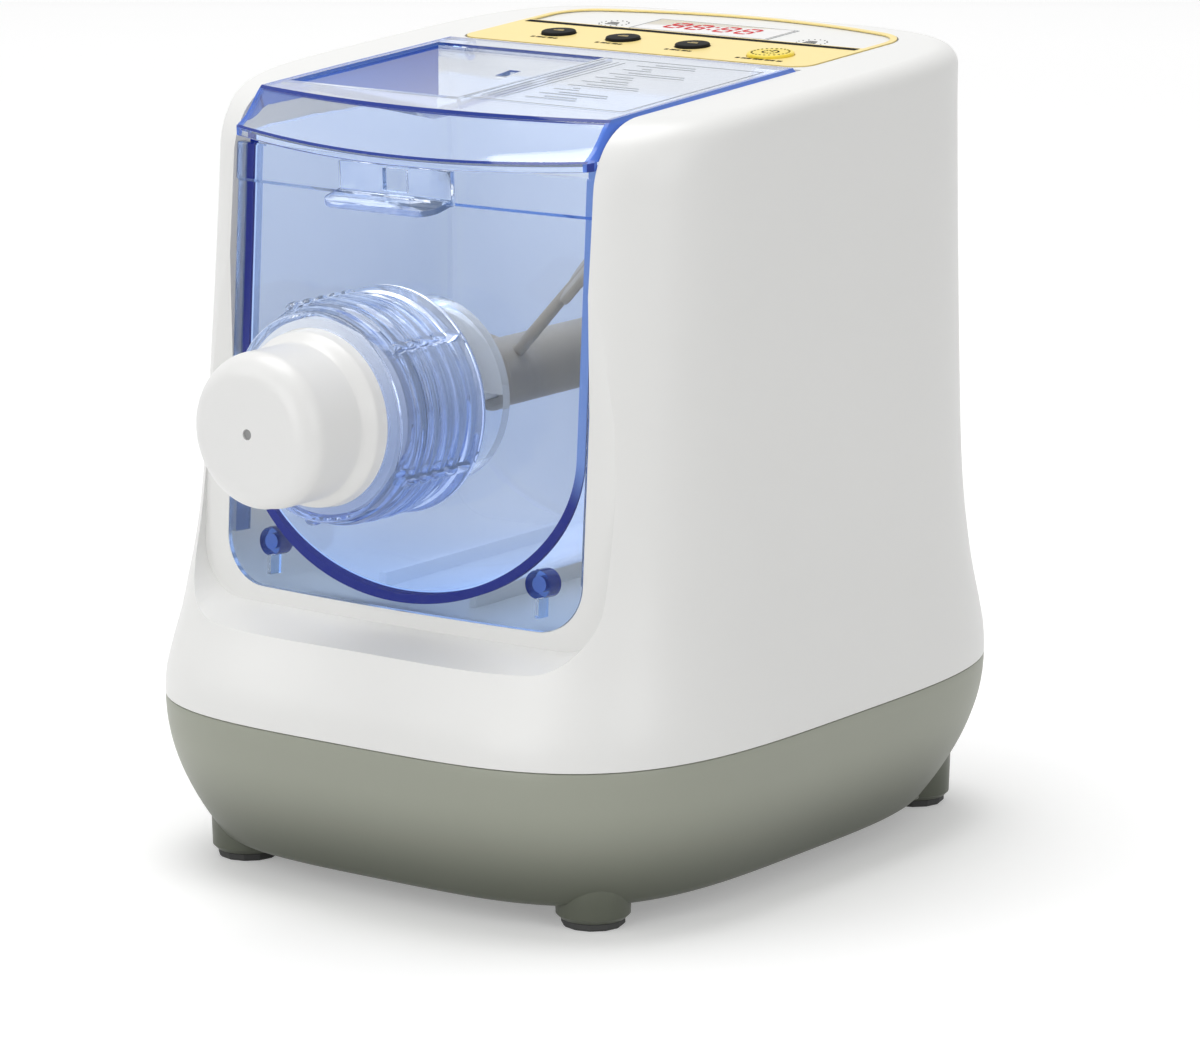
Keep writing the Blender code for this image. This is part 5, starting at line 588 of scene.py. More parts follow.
rubber = moulded("rubber", RUBBER, 0.78, 0.00004, settings={"Drift": 0.10, "Grain Scale": 900.0})
steel = moulded("steel", STEEL, 0.22, 0.000004, BRUSHED_GROUP, Metallic=1.0)
dress(
    rubber, "rubber", "foot_pad_front_left", "foot_pad_front_right", "foot_pad_rear_left",
    "foot_pad_rear_right",
)
dress(
    steel, "steel", "case_screw_front_left", "case_screw_front_right", "case_screw_rear_left",
    "case_screw_rear_right",
)

# ---------------------------------------------------------------------------------------------
# Electrics in the base: the power board on its standoffs, and the black mains inlet with three
# flat pins set deep in it.
BLACK = (0.012, 0.012, 0.012)
BOARD_GREEN = (0.020, 0.130, 0.055)
DARK_GREY = (0.045, 0.046, 0.048)
black = moulded(
    "black_plastic", BLACK, 0.65, settings={"Drift": 0.12, "Grain Scale": 2200.0},
    Specular_IOR_Level=0.08,
)
board_green = moulded(
    "circuit_board", BOARD_GREEN, 0.34, 0.00003, settings={"Drift": 0.25, "Grain Scale": 420.0},
)
dark_grey = moulded("dark_module", DARK_GREY, 0.48, settings={"Drift": 0.12, "Grain Scale": 1800.0})
dress(board_green, "circuit_board", "power_board", "control_board")
dress(black, "black_plastic", "power_inlet", "lid_switch", "cooling_fan")

# ---------------------------------------------------------------------------------------------
# Drive behind the trough: a steel motor can with its fan and pinion, a nylon compound idler and
# output gear on ball bearings, in a two-part moulded gearbox.
NYLON = (0.70, 0.68, 0.60)
nylon = moulded("gear_nylon", NYLON, 0.42, settings={"Drift": 0.04})
dress(nylon, "gear_nylon", "idler_gear", "output_gear")
dress(
    steel, "steel", "motor_housing", "motor_shaft", "motor_pinion", "idler_axle", "output_shaft",
    "front_bearing", "rear_bearing", "cover_screw_bottom", "cover_screw_left", "cover_screw_right",
    "hinge_pin_left", "hinge_pin_right",
)
dress(dark_grey, "dark_module", "gearbox_housing", "gearbox_cover", "display_module")

# ---------------------------------------------------------------------------------------------
# Housing: one white ABS moulding that flares out to the base, with a sloping top, a deep notch
# for the window and lid, a shallow flat round the window and a pocket for the control panel.
TOP_HEIGHT = 0.2900
FRONT_LEAN = math.radians(3.7)
TOP_SLOPE = math.radians(3.03)
SIDE_EDGE_RADIUS = 0.0075
FRONT_EDGE_RADIUS = 0.023
REAR_EDGE_RADIUS = 0.009
BODY_CORNER = 4.5
TOP_REAR_CORNER = 4.2
HOUSING_WALL = 0.0026
FLARE_SHARES = (
    (0.0, 1.0), (0.04, 0.97), (0.085, 0.82), (0.14, 0.60), (0.206, 0.42), (0.277, 0.28),
    (0.35, 0.20), (0.455, 0.14), (0.61, 0.08), (0.80, 0.03), (1.0, 0.0),
)
WALL_ROWS, EDGE_ROWS = 30, 16
INNER_WALL_ROWS, INNER_EDGE_ROWS = 12, 6
ROW_EASE = 1.3
NOTCH_HALF_WIDTH = 0.0803
NOTCH_FLOOR = 0.1058
NOTCH_REAR = 0.0232
NOTCH_CORNER_RADIUS = 0.018
WELL_WALL = 0.0026
CORNER_STEPS = 12
PLATE_REACH = 0.1126
PLATE_BOW = 0.0045
FLAT_HALF_WIDTH = 0.092
FLAT_COLUMNS = 20
FLAT_CREASE_HEIGHT = 0.088
FLAT_INNER_HEIGHT = 0.1000
FLAT_CORNER_RADIUS = 0.020
FLAT_SETBACK = 0.0012
FLAT_REACH = 0.150
FLAT_FADE = 0.060
FLAT_FADE_DEPTH = 0.005
LEDGE_WIDTH = 0.0045
LEDGE_DEPTH = 0.0060
POCKET_DEPTH = 0.0024
PANEL_FRONT = 0.0262
PANEL_HALF_WIDTH = 0.0790
PANEL_FRONT_RADIUS = 0.0080
PANEL_CORNER_RADIUS = 0.0200
PANEL_SHOULDER = 0.0830
PANEL_REAR = 0.1120
PANEL_REAR_BOW = 0.0092
AXIS_HEIGHT = 0.1826
HUB_RADIUS = 0.0090
RAIL_OFFSET = 0.0205
RAIL_WIDTH = 0.0030
RAIL_SETBACK = 0.0170
RAIL_TOP = 0.11157
BOSS_LENGTH = 0.0140
SCREW_END = 0.0753
PIN_RADIUS = 0.0020
WHITE = (0.800, 0.800, 0.785)

IN_TOP = IN_BODY @ Matrix.Translation((0, 0, TOP_HEIGHT)) @ Matrix.Rotation(TOP_SLOPE, 4, "X")
AT_NOTCH = Matrix.Translation((0, -PLATE_REACH, NOTCH_FLOOR))
IN_FRONT = IN_BODY @ AT_NOTCH @ Matrix.Rotation(-FRONT_LEAN, 4, "X")


def flare_share(height_share):
    """The share of the flare left at a height, on a smooth curve through the table."""
    last = len(FLARE_SHARES) - 1
    for i in range(last):
        (low, first), (high, second) = FLARE_SHARES[i], FLARE_SHARES[i + 1]
        if height_share <= high:
            before, after = FLARE_SHARES[max(i - 1, 0)], FLARE_SHARES[min(i + 2, last)]
            slope_low = (second - before[1]) / (high - before[0]) if i else 0.0
            slope_high = (after[1] - first) / (after[0] - low)
            run, t = high - low, (height_share - low) / (high - low)
            return (
                (2 * t**3 - 3 * t**2 + 1) * first + (t**3 - 2 * t**2 + t) * run * slope_low
                + (3 * t**2 - 2 * t**3) * second + (t**3 - t**2) * run * slope_high
            )
    return 0.0


def rounding(radius, below):
    return radius - math.sqrt(radius**2 - (radius - below) ** 2) if below < radius else 0.0


def housing_point(angle, height, wall):
    rise = TOP_HEIGHT - PARTING_HEIGHT
    share = min(1.0, max(0.0, (height - PARTING_HEIGHT) / rise))
    flare, below = flare_share(share), max(0.0, TOP_HEIGHT - height)
    lean = math.tan(FRONT_LEAN) * max(0.0, height - NOTCH_FLOOR)
    corner = BODY_CORNER + (FLARED_CORNER - BODY_CORNER) * flare
    x, y = squircle(
        angle, BODY_HALF_WIDTH + FLARE_SIDE * flare - rounding(SIDE_EDGE_RADIUS, below) - wall,
        BODY_FRONT + FLARE_FRONT * flare - lean - rounding(FRONT_EDGE_RADIUS, below) - wall,
        BODY_REAR + FLARE_REAR * flare - rounding(REAR_EDGE_RADIUS, below) - wall,
        corner, corner + (TOP_REAR_CORNER - BODY_CORNER) * share**2,
    )
    inset = wall if height > PARTING_HEIGHT + GAP else 0.0
    return Vector((x, y, height - inset + math.tan(TOP_SLOPE) * share * y))


def housing_form(wall, foot, columns, wall_rows, edge_rows):
    """The housing's solid outline from a foot height to its rounded top edge, set in by a wall."""
    edge = TOP_HEIGHT - FRONT_EDGE_RADIUS
    heights = [foot]
    for i in range(1, wall_rows):
        heights.append(PARTING_HEIGHT + (edge - PARTING_HEIGHT) * (i / wall_rows) ** ROW_EASE)
    for i in range(edge_rows + 1):
        angle = math.pi / 2 * i / edge_rows
        heights.append(TOP_HEIGHT - FRONT_EDGE_RADIUS * (1 - math.sin(angle)))
    bm = bmesh.new()
    last = len(heights) - 1
    skin(bm, columns, last, lambda u, v: housing_point(math.tau * u, heights[round(v * last)], wall))
    return close(bm)


def outline_solid(outline, run):
    """A flat outline drawn out along run."""
    bm = bmesh.new()
    face = bm.faces.new([bm.verts.new(point) for point in outline])
    drawn = bmesh.ops.extrude_face_region(bm, geom=[face])["geom"]
    moved = [item for item in drawn if isinstance(item, bmesh.types.BMVert)]
    bmesh.ops.translate(bm, verts=moved, vec=Vector(run))
    return bm


def notch_outline(half_width, floor, top, radius, y):
    """Front view of the notch: an open top and two round lower corners."""
    points = [Vector((-half_width, y, top))]
    for side, first in ((-1, 180), (1, 270)):
        for i in range(CORNER_STEPS + 1):
            angle = math.radians(first + 90 * i / CORNER_STEPS)
            x = side * (half_width - radius) + radius * math.cos(angle)
            points.append(Vector((x, y, floor + radius + radius * math.sin(angle))))
    return points + [Vector((half_width, y, top))]


def notch_space(wall):
    """The space of the notch grown by a wall, which runs out at the front and the top."""
    outline = notch_outline(
        NOTCH_HALF_WIDTH + wall, NOTCH_FLOOR - wall, TOP_HEIGHT + OVERRUN * 2,
        NOTCH_CORNER_RADIUS + wall, NOTCH_REAR + wall,
    )
    return outline_solid(outline, (0, -NOTCH_REAR - wall - FLAT_REACH, 0))


def panel_outline(inset, z, front=PANEL_FRONT, front_radius=PANEL_FRONT_RADIUS):
    """Plan of the control panel: round front corners, round shoulders and a bowed rear edge."""
    half, corner = PANEL_HALF_WIDTH - inset, PANEL_CORNER_RADIUS - inset
    last = math.pi / 2 - math.atan(2 * PANEL_REAR_BOW / (PANEL_HALF_WIDTH - PANEL_CORNER_RADIUS))
    steps = CORNER_STEPS
    right = []
    for i in range(steps + 1):
        angle = -math.pi / 2 * (1 - i / steps)
        x = half - front_radius * (1 - math.cos(angle))
        right.append((x, front + inset + front_radius * (1 + math.sin(angle))))
    for i in range(steps + 1):
        angle = last * i / steps
        x = half - corner * (1 - math.cos(angle))
        right.append((x, PANEL_SHOULDER + corner * math.sin(angle)))
    edge_x, edge_y = right[-1]
    rear = PANEL_REAR - inset
    for i in range(1, steps):
        right.append((edge_x * (1 - i / steps), rear - (rear - edge_y) * (1 - i / steps) ** 2))
    if not front_radius:
        right = right[steps:]
    points = right + [(0.0, rear)] + [(-x, y) for x, y in reversed(right)]
    return [Vector((x, y, z)) for x, y in points]


def plate_bow(x, half_width=NOTCH_HALF_WIDTH):
    return PLATE_BOW * (1 - (x / half_width) ** 2)


def flat_form(wall):
    """The space in front of the flat round the window, whose floor slopes out to a soft crease."""
    corner = FLAT_HALF_WIDTH - FLAT_CORNER_RADIUS
    outer = corner + FLAT_CORNER_RADIUS + wall
    steps = CORNER_STEPS
    side = [corner + (outer - corner) * math.sin(math.pi / 2 * i / steps) for i in range(steps + 1)]
    level = [corner * (2 * i / FLAT_COLUMNS - 1) for i in range(1, FLAT_COLUMNS)]
    stations = [-x for x in reversed(side)] + level + side
    high = TOP_HEIGHT - NOTCH_FLOOR - FRONT_EDGE_RADIUS * 2 + wall

    def surface(u, v):
        x = stations[round(u * (len(stations) - 1))]
        beyond = max(0.0, (abs(x) - corner) / (outer - corner))
        lift = (outer - corner) * (1 - math.sqrt(max(0.0, 1 - beyond**2))) - wall
        near = FLAT_SETBACK + wall - plate_bow(x, FLAT_HALF_WIDTH)
        inner = FLAT_INNER_HEIGHT - NOTCH_FLOOR + lift
        fall = (FLAT_INNER_HEIGHT - FLAT_CREASE_HEIGHT) / (BODY_FRONT + FLARE_FRONT - PLATE_REACH)
        corners = (
            (near, inner), (near, high - FLAT_FADE), (near - FLAT_FADE_DEPTH, high),
            (-FLAT_REACH, high), (-FLAT_REACH, inner - fall * FLAT_REACH),
        )
        y, z = corners[round(v * 5) % 5]
        return Vector((x, y, z))

    bm = bmesh.new()
    skin(bm, len(stations) - 1, 5, surface)
    return close(bm)


white = moulded("white_plastic", WHITE, 0.34, settings={"Drift": 0.012})
form = housing_form(0.0, PARTING_HEIGHT + GAP, BODY_COLUMNS, WALL_ROWS, EDGE_ROWS)
housing = mesh_piece(form, "housing", white, place=IN_BODY)

form = housing_form(
    HOUSING_WALL, PARTING_HEIGHT - OVERRUN, INNER_COLUMNS, INNER_WALL_ROWS, INNER_EDGE_ROWS,
)
hollow = mesh_piece(form, "hollow")
combine(hollow, notch_space(WELL_WALL), Matrix())
tray = outline_solid(panel_outline(-WELL_WALL, -LEDGE_DEPTH), (0, 0, LEDGE_DEPTH + OVERRUN))
combine(hollow, tray, IN_BODY.inverted() @ IN_TOP)
combine(hollow, flat_form(HOUSING_WALL), IN_BODY.inverted() @ IN_FRONT)
combine(housing, taken(hollow))
combine(housing, notch_space(0.0))
bm = bmesh.new()
near, far = RAIL_OFFSET - RAIL_WIDTH / 2, RAIL_OFFSET + RAIL_WIDTH / 2
rail_front, rail_foot = -PLATE_REACH + RAIL_SETBACK, NOTCH_FLOOR - BURIED
for low, high in ((-far, -near), (near, far)):
    block(bm, (low, rail_front, rail_foot), (high, NOTCH_REAR + BURIED, RAIL_TOP))
combine(housing, bm, operation="UNION")
combine(housing, flat_form(0.0), IN_FRONT)
pocket = outline_solid(panel_outline(-GAP, -POCKET_DEPTH), (0, 0, POCKET_DEPTH + OVERRUN))
combine(housing, pocket, IN_TOP)
outline = panel_outline(LEDGE_WIDTH, -LEDGE_DEPTH - OVERRUN)
combine(housing, outline_solid(outline, (0, 0, LEDGE_DEPTH + OVERRUN * 2)), IN_TOP)
ends = [(0, NOTCH_REAR + over, AXIS_HEIGHT) for over in (-OVERRUN, OVERRUN)]
combine(housing, rod(bmesh.new(), HUB_RADIUS + GAP, *ends))
boss_low = PARTING_HEIGHT + GAP
bosses = posts(SCREW_PLACES, BOSS_RADIUS, boss_low, boss_low + BOSS_LENGTH, HOLE_SIDES)
combine(housing, bosses, operation="UNION")
combine(housing, posts(SCREW_PLACES, SCREW_HOLE_RADIUS, 0, SCREW_END, SMALL_HOLE_SIDES))
pin_low, pin_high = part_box("hinge_pin_left")
pin = (pin_low + pin_high) / 2
bm = bmesh.new()
for side in (-1, 1):
    ends = [(side * (NOTCH_HALF_WIDTH + over), pin.y, pin.z) for over in (-OVERRUN, OVERRUN)]
    rod(bm, PIN_RADIUS + GAP, *ends, HOLE_SIDES)
combine(housing, bm, Matrix())
shade(housing)
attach(housing, "machine")
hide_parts("main_housing")

# ---------------------------------------------------------------------------------------------
# Mixing trough: a clear blue U-shaped moulding behind the window, its front rim wrapped by a navy
# silicone seal, with two ears that sit on the window's bosses and a rubber shaft seal at the rear.
TROUGH_CENTRE_HEIGHT = 0.1680
TROUGH_HALF_WIDTH = 0.0762
TROUGH_DEPTH = 0.0582
TROUGH_WALL = 0.0025
TROUGH_REAR = 0.0185
TROUGH_DROP = 0.0150
TROUGH_FRONT_SETBACK = 0.0085
TROUGH_ARC_STEPS = 64
EAR_SIDES = 40
EAR_RADIUS = 0.0065
EAR_THICKNESS = 0.0045
EAR_PIN_RADIUS = 0.0026
SEAL_COVER = 0.0020
SEAL_PROUD = 0.0013
SHAFT_SEAL_RADIUS = 0.0105
PLATE_THICKNESS = 0.003
WINDOW_BOSS_OFFSET = 0.060486
WINDOW_BOSS_HEIGHT = 0.0165
WINDOW_BOSS_DEPTH = 0.007
CLEAR_BLUE = (0.87, 0.915, 0.99)
NAVY = (0.002, 0.014, 0.230)
NAVY_TOP = 0.150
SEAL_LIT_RISE = 0.012
SEAL_LIT_SHARES = (0.94, 1.10)
SEAL_PAINTED_LIGHT = (0.200, 0.330, 0.720)
PAINTED_GLOW_BLUE = (0.50, 0.66, 1.0)
TROUGH_PAINTED_GLOW = 0.15
PLASTIC_IOR = 1.49
QUIET_IOR = 1.26
LID_PAINTED_GLOW = 0.04
PALE_BLUE = (0.24, 0.36, 0.66)
WINDOW_PAINTED_SHADE = (0.56, 0.71, 0.95)
WINDOW_PAINTED_SHADE_TOP = 0.045
EDGE_BLUE = (0.090, 0.220, 0.760)
DEEP_BLUE = (0.008, 0.032, 0.270)


def trough_outline(margin, top, y):
    half, depth = TROUGH_HALF_WIDTH + margin, TROUGH_DEPTH + margin
    points = [Vector((-half, y, top))]
    for i in range(TROUGH_ARC_STEPS + 1):
        angle = math.pi * (1 + i / TROUGH_ARC_STEPS)
        height = TROUGH_CENTRE_HEIGHT + depth * math.sin(angle)
        points.append(Vector((half * math.cos(angle), y, height)))
    return points + [Vector((half, y, top))]


def trough_underside(x, margin):
    share = x / (TROUGH_HALF_WIDTH + margin)
    return TROUGH_CENTRE_HEIGHT - (TROUGH_DEPTH + margin) * math.sqrt(1 - share**2)


def trough_top():
    """The space over the trough and its seal."""
    low = (-BODY_HALF_WIDTH, -BODY_FRONT - OVERRUN, -TROUGH_DROP)
    return block(bmesh.new(), low, (BODY_HALF_WIDTH, TROUGH_REAR + OVERRUN, OVERRUN * 2))


def boss_rods(radius, near, far, sides=HOLE_SIDES):
    """A pair of bars along Y at the window's two bosses."""
    bm = bmesh.new()
    for x in (-WINDOW_BOSS_OFFSET, WINDOW_BOSS_OFFSET):
        rod(bm, radius, (x, near, WINDOW_BOSS_HEIGHT), (x, far, WINDOW_BOSS_HEIGHT), sides)
    return bm


def bowed_form(section, columns):
    """A (y, z) section drawn across the window along its bow, in the window's leaning frame."""
    def surface(u, v):
        x = NOTCH_HALF_WIDTH * (2 * u - 1)
        y, z = section[round(v * len(section)) % len(section)]
        return Vector((x, y - plate_bow(x), z))

    bm = bmesh.new()
    skin(bm, columns, len(section), surface)
    return close(bm)


def clear_plastic(name, colour, transmission, shade_share, glow=0.0, ior=PLASTIC_IOR):
    """Tinted clear plastic; lamps and bounced light shine in through all but a share of it, and a
    glow of painted light can be added.
    """
    material = moulded(
        name, colour, 0.04, 0.000006,
        settings={"Drift": 0.015, "Polish Drift": 0.03, "Grain Scale": 260.0},
        Transmission_Weight=transmission, IOR=ior, Specular_IOR_Level=0.3,
        Emission_Color=(*PAINTED_GLOW_BLUE, 1), Emission_Strength=glow,
    )
    tree = material.node_tree
    path = tree.nodes.new("ShaderNodeLightPath")
    unseen = math_node(
        tree, "MAXIMUM", path.outputs["Is Shadow Ray"], path.outputs["Is Diffuse Ray"],
    )
    seen = between(tree, unseen, 1.0, shade_share)
    tree.links.new(seen, tree.nodes["Principled BSDF"].inputs["Alpha"])
    return material


clear = clear_plastic("clear_blue_plastic", CLEAR_BLUE, 1.0, 0.02, ior=QUIET_IOR)
# Painted shade: the window's clear blue deepens towards the notch floor.
gather(clear, WINDOW_PAINTED_SHADE, (0, 0, NOTCH_FLOOR + WINDOW_PAINTED_SHADE_TOP), (0, 0, NOTCH_FLOOR))
# Painted light: the lid, catch and trough plastics glow faintly blue, as if lit from within.
lit_clear = clear_plastic("lit_blue_plastic", CLEAR_BLUE, 1.0, 0.02, LID_PAINTED_GLOW)
trough_clear = clear_plastic("trough_blue_plastic", CLEAR_BLUE, 1.0, 0.02, TROUGH_PAINTED_GLOW)
# Painted light and shade: the pale and edge blues stand in for light gathering in edges and flanges,
# and the deep blue for shade in creases and along edge lines.
pale_blue = clear_plastic("clear_blue_flanges", PALE_BLUE, 0.7, 0.2)
edge_blue = clear_plastic("clear_blue_edges", EDGE_BLUE, 0.45, 0.3)
deep_blue = clear_plastic("clear_blue_creases", DEEP_BLUE, 0.1, 0.3)
navy = moulded("navy_seal", NAVY, 0.60, settings={"Drift": 0.10}, Specular_IOR_Level=0.05)
# Painted light: the navy seal turns a lighter blue towards its upper right end.
lit_from, lit_to = (TROUGH_HALF_WIDTH * share for share in SEAL_LIT_SHARES)
gather(navy, SEAL_PAINTED_LIGHT, (lit_from, 0, NAVY_TOP), (lit_to, 0, NAVY_TOP + SEAL_LIT_RISE))

trough_run = (0, -TROUGH_REAR - PLATE_REACH, 0)
form = outline_solid(trough_outline(0.0, TOP_HEIGHT, TROUGH_REAR), trough_run)
trough = mesh_piece(form, "trough", trough_clear, place=IN_BODY)
outline = trough_outline(-TROUGH_WALL, TOP_HEIGHT + OVERRUN, TROUGH_REAR - TROUGH_WALL)
combine(trough, outline_solid(outline, (0, -TROUGH_REAR - PLATE_REACH - OVERRUN, 0)))
low = (-BODY_HALF_WIDTH, -BODY_FRONT - OVERRUN, 0)
high = (BODY_HALF_WIDTH, TROUGH_FRONT_SETBACK - PLATE_BOW, TOP_HEIGHT)
combine(trough, block(bmesh.new(), low, high), IN_FRONT)
plate_rear = PLATE_THICKNESS - plate_bow(WINDOW_BOSS_OFFSET)
ear_front = PLATE_THICKNESS + WINDOW_BOSS_DEPTH + GAP
ear_rear = ear_front + EAR_THICKNESS
ear_root = trough_underside(WINDOW_BOSS_OFFSET, 0.0) + TROUGH_WALL / 2 - NOTCH_FLOOR
ear_height = WINDOW_BOSS_HEIGHT
bm = bmesh.new()
for x in (-WINDOW_BOSS_OFFSET, WINDOW_BOSS_OFFSET):
    rod(bm, EAR_RADIUS, (x, ear_front, ear_height), (x, ear_rear, ear_height), EAR_SIDES)
    block(bm, (x - EAR_RADIUS, ear_front, ear_height), (x + EAR_RADIUS, ear_rear, ear_root))
ears = mesh_piece(bm, "trough_ears")
pins = boss_rods(EAR_PIN_RADIUS, plate_rear + BURIED + GAP, ear_front + BURIED)
combine(ears, pins, Matrix(), "UNION")
ears = mesh_piece(taken(ears), "trough_ears", place=IN_FRONT)
outline = trough_outline(-TROUGH_WALL / 2, TOP_HEIGHT, TROUGH_REAR)
combine(ears, outline_solid(outline, trough_run))
combine(trough, taken(ears), Matrix(), "UNION")
combine(trough, trough_top(), IN_TOP)
ends = [(0, TROUGH_REAR + over, AXIS_HEIGHT) for over in (-OVERRUN, OVERRUN)]
combine(trough, rod(bmesh.new(), SHAFT_SEAL_RADIUS + GAP, *ends))
shade(trough)
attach(trough, "machine")
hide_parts("mixing_trough")

form = outline_solid(trough_outline(SEAL_PROUD, TOP_HEIGHT, 0), (0, -PLATE_REACH - OVERRUN, 0))
seal = mesh_piece(form, "trough_rim_seal", navy, place=IN_BODY)
outline = trough_outline(-SEAL_COVER, TOP_HEIGHT + OVERRUN, OVERRUN)
combine(seal, outline_solid(outline, (0, -PLATE_REACH - OVERRUN * 4, 0)))
low = (-BODY_HALF_WIDTH, TROUGH_FRONT_SETBACK - PLATE_BOW - GAP, -OVERRUN * 3)
combine(seal, block(bmesh.new(), low, (BODY_HALF_WIDTH, BODY_FRONT * 2, TOP_HEIGHT)), IN_FRONT)
front, behind = -OVERRUN * 3, PLATE_THICKNESS + GAP
section = ((front, -OVERRUN), (front, TOP_HEIGHT), (behind, TOP_HEIGHT), (behind, -OVERRUN))
combine(seal, bowed_form(section, FINE_SIDES), IN_FRONT)
combine(seal, trough_top(), IN_TOP)
shade(seal)
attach(seal, "machine")
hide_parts("trough_seal")
dress(rubber, "rubber", "shaft_seal")

# ---------------------------------------------------------------------------------------------
# Feed screw and paddle: a white acetal auger that feeds the die, and behind it a grey-brown
# three-armed paddle keyed on the same shaft. They turn together with the output shaft.
SCREW_RADIUS = 0.0282
SCREW_CORE_RADIUS = 0.0085
SCREW_PITCH = 0.023
SCREW_TURNS = 2.5
SCREW_STEPS = 40
FLIGHT_ROOT_WIDTH = 0.0052
FLIGHT_TIP_WIDTH = 0.0028
SCREW_NOSE_LENGTH = 0.006
SCREW_TIP_SHARES = (0.42, 0.62)
SCREW_TIP_DEPTH = 0.0012
PADDLE_HUB_RADIUS = 0.0125
PADDLE_HUB_LENGTH = 0.074
PADDLE_CHAMFER = 0.001
PADDLE_REAR_GAP = 0.0025
ARM_RADIUS = 0.0024
ARM_TIP_RADIUS = 0.0020
ARM_REACH = 0.066
BLADE_LENGTH = 0.026
BLADE_WIDTH = 0.021
BLADE_THICKNESS = 0.0032
BLADE_CORNER_RADIUS = 0.006
BLADE_EDGE_RADIUS = 0.0009
BLADE_TWIST = math.radians(28)
ARM_ANGLES = (47, 167, 287)
ARM_SETBACK_SHARES = (0.15, 0.50, 0.85)
ACETAL = (0.80, 0.80, 0.79)
PADDLE_BROWN = (0.40, 0.375, 0.33)

IN_AXIS = IN_BODY @ Matrix.Translation((0, 0, AXIS_HEIGHT)) @ Matrix.Rotation(math.pi / 2, 4, "X")


def turned(profile, steps=96):
    """A (radius, height) profile spun round the Z axis, closed at its poles."""
    bm = bmesh.new()
    points = [bm.verts.new((radius, 0, height)) for radius, height in profile]
    edges = [bm.edges.new(pair) for pair in zip(points, points[1:])]
    if all(radius > 0 for radius, _ in profile):
        edges.append(bm.edges.new((points[-1], points[0])))
    bmesh.ops.spin(
        bm, geom=points + edges, cent=(0, 0, 0), axis=(0, 0, 1), dvec=(0, 0, 0), angle=math.tau,
        steps=steps, use_merge=True,
    )
    bmesh.ops.remove_doubles(bm, verts=bm.verts, dist=MERGE)
    return bm


def helix(profile, pitch, turns, steps, start):
    """A closed (radius, height) profile wound upwards round the Z axis from a start height."""
    bm = bmesh.new()
    points = [bm.verts.new((radius, 0, start + height)) for radius, height in profile]
    edges = [bm.edges.new((points[i - 1], points[i])) for i in range(len(points))]
    bmesh.ops.spin(
        bm, geom=points + edges, cent=(0, 0, 0), axis=(0, 0, 1), dvec=(0, 0, pitch / steps),
        angle=math.tau * turns, steps=round(steps * turns),
    )
    return close(bm)


acetal = moulded("die_plastic", ACETAL, 0.30, settings={"Drift": 0.012})
paddle_brown = moulded("paddle_plastic", PADDLE_BROWN, 0.40, settings={"Drift": 0.05})
screw_low, screw_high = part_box("feed_screw")
screw_front = BODY_CENTRE.y - screw_low.y
core_rear = BODY_CENTRE.y - screw_high.y
nose = screw_front - SCREW_NOSE_LENGTH
tip, rim = (SCREW_CORE_RADIUS * share for share in SCREW_TIP_SHARES)
form = turned([
    (0, screw_front), (tip, screw_front), (rim, screw_front - SCREW_TIP_DEPTH),
    (SCREW_CORE_RADIUS, nose), (SCREW_CORE_RADIUS, core_rear), (0, core_rear),
])
screw = mesh_piece(form, "auger", acetal, place=IN_AXIS)
foot, root, tip = SCREW_CORE_RADIUS - BURIED, FLIGHT_ROOT_WIDTH / 2, FLIGHT_TIP_WIDTH / 2
flight = helix([
    (foot, -root), (SCREW_RADIUS - tip / 2, -tip), (SCREW_RADIUS, -tip / 2),
    (SCREW_RADIUS, tip / 2), (SCREW_RADIUS - tip / 2, tip), (foot, root),
], SCREW_PITCH, SCREW_TURNS, SCREW_STEPS, nose - SCREW_PITCH * SCREW_TURNS)
combine(screw, flight, IN_AXIS, "UNION")
shade(screw)
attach(screw, "mixer")
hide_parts("feed_screw")

hub_rear = core_rear + PADDLE_REAR_GAP
hub_front = hub_rear + PADDLE_HUB_LENGTH
rim, bore = PADDLE_HUB_RADIUS - PADDLE_CHAMFER, SCREW_CORE_RADIUS + GAP
form = turned([
    (rim, hub_front), (PADDLE_HUB_RADIUS, hub_front - PADDLE_CHAMFER),
    (PADDLE_HUB_RADIUS, hub_rear + PADDLE_CHAMFER), (rim, hub_rear), (bore, hub_rear),
    (bore, hub_front),
])
paddle = mesh_piece(form, "paddle", paddle_brown, place=IN_AXIS)
for degrees, share in zip(ARM_ANGLES, ARM_SETBACK_SHARES):
    angle = math.radians(degrees)
    place = Vector((0, -hub_front + PADDLE_HUB_LENGTH * share, AXIS_HEIGHT))
    out = Vector((math.cos(angle), 0, math.sin(angle)))
    ends = [place + out * reach for reach in (PADDLE_HUB_RADIUS - BURIED, ARM_REACH - BURIED)]
    arm = rod(bmesh.new(), ARM_RADIUS, *ends, HOLE_SIDES, ARM_TIP_RADIUS)
    combine(paddle, arm, operation="UNION")
    bm = bmesh.new()
    size = Matrix.Diagonal((BLADE_WIDTH, BLADE_LENGTH, BLADE_THICKNESS, 1))
    bmesh.ops.create_cube(bm, size=1.0, matrix=size)
    corners = [
        edge for edge in bm.edges
        if abs(edge.verts[0].co.z - edge.verts[1].co.z) > BLADE_THICKNESS / 2
    ]
    bmesh.ops.bevel(
        bm, geom=corners, offset=BLADE_CORNER_RADIUS, affect="EDGES", segments=5, profile=0.5,
        material=-1,
    )
    bmesh.ops.bevel(
        bm, geom=bm.edges[:], offset=BLADE_EDGE_RADIUS, affect="EDGES", segments=3, profile=0.5,
        material=-1,
    )
    turn = Matrix.Translation(place + out * (ARM_REACH - BLADE_WIDTH / 2))
    turn = turn @ Matrix.Rotation(-angle, 4, "Y") @ Matrix.Rotation(BLADE_TWIST, 4, "X")
    bm.transform(turn)
    combine(paddle, bm, operation="UNION")
shade(paddle)
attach(paddle, "mixer")
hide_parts("mixing_paddle")
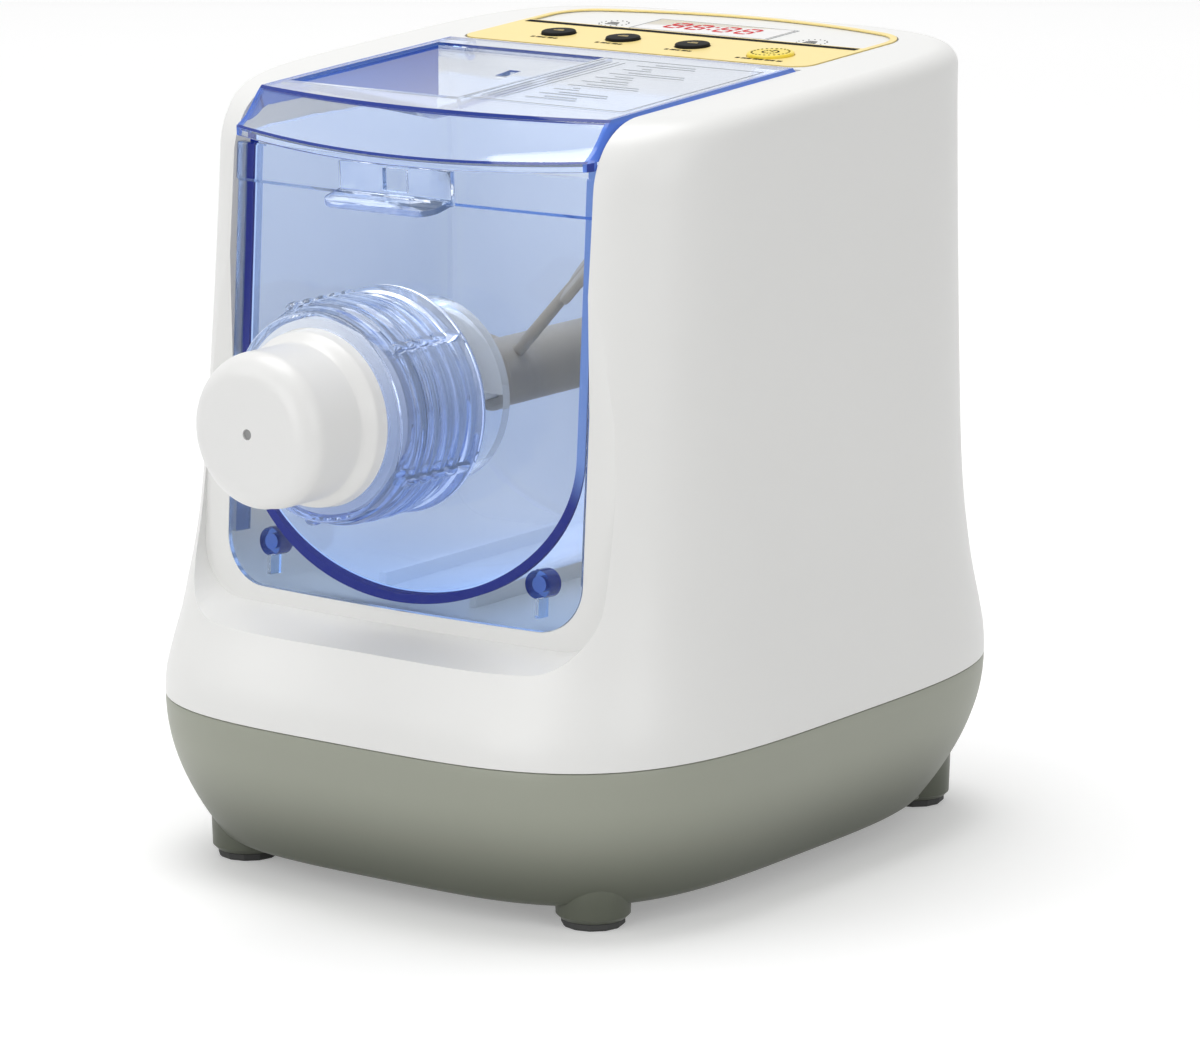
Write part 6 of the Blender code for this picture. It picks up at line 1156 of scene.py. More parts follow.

# ---------------------------------------------------------------------------------------------
# Window: a bowed clear plate that drops into the notch, thicker along its top, with a threaded
# neck for the nut, two bosses for the trough's ears and deep blue edges painted where light gathers.
WINDOW_TOP = 0.2665
BAND_HEIGHT = 0.013
BAND_PROUD = 0.0012
BAND_BLUE_FROM = 0.15
WINDOW_BOSS_RADIUS = 0.0052
WINDOW_BOSS_BORE = 0.003
RIB_THICKNESS = 0.0016
RIB_FOOT = 0.0045
WINDOW_COLUMNS = 72
WINDOW_BOSS_SIDES = 32
FACING = 0.7
EDGE_ON = 0.3
NECK_RADIUS = 0.0340
NECK_BORE = 0.0290
NECK_FRONT_REACH = 0.1513
NECK_INNER_LENGTH = 0.018
NECK_CHAMFER = 0.0006
NECK_SIDES = 96
THREAD_DEPTH = 0.0013
THREAD_PITCH = 0.006
THREAD_TURNS = 2
THREAD_WIDTH = 0.0030
THREAD_CREST_WIDTH = 0.0010
THREAD_START = 0.004
THREAD_STEPS = 48
PLATE_FLANGE_THICKNESS = 0.0020
PLATE_FLANGE_DEPTH = 0.0080

high = (WINDOW_TOP - NOTCH_FLOOR) / math.cos(FRONT_LEAN)
section = (
    (0.0, -OVERRUN), (0.0, high - BAND_HEIGHT - BAND_PROUD), (-BAND_PROUD, high - BAND_HEIGHT),
    (-BAND_PROUD, high - BURIED / 2), (-BAND_PROUD / 2, high), (PLATE_THICKNESS, high),
    (PLATE_THICKNESS, -OVERRUN),
)
window = mesh_piece(
    bowed_form(section, WINDOW_COLUMNS), "window", clear, pale_blue, deep_blue, edge_blue,
    place=IN_FRONT,
)
flange_looks, crease_looks, edge_looks = 1, 2, 3
bm = bmesh.new()
near, far = NOTCH_HALF_WIDTH - GAP - PLATE_FLANGE_THICKNESS, NOTCH_HALF_WIDTH + BURIED
flange_rear = PLATE_THICKNESS + PLATE_FLANGE_DEPTH
for left, right_side in ((-far, -near), (near, far)):
    block(bm, (left, BURIED, NOTCH_CORNER_RADIUS), (right_side, flange_rear, high - BURIED))
combine(window, bm, IN_FRONT, "UNION")
outline = notch_outline(
    NOTCH_HALF_WIDTH - GAP, NOTCH_FLOOR + GAP, TOP_HEIGHT, NOTCH_CORNER_RADIUS - GAP, 0,
)
combine(window, outline_solid(outline, (0, -FLAT_REACH, 0)), operation="INTERSECT")
rib_top = trough_underside(WINDOW_BOSS_OFFSET - RIB_THICKNESS, SEAL_PROUD)
rib_top = rib_top - NOTCH_FLOOR - RIB_THICKNESS
boss_front, boss_rear = plate_rear - BURIED, plate_rear + WINDOW_BOSS_DEPTH
bosses = boss_rods(WINDOW_BOSS_RADIUS, boss_front, boss_rear, WINDOW_BOSS_SIDES)
combine(window, bosses, IN_FRONT, "UNION")
bm = bmesh.new()
for x in (-WINDOW_BOSS_OFFSET, WINDOW_BOSS_OFFSET):
    left, right_side = x - RIB_THICKNESS / 2, x + RIB_THICKNESS / 2
    block(bm, (left, boss_front, RIB_FOOT), (right_side, boss_rear - BURIED, rib_top))
combine(window, bm, IN_FRONT, "UNION")
combine(window, boss_rods(WINDOW_BOSS_BORE, plate_rear + BURIED, boss_rear + OVERRUN), IN_FRONT)
axis_reach = PLATE_REACH + PLATE_BOW - math.tan(FRONT_LEAN) * (AXIS_HEIGHT - NOTCH_FLOOR)
neck_rear = axis_reach - PLATE_THICKNESS - NECK_INNER_LENGTH
neck = turned([
    (0, NECK_FRONT_REACH), (NECK_RADIUS - NECK_CHAMFER, NECK_FRONT_REACH),
    (NECK_RADIUS, NECK_FRONT_REACH - NECK_CHAMFER), (NECK_RADIUS, neck_rear), (0, neck_rear),
])
combine(window, neck, IN_AXIS, "UNION")
half, crest = THREAD_WIDTH / 2, THREAD_CREST_WIDTH / 2
root, top = NECK_RADIUS - BURIED, NECK_RADIUS + THREAD_DEPTH
thread = helix(
    [(root, -half), (top, -crest), (top, crest), (root, half)],
    THREAD_PITCH, THREAD_TURNS, THREAD_STEPS,
    NECK_FRONT_REACH - THREAD_START - THREAD_PITCH * THREAD_TURNS,
)
combine(window, thread, IN_AXIS, "UNION")
ends = (0, 0, neck_rear - OVERRUN), (0, 0, NECK_FRONT_REACH + OVERRUN)
combine(window, rod(bmesh.new(), NECK_BORE, *ends, NECK_SIDES), IN_AXIS)
# Painted light and shade by face: the flanges' sides, the lower edges and the left of the band's
# underside take the pale blue of painted light; the rest of that underside, the ribs and the boss
# ends take the deeper edge blue; and the bosses' round sides take the dark blue of painted shade.
for face in window.data.polygons:
    place = IN_FRONT.inverted() @ face.center
    normal, aside = face.normal, abs(place.x)
    at_edge = aside > NOTCH_HALF_WIDTH - PLATE_FLANGE_THICKNESS - GAP * 2
    at_side = at_edge and abs(normal.x) > FACING
    below = normal.z < -EDGE_ON and place.z < NOTCH_CORNER_RADIUS and abs(normal.y) < EDGE_ON
    from_boss = Vector((aside - WINDOW_BOSS_OFFSET, place.z - WINDOW_BOSS_HEIGHT)).length
    over_boss = WINDOW_BOSS_HEIGHT < place.z < rib_top
    on_rib = over_boss and abs(aside - WINDOW_BOSS_OFFSET) < RIB_THICKNESS
    behind = place.y + plate_bow(place.x) > PLATE_THICKNESS + GAP
    at_band = -BAND_PROUD < place.z - (high - BAND_HEIGHT) < 0
    if at_band and normal.z < -EDGE_ON and not behind:
        lit = place.x > NOTCH_HALF_WIDTH * BAND_BLUE_FROM
        face.material_index = edge_looks if lit else flange_looks
    elif behind and from_boss < WINDOW_BOSS_RADIUS * 1.05 and abs(normal.y) < EDGE_ON:
        face.material_index = crease_looks
    elif behind and (on_rib or from_boss < WINDOW_BOSS_RADIUS):
        face.material_index = edge_looks
    elif at_side or below:
        face.material_index = flange_looks
shade(window)
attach(window, "machine")
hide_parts("front_plate")

# ---------------------------------------------------------------------------------------------
# Die: a white turned cup with a round nose and a flange, a small pit in the middle of its face
# and nine holes in a flat underneath.
TIP_REACH = 0.1968
CUP_RADIUS = 0.0278
CUP_EDGE_RADIUS = 0.0095
CUP_LENGTH = 0.0275
NOSE_STEPS = 12
SKIRT_RADIUS = 0.0312
SKIRT_LENGTH = 0.0132
DIE_FLANGE_RADIUS = 0.0345
DIE_FLANGE_THICKNESS = 0.0045
CUP_WALL = 0.0032
CUP_BORE_MOUTH = 0.0272
CENTRE_PIT_RADIUS = 0.0019
CENTRE_PIT_DEPTH = 0.0008
DIE_HOLE_RADIUS = 0.0021
DIE_HOLE_SPACING = 0.0066
DIE_FLAT_DEPTH = 0.0016
DIE_FLAT_HALF_WIDTH = 0.011
DIE_FLAT_SETBACK = 0.0055
SHOULDER_STEPS = 8
TURNED_SIDES = 128
DIE_HOLE_SIDES = 20
PIT_PAINTED_SHADE = (0.30, 0.30, 0.30)

shoulder = TIP_REACH - CUP_LENGTH
flange = shoulder - SKIRT_LENGTH
flange_rear = flange - DIE_FLANGE_THICKNESS
profile = [(0, TIP_REACH)]
for i in range(NOSE_STEPS + 1):
    angle = math.radians(90 - 90 * i / NOSE_STEPS)
    radius = CUP_RADIUS - CUP_EDGE_RADIUS * (1 - math.cos(angle))
    profile.append((radius, TIP_REACH - CUP_EDGE_RADIUS * (1 - math.sin(angle))))
for i in range(SHOULDER_STEPS + 1):
    share = i / SHOULDER_STEPS
    swell = (1 - math.cos(math.pi * share)) / 2
    radius = CUP_RADIUS + (SKIRT_RADIUS - CUP_RADIUS) * swell
    profile.append((radius, shoulder - SKIRT_LENGTH / 2 * share))
inner = CUP_RADIUS - CUP_WALL
profile += [
    (SKIRT_RADIUS, flange), (DIE_FLANGE_RADIUS, flange), (DIE_FLANGE_RADIUS, flange_rear),
    (CUP_BORE_MOUTH, flange_rear), (CUP_BORE_MOUTH, shoulder - SKIRT_LENGTH / 2),
    (inner, shoulder), (inner, TIP_REACH - CUP_EDGE_RADIUS),
    (CUP_RADIUS - CUP_WALL * 2, TIP_REACH - CUP_WALL), (0, TIP_REACH - CUP_WALL),
]
# Painted shade: the centre pit is painted grey.
pit_shade = moulded("die_pit", PIT_PAINTED_SHADE, 0.5, settings={"Drift": 0.05})
die = mesh_piece(turned(profile, TURNED_SIDES), "die", acetal, pit_shade, place=IN_AXIS)
ends = [(0, -TIP_REACH + reach, AXIS_HEIGHT) for reach in (-OVERRUN, CENTRE_PIT_DEPTH)]
combine(die, rod(bmesh.new(), CENTRE_PIT_RADIUS, *ends, HOLE_SIDES))
under = AXIS_HEIGHT - CUP_RADIUS
low = (-DIE_FLAT_HALF_WIDTH, -TIP_REACH + DIE_FLAT_SETBACK, under - OVERRUN)
high = (DIE_FLAT_HALF_WIDTH, -shoulder - DIE_FLAT_DEPTH, under + DIE_FLAT_DEPTH)
combine(die, block(bmesh.new(), low, high))
middle_y = (-TIP_REACH + DIE_FLAT_SETBACK - shoulder - DIE_FLAT_DEPTH) / 2
places = [
    (DIE_HOLE_SPACING * column, middle_y + DIE_HOLE_SPACING * row)
    for row in (-1, 0, 1) for column in (-1, 0, 1)
]
holes = posts(places, DIE_HOLE_RADIUS, under - CUP_WALL, under + CUP_WALL * 2, DIE_HOLE_SIDES)
combine(die, holes)
tip = BODY_CENTRE + Vector((0, -TIP_REACH, AXIS_HEIGHT))
# The faces of the centre pit take the grey of painted shade.
for face in die.data.polygons:
    offset = face.center - tip
    near_pit = Vector((offset.x, offset.z)).length < CENTRE_PIT_RADIUS * 1.1
    if near_pit and CENTRE_PIT_DEPTH / 4 < offset.y < CENTRE_PIT_DEPTH * 1.2:
        face.material_index = 1
shade(die)
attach(die, "die")
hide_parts("die_cup")

# ---------------------------------------------------------------------------------------------
# Ring nut: a clear blue turned ring that screws onto the neck and clamps the die, with a smooth
# light bezel, a finely ribbed barrel and five beaded grip bars.
NUT_LIP_RADIUS = 0.0317
NUT_LIP_THICKNESS = 0.0026
NUT_BEZEL_RADIUS = 0.0376
NUT_BARREL_RADIUS = 0.0384
NUT_BULGE = 0.0008
NUT_RIB_HEIGHT = 0.0010
NUT_RIBS = 5
RIB_STEPS = 8
NUT_RIM_RADIUS = 0.0408
NUT_RIM_LENGTH = 0.0022
NUT_RIM_CHAMFER = 0.0005
NUT_SHOULDER = 0.0055
GRIPS = 5
GRIP_RADIUS = 0.0025
GRIP_BEADS = 5
BEAD_STEPS = 6
BEAD_SIDES = 20
BEAD_WAIST = 0.70
BEAD_SWELL = 0.30
BEAD_POWER = 0.6
GRIP_FIRST = math.radians(42)
NUT_PAINTED_SHADE = (0.340, 0.450, 0.760)


def round_edge(radius, height, edge, steps=4):
    """The (radius, height) points of a rounded outer edge, from the face outwards."""
    angles = [math.pi / 2 * i / steps for i in range(steps + 1)]
    return [
        (radius - edge * (1 - math.sin(angle)), height - edge * (1 - math.cos(angle)))
        for angle in angles
    ]


nut_low, nut_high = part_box("ring_nut")
nut_front = BODY_CENTRE.y - nut_low.y
nut_rear = BODY_CENTRE.y - nut_high.y
seat = nut_front - NUT_LIP_THICKNESS
bore = NECK_RADIUS + THREAD_DEPTH + GAP
barrel_front, barrel_rear = nut_front - NUT_SHOULDER, nut_rear + NUT_RIM_LENGTH
profile = [(NUT_LIP_RADIUS, nut_front), *round_edge(NUT_BEZEL_RADIUS, nut_front, BURIED)]
steps = NUT_RIBS * RIB_STEPS
for i in range(steps + 1):
    share = i / steps
    rib = NUT_RIB_HEIGHT * (1 - math.cos(math.tau * NUT_RIBS * share)) / 2
    swell = NUT_BULGE * math.sin(math.pi * share) + rib
    height = barrel_front + (barrel_rear - barrel_front) * share
    profile.append((NUT_BARREL_RADIUS + swell, height))
profile += [
    (NUT_RIM_RADIUS - NUT_RIM_CHAMFER, barrel_rear - BURIED / 2),
    (NUT_RIM_RADIUS, barrel_rear - BURIED), (NUT_RIM_RADIUS, nut_rear), (bore, nut_rear),
    (bore, seat), (NUT_LIP_RADIUS, seat),
]
# Painted light and shade: the nut glows faintly and deepens to a stronger blue towards its lower
# right.
nut_blue = clear_plastic("nut_blue_plastic", CLEAR_BLUE, 1.0, 0.02, LID_PAINTED_GLOW)
gather(
    nut_blue, NUT_PAINTED_SHADE, (-NUT_RIM_RADIUS / 2, 0, AXIS_HEIGHT + NUT_RIM_RADIUS),
    (NUT_RIM_RADIUS, 0, AXIS_HEIGHT - NUT_RIM_RADIUS / 2),
)
nut = mesh_piece(turned(profile, TURNED_SIDES), "ring_nut_clear", nut_blue, place=IN_AXIS)
bm = bmesh.new()
place = NUT_BARREL_RADIUS + NUT_BULGE
for grip in range(GRIPS):
    angle = GRIP_FIRST + math.tau * grip / GRIPS
    centre = Vector((place * math.cos(angle), 0, place * math.sin(angle)))

    def bead_surface(u, v):
        swell = abs(math.sin(math.pi * GRIP_BEADS * v))
        radius = GRIP_RADIUS * (BEAD_WAIST + BEAD_SWELL * swell**BEAD_POWER)
        x, z = radius * math.cos(math.tau * u), radius * math.sin(math.tau * u)
        y = -barrel_front + (barrel_front - barrel_rear) * v
        return centre + Vector((x, y, AXIS_HEIGHT + z))

    skin(bm, BEAD_SIDES, GRIP_BEADS * BEAD_STEPS, bead_surface)
close(bm)
combine(nut, bm, operation="UNION")
shade(nut, 40)
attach(nut, "nut")
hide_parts("ring_nut")

# ---------------------------------------------------------------------------------------------
# Lid: a clear blue moulding with turned-down edges and a visor over the window's top band, a
# funnel pressed into its left half and a plain field of printed lines on its right.
LID_HALF_WIDTH = 0.0799
LID_PROUD = 0.0010
LID_REAR = 0.0205
LID_CREASE_REACH = 0.091188
LID_CREASE_BOW = 0.0105
LID_LIP_REACH = 0.106488
LID_LIP_BOW = 0.0095
LID_LIP_DROP = 0.0130
LID_LIP_DIP = 0.0030
LID_THICKNESS = 0.0022
LID_SKIRT = 0.0085
LID_EDGE_RADIUS = 0.0017
LID_STATIONS = 56
VISOR_REACH_SHARES = (0.0, 0.08, 0.16, 0.24, 0.33, 0.42, 0.52, 0.62, 0.74, 0.86, 0.93, 1.0)
VISOR_DROP_SHARES = (0.02, 0.09, 0.17, 0.26, 0.38, 0.50, 0.61, 0.72, 0.82, 0.90, 0.95, 1.0)
LIP_HEIGHT = 0.0030
HINGE_SETBACK = 0.0040
HINGE_DROP = 0.0050
KNUCKLE_RADIUS = 0.0040
KNUCKLE_LENGTH = 0.014
KNUCKLE_SIDES = 32
FUNNEL_LEFT = -0.0745
FUNNEL_RIGHT = 0.0025
FUNNEL_FRONT_REACH = 0.079988
FUNNEL_REAR = 0.0085
FUNNEL_DEPTH = 0.0064
FUNNEL_VALLEY_INSET = 0.0090
FUNNEL_SLOT_WIDTH = 0.0050
FUNNEL_SLOT_LENGTH = 0.0090
FUNNEL_SLOT_PLACE = (-0.0198, -0.0207)
LID_EDGE_BAND = 0.0015
CREASE_LINE_SHARE = 0.042
LIP_LINE_SHARES = (0.94, 0.99)
FUNNEL_PALE = (0.110, 0.240, 0.720)
FUNNEL_PAINTED_SHADE = (0.020, 0.075, 0.430)
LABEL_LOW = (0.0040, -0.0790)
LABEL_HIGH = (0.0740, 0.0080)
LABEL_LINE = 0.0005
RULES = 4
RULE_INSET = 0.0035
RULE_STEP = 0.0030
RULE_MARGIN = 0.006
RULE_WEIGHT = 0.7
TEXT_ROWS = 9
TEXT_FRONT = 0.010
TEXT_STEP = 0.0085
TEXT_LENGTH = 0.022
TEXT_WANDER = 0.011
TEXT_TURN = 2.4
TEXT_BARS = ((0.020, 0.020, 0.0), (0.026, 0.018, 0.0035))
PRINT_THICKNESS = 0.00008
INK_GREY = (0.300, 0.320, 0.340)


def lid_line(x, shift_in=0.0, drop=0.0):
    """One fore-and-aft line of the lid's outer face."""
    share = 1 - (x / LID_HALF_WIDTH) ** 2
    crease = LID_CREASE_REACH + LID_CREASE_BOW * share
    lip = LID_LIP_REACH + LID_LIP_BOW * share
    lip_drop = LID_LIP_DROP + LID_LIP_DIP * share
    line = [(x, LID_REAR, LID_PROUD - drop), (x, -crease / 2, LID_PROUD - drop)]
    for reach_share, drop_share in zip(VISOR_REACH_SHARES, VISOR_DROP_SHARES):
        line.append((
            x, -(crease + (lip - crease) * reach_share) + shift_in,
            LID_PROUD - drop_share * lip_drop - drop * (1 - reach_share),
        ))
    line.append((x, -lip + shift_in, LID_PROUD - lip_drop - LIP_HEIGHT))
    return [Vector(point) for point in line]


def funnel_form(wall):
    """The funnel's pit grown by a wall: a level rim and a floor that falls to a front corner."""
    left, right = FUNNEL_LEFT - wall, FUNNEL_RIGHT + wall
    front, rear = -FUNNEL_FRONT_REACH - wall, FUNNEL_REAR + wall
    rim = LID_PROUD + (OVERRUN if wall == 0 else -BURIED / 4)
    low, shallow = LID_PROUD - FUNNEL_DEPTH - wall, LID_PROUD - wall - BURIED
    bm = bmesh.new()
    for corner in (
        (left, front, rim), (right, front, rim), (right, rear, rim), (left, rear, rim),
        (left, front, shallow), (left, rear, shallow), (right, rear, shallow),
        (FUNNEL_RIGHT - FUNNEL_VALLEY_INSET, front, low), (right, front, (low + shallow) / 2),
    ):
        bm.verts.new(corner)
    result = bmesh.ops.convex_hull(bm, input=bm.verts)
    spare = [item for item in result["geom_interior"] if isinstance(item, bmesh.types.BMVert)]
    bmesh.ops.delete(bm, geom=spare, context="VERTS")
    return bm


inner = LID_HALF_WIDTH - LID_EDGE_RADIUS
edge = (
    (LID_HALF_WIDTH, LID_EDGE_RADIUS * 2, LID_SKIRT),
    (LID_HALF_WIDTH, LID_EDGE_RADIUS, LID_EDGE_RADIUS), (inner, 0.0, 0.0),
)
lines = [lid_line(-x, shift_in, drop) for x, shift_in, drop in edge]
for i in range(LID_STATIONS + 1):
    lines.append(lid_line((inner - LID_EDGE_BAND) * (2 * i / LID_STATIONS - 1)))
lines += [lid_line(*station) for station in reversed(edge)]
columns, rows = len(lines) - 1, len(lines[0]) - 1
bm = bmesh.new()
skin(bm, columns, rows, lambda u, v: lines[round(u * columns)][round(v * rows)])
bmesh.ops.recalc_face_normals(bm, faces=bm.faces)
if max(bm.faces, key=lambda face: face.calc_area()).normal.z < 0:
    bmesh.ops.reverse_faces(bm, faces=bm.faces)
# Painted light and shade by face: the side bands take the edge blue of painted light, and thin lines
# along the visor's crease and lip take the dark blue of painted shade.
edge_looks, crease_looks, funnel_looks = 1, 2, 3
for face in bm.faces:
    place = face.calc_center_median()
    share = 1 - (place.x / LID_HALF_WIDTH) ** 2
    crease, lip = LID_CREASE_REACH + LID_CREASE_BOW * share, LID_LIP_REACH + LID_LIP_BOW * share
    forward = (-place.y - crease) / (lip - crease)
    at_lip = LIP_LINE_SHARES[0] < forward < LIP_LINE_SHARES[1]
    if 0 < forward < CREASE_LINE_SHARE or at_lip:
        face.material_index = crease_looks
    elif abs(place.x) > inner - LID_EDGE_BAND:
        face.material_index = edge_looks
lid_mesh = bpy.data.meshes.new("lid_clear")
bm.to_mesh(lid_mesh)
bm.free()
lid = add_object("lid_clear", lid_mesh)
# Painted shade: the funnel's sloping floor is painted a deeper blue, darkest towards its rear right.
funnel_blue = clear_plastic("funnel_blue_plastic", FUNNEL_PALE, 0.5, 0.2, ior=QUIET_IOR)
gather(
    funnel_blue, FUNNEL_PAINTED_SHADE, (FUNNEL_LEFT, -FUNNEL_FRONT_REACH, TOP_HEIGHT),
    (FUNNEL_LEFT * 0.2, 0, TOP_HEIGHT),
)
for look in (lit_clear, edge_blue, deep_blue, funnel_blue):
    lid_mesh.materials.append(look)
# Painted shade: the wall's rim faces take the darker blues.
wall_modifier = lid.modifiers.new("wall", "SOLIDIFY")
wall_modifier.thickness = LID_THICKNESS
wall_modifier.offset = -1.0
wall_modifier.use_even_offset = True
wall_modifier.material_offset_rim = crease_looks
apply_modifiers(lid)
lid.data.transform(IN_TOP)
combine(lid, funnel_form(LID_THICKNESS), IN_TOP, "UNION")
hinge = Vector((0, LID_REAR - HINGE_SETBACK, LID_PROUD - HINGE_DROP))
bm = bmesh.new()
for side in (-1, 1):
    outer = side * (LID_HALF_WIDTH - BURIED / 2)
    ends = [hinge + Vector((x, 0, 0)) for x in (outer, outer - side * KNUCKLE_LENGTH)]
    rod(bm, KNUCKLE_RADIUS, *ends, KNUCKLE_SIDES)
combine(lid, bm, IN_TOP, "UNION")
combine(lid, funnel_form(0.0), IN_TOP)
slot = Vector((*FUNNEL_SLOT_PLACE, 0))
half_slot = Vector((FUNNEL_SLOT_WIDTH / 2, FUNNEL_SLOT_LENGTH / 2, OVERRUN))
combine(lid, block(bmesh.new(), slot - half_slot, slot + half_slot), IN_TOP)
across = Vector((LID_HALF_WIDTH + OVERRUN, 0, 0))
pin_hole = rod(bmesh.new(), PIN_RADIUS + GAP, hinge - across, hinge + across, HOLE_SIDES)
combine(lid, pin_hole, IN_TOP)
out_of_top = IN_TOP.inverted()
# Painted shade: the funnel faces that fall to the right take the deeper blue.
for face in lid.data.polygons:
    place = out_of_top @ face.center
    lean = out_of_top.to_3x3() @ face.normal
    in_width = FUNNEL_LEFT < place.x < FUNNEL_RIGHT
    in_funnel = in_width and -FUNNEL_FRONT_REACH < place.y < FUNNEL_REAR
    falls_right = lean.z > 0.5 and lean.x > 0.03 and abs(lean.y) < 0.02
    if in_funnel and place.z < LID_PROUD - BURIED / 2 and falls_right:
        face.material_index = funnel_looks
shade(lid, 28)
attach(lid, "lid")
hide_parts("lid")

ink = moulded("grey_ink", INK_GREY, 0.55, settings={"Drift": 0.05})
face_z = LID_PROUD + PRINT_THICKNESS / 4


def printed(bm, low_x, low_y, high_x, high_y, z):
    """One thin printed bar on a face at height z."""
    block(bm, (low_x, low_y, z), (high_x, high_y, z + PRINT_THICKNESS))


bm = bmesh.new()
(left, front), (right_side, rear) = LABEL_LOW, LABEL_HIGH
for x in (left, right_side - LABEL_LINE):
    printed(bm, x, front, x + LABEL_LINE, rear, face_z)
for y in (front, rear - LABEL_LINE):
    printed(bm, left, y, right_side, y + LABEL_LINE, face_z)
for i in range(RULES):
    x = left + RULE_INSET + RULE_STEP * i
    printed(bm, x, front + RULE_MARGIN, x + LABEL_LINE * RULE_WEIGHT, rear - RULE_MARGIN, face_z)
for i in range(TEXT_ROWS):
    y = front + TEXT_FRONT + TEXT_STEP * i
    length = TEXT_LENGTH + TEXT_WANDER * math.sin(i * TEXT_TURN)
    for start, end, shift in TEXT_BARS:
        high_y = y + shift + LABEL_LINE
        printed(bm, left + start, y + shift, left + end + length, high_y, face_z)
label = mesh_piece(bm, "lid_label_print", ink, place=IN_TOP)
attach(label, "lid")

# ---------------------------------------------------------------------------------------------
# Catch: a clear moulded plate under the visor's middle with rounded edges, a small window and a
# wide finger tab that falls forward.
CATCH_HALF_WIDTH = 0.0250
CATCH_HEIGHT = 0.0125
CATCH_THICKNESS = 0.0022
CATCH_WINDOW = (0.0105, 0.0082)
CATCH_SETBACK = 0.0008
FINGER_REACH = 0.0130
FINGER_FALL = math.radians(9)
FINGER_RADIUS = 0.0070
CATCH_EDGE = 0.0004

reach = LID_LIP_REACH + LID_LIP_BOW - CATCH_SETBACK
high = LID_PROUD - LID_LIP_DROP - LID_LIP_DIP - LIP_HEIGHT - GAP
low = high - CATCH_HEIGHT
corners = (-CATCH_HALF_WIDTH, -reach, low), (CATCH_HALF_WIDTH, -reach + CATCH_THICKNESS, high)
catch = mesh_piece(block(bmesh.new(), *corners), "catch_clear", lit_clear, pale_blue, place=IN_TOP)
outline = [(CATCH_HALF_WIDTH, CATCH_THICKNESS - BURIED)]
for i in range(CORNER_STEPS + 1):
    angle = math.pi / 2 * i / CORNER_STEPS
    outline.append((
        CATCH_HALF_WIDTH - FINGER_RADIUS * (1 - math.cos(angle)),
        -FINGER_REACH + FINGER_RADIUS * (1 - math.sin(angle)),
    ))
outline += [(-x, y) for x, y in reversed(outline)]
tab = outline_solid([(x, y, 0) for x, y in outline], (0, 0, CATCH_THICKNESS))
place = Matrix.Translation((0, -reach, low + BURIED / 4)) @ Matrix.Rotation(FINGER_FALL, 4, "X")
combine(catch, tab, IN_TOP @ place, "UNION")
width, height = CATCH_WINDOW
centre = Vector((0, -reach, (high + low + CATCH_THICKNESS) / 2))
spread = Vector((width / 2, OVERRUN / 2, height / 2))
combine(catch, block(bmesh.new(), centre - spread, centre + spread), IN_TOP)
soften(catch, CATCH_EDGE, lambda a, b: True)
# Painted light: the small edge faces take the pale blue of light gathering in edges.
for face in catch.data.polygons:
    if face.area < CATCH_EDGE * CATCH_HALF_WIDTH * 2 and abs(face.normal.y) < 0.9:
        face.material_index = 1
shade(catch)
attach(catch, "lid")
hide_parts("lid_catch")

# ---------------------------------------------------------------------------------------------
# Control panel: a white plate let into the top, a yellow film with a band and a thin border round
# the plate's white field, and screen-printed marks. The display glows red behind a clear cover.
PANEL_THICKNESS = 0.0019
FILM_HIGH = 0.0003
FILM_THICKNESS = 0.0005
FILM_BORDER = 0.0028
BAND_REAR = 0.0668
BAND_LINE = 0.0036
BAND_LINE_SHARES = (0.6, 0.4)
BAND_LINE_END = 0.0757
POST_PLACES = ((-0.0600, 0.0900), (0.0600, 0.0900))
POST_RADIUS = 0.0035
POST_LOW = -0.0147
BUTTON_PLACES = ((-0.046926, 0.047515), (-0.016827, 0.047312), (0.015721, 0.046297))
BUTTON_NAMES = ("button_left", "button_middle", "button_right")
POWER_PLACE = (0.053088, 0.043008)
BUTTON_RADIUS = 0.0066
POWER_RADIUS = 0.0088
BUTTON_PROUD = 0.0012
BUTTON_FLANGE = 0.0015
BUTTON_FLANGE_THICKNESS = 0.0014
BUTTON_STEM_RADIUS = 0.0026
STEM_LOW = -0.0099
KEY_SIDES = 96
DISPLAY_PLACE = (-0.0011, 0.0839)
DISPLAY_HALF_WIDTH = 0.0305
DISPLAY_HALF_DEPTH = 0.0100
DISPLAY_BORDER = 0.0012
DISPLAY_EDGE_RADIUS = 0.0002
DIGIT_HALF_WIDTH = 0.0030
DIGIT_HALF_HEIGHT = 0.0050
DIGIT_SPACING = 0.0098
DIGIT_PLACES = (-1.65, -0.65, 0.65, 1.65)
SEGMENT = 0.0013
SEGMENT_TRIM = 0.6
DIGIT_SLANT = 0.15
ICON_PLACES = ((-0.0439, 0.0790), (0.0490, 0.0763))
ICON_RADIUS = 0.0058
ICON_DOTS = 16
ICON_BARS = ((0.0028, 0.0022), (0.0028, 0.0015))
ICON_BAR_STEP = 0.0018
ICON_BAR_CUT = 0.0008
MARK_DROP = 0.0105
MARK_SPACING = 0.0026
MARK_HEIGHT = 0.0017
MARK_SHARES = (0.55, 0.80)
KEY_MARKS = ((5, 2.2), (5, 2.2), (5, 2.2), (8, 3.4))
KEY_BARS = ((-0.0022, -0.0004, 0.0022, 0.0004), (-0.0012, 0.0010, 0.0016, 0.0016))
POWER_BAR = (-0.0004, 0.0006, 0.0004, 0.0042)
POWER_DOTS = 24
POWER_DOTS_SHARE = 0.80
POWER_ARC_RADIUS = 0.0030
POWER_ARC_START = 125
POWER_ARC_SWEEP = 290
POWER_ARC_DOTS = 14
DOT_SIDES = 8
COVER_GREY = (0.84, 0.83, 0.83)
YELLOW = (0.900, 0.720, 0.270)
BRIGHT_YELLOW = (0.880, 0.680, 0.045)
DIGIT_RED = (0.520, 0.010, 0.018)
INK_BLACK = (0.010, 0.010, 0.012)
GOLD = (0.480, 0.360, 0.120)

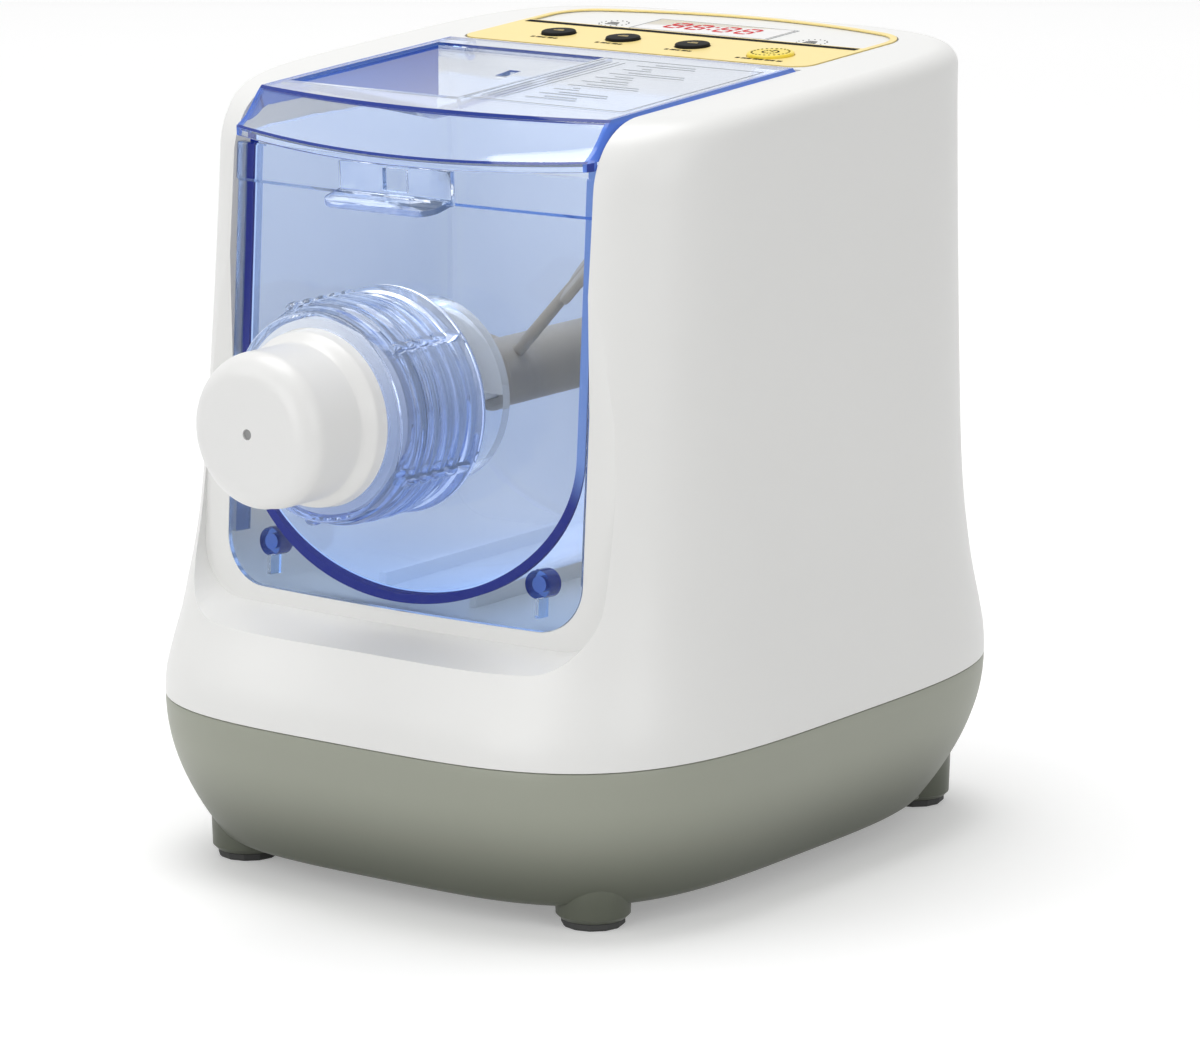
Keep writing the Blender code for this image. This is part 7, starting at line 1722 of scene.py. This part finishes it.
yellow = moulded("yellow_film", YELLOW, 0.38, settings={"Drift": 0.02, "Grain Scale": 900.0})
bright_yellow = moulded(
    "yellow_key", BRIGHT_YELLOW, 0.34, settings={"Drift": 0.03, "Grain Scale": 1200.0},
)
display = moulded("display_cover", COVER_GREY, 0.12, 0.000003, settings={"Drift": 0.01})
digit_red = moulded(
    "display_digits", DIGIT_RED, 0.55, settings={"Drift": 0.03},
    Emission_Color=(1.0, 0.03, 0.05, 1), Emission_Strength=0.10, Specular_IOR_Level=0.1,
)
black_ink = moulded(
    "black_ink", INK_BLACK, 0.70, settings={"Drift": 0.10}, Specular_IOR_Level=0.03,
)
gold_ink = moulded("gold_ink", GOLD, 0.40, settings={"Drift": 0.08})
plate_high = FILM_HIGH - FILM_THICKNESS - GAP
plate_low = plate_high - PANEL_THICKNESS + GAP * 2


def key_holes():
    bm = bmesh.new()
    for place in BUTTON_PLACES:
        rod(bm, BUTTON_RADIUS + GAP, (*place, -OVERRUN), (*place, OVERRUN), KEY_SIDES)
    rod(bm, POWER_RADIUS + GAP, (*POWER_PLACE, -OVERRUN), (*POWER_PLACE, OVERRUN), KEY_SIDES)
    return bm


def dots(bm, x, y, radius, angles, size, z):
    """Small printed dots on a circle."""
    for angle in angles:
        dot = Vector((x + radius * math.cos(angle), y + radius * math.sin(angle), z))
        rod(bm, size, dot, dot + Vector((0, 0, PRINT_THICKNESS)), DOT_SIDES)


form = outline_solid(panel_outline(GAP, plate_low), (0, 0, plate_high - plate_low))
plate = mesh_piece(form, "panel_plate", white, place=IN_TOP)
bosses = posts(POST_PLACES, POST_RADIUS, POST_LOW, plate_low + BURIED / 2, HOLE_SIDES)
combine(plate, bosses, IN_TOP, "UNION")
combine(plate, key_holes(), IN_TOP)
centre = Vector((*DISPLAY_PLACE, 0))
half = Vector((DISPLAY_HALF_WIDTH, DISPLAY_HALF_DEPTH, 0))
margin = Vector((GAP, GAP, OVERRUN))
combine(plate, block(bmesh.new(), centre - half - margin, centre + half + margin), IN_TOP)
shade(plate)
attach(plate, "machine")
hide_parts("control_panel")

film_low = FILM_HIGH - FILM_THICKNESS
form = outline_solid(panel_outline(GAP, film_low), (0, 0, FILM_THICKNESS))
film = mesh_piece(form, "panel_print_film", yellow, place=IN_TOP)
outline = panel_outline(FILM_BORDER, -OVERRUN, BAND_REAR, 0)
combine(film, outline_solid(outline, (0, 0, OVERRUN * 2)), IN_TOP)
combine(film, key_holes(), IN_TOP)
shade(film)
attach(film, "machine")
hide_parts("panel_film")

low, high = centre - half + Vector((0, 0, plate_low)), centre + half + Vector((0, 0, film_low))
cover = mesh_piece(block(bmesh.new(), low, high), "display_cover", display, place=IN_TOP)
soften(cover, DISPLAY_EDGE_RADIUS, lambda a, b: True)
shade(cover)
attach(cover, "machine")
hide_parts("display_window")

bm = bmesh.new()
z = film_low + PRINT_THICKNESS / 4
trim, stroke = SEGMENT * SEGMENT_TRIM, SEGMENT / 2
run = DIGIT_HALF_HEIGHT / 2 - trim
for place in DIGIT_PLACES:
    x = place * DIGIT_SPACING
    left, right_side = x - DIGIT_HALF_WIDTH, x + DIGIT_HALF_WIDTH
    for row in (-1, 0, 1):
        y = row * DIGIT_HALF_HEIGHT
        printed(bm, left + trim, y - stroke, right_side - trim, y + stroke, z)
    for x in (left, right_side):
        for row in (-1, 1):
            y = row * DIGIT_HALF_HEIGHT / 2
            printed(bm, x - stroke, y - run, x + stroke, y + run, z)
for row in (-1, 1):
    y = row * DIGIT_HALF_HEIGHT / 2
    printed(bm, -stroke, y - stroke, stroke, y + stroke, z)
bmesh.ops.transform(bm, matrix=Matrix.Shear("XZ", 4, (DIGIT_SLANT, 0)), verts=bm.verts)
digits = mesh_piece(bm, "display_digits", digit_red, place=IN_TOP @ Matrix.Translation(centre))
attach(digits, "machine")

bm = bmesh.new()
z = FILM_HIGH + PRINT_THICKNESS / 4
band_front = BAND_REAR - BAND_LINE * BAND_LINE_SHARES[0]
band_rear = BAND_REAR + BAND_LINE * BAND_LINE_SHARES[1]
printed(bm, -BAND_LINE_END, band_front, BAND_LINE_END, band_rear, z)
for (x, y), (count, offset) in zip((*BUTTON_PLACES, POWER_PLACE), KEY_MARKS):
    for i in range(count):
        mark = x - MARK_SPACING * offset + MARK_SPACING * i
        end = mark + MARK_SPACING * MARK_SHARES[i % 2]
        printed(bm, mark, y - MARK_DROP, end, y - MARK_DROP + MARK_HEIGHT, z)
z = plate_high + PRINT_THICKNESS / 4
ring = [math.tau * i / ICON_DOTS for i in range(ICON_DOTS)]
(bar_left, bar_low), (bar_right, bar_high) = ICON_BARS
for x, y in ICON_PLACES:
    dots(bm, x, y, ICON_RADIUS, ring, SEGMENT / 4, z)
    for i in range(3):
        low_y, high_y = y - bar_low + ICON_BAR_STEP * i, y - bar_high + ICON_BAR_STEP * i
        printed(bm, x - bar_left, low_y, x + bar_right - ICON_BAR_CUT * i, high_y, z)
marks = mesh_piece(bm, "panel_marks", black_ink, place=IN_TOP)
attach(marks, "machine")
bm = bmesh.new()
border, stroke = Vector((DISPLAY_BORDER, DISPLAY_BORDER, 0)), LABEL_LINE / 2
for sign in (-1, 1):
    side_low = Vector((centre.x + sign * (half.x + border.x), centre.y - half.y - border.y, 0))
    high_y = centre.y + half.y + border.y
    printed(bm, side_low.x - stroke, side_low.y, side_low.x + stroke, high_y, z)
    y, high_x = centre.y + sign * (half.y + border.y), centre.x + half.x + border.x
    printed(bm, centre.x - half.x - border.x, y - stroke, high_x, y + stroke, z)
display_frame = mesh_piece(bm, "display_outline", ink, place=IN_TOP)
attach(display_frame, "machine")

crown = FILM_HIGH + BUTTON_PROUD
flange_high = plate_low - GAP
flange_low = flange_high - BUTTON_FLANGE_THICKNESS
arc = [
    math.radians(POWER_ARC_START + POWER_ARC_SWEEP * i / (POWER_ARC_DOTS - 1))
    for i in range(POWER_ARC_DOTS)
]
keys = [
    (name, place, BUTTON_RADIUS, black, gold_ink)
    for name, place in zip(BUTTON_NAMES, BUTTON_PLACES)
]
keys.append(("power_button", POWER_PLACE, POWER_RADIUS, bright_yellow, black_ink))
for name, place, radius, look, mark_look in keys:
    wide = radius + BUTTON_FLANGE
    bm = turned([
        (0, crown), *round_edge(radius, crown, BUTTON_PROUD / 2), (radius, flange_high),
        (wide, flange_high), (wide, flange_low), (BUTTON_STEM_RADIUS, flange_low),
        (BUTTON_STEM_RADIUS, STEM_LOW), (0, STEM_LOW),
    ])
    z = crown + PRINT_THICKNESS / 8
    if look is black:
        for bar in KEY_BARS:
            printed(bm, *bar, z)
    else:
        ring = [math.tau * i / POWER_DOTS for i in range(POWER_DOTS)]
        dots(bm, 0, 0, radius * POWER_DOTS_SHARE, ring, SEGMENT / 3, z)
        printed(bm, *POWER_BAR, z)
        dots(bm, 0, 0, POWER_ARC_RADIUS, arc, SEGMENT / 3, z)
    for face in bm.faces:
        if face.calc_center_median().z > crown + PRINT_THICKNESS / 16:
            face.material_index = 1
    seat = IN_TOP @ Matrix.Translation((*place, 0))
    key = mesh_piece(bm, name + "_key", look, mark_look, place=seat)
    shade(key)
    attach(key, name)
    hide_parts(name)
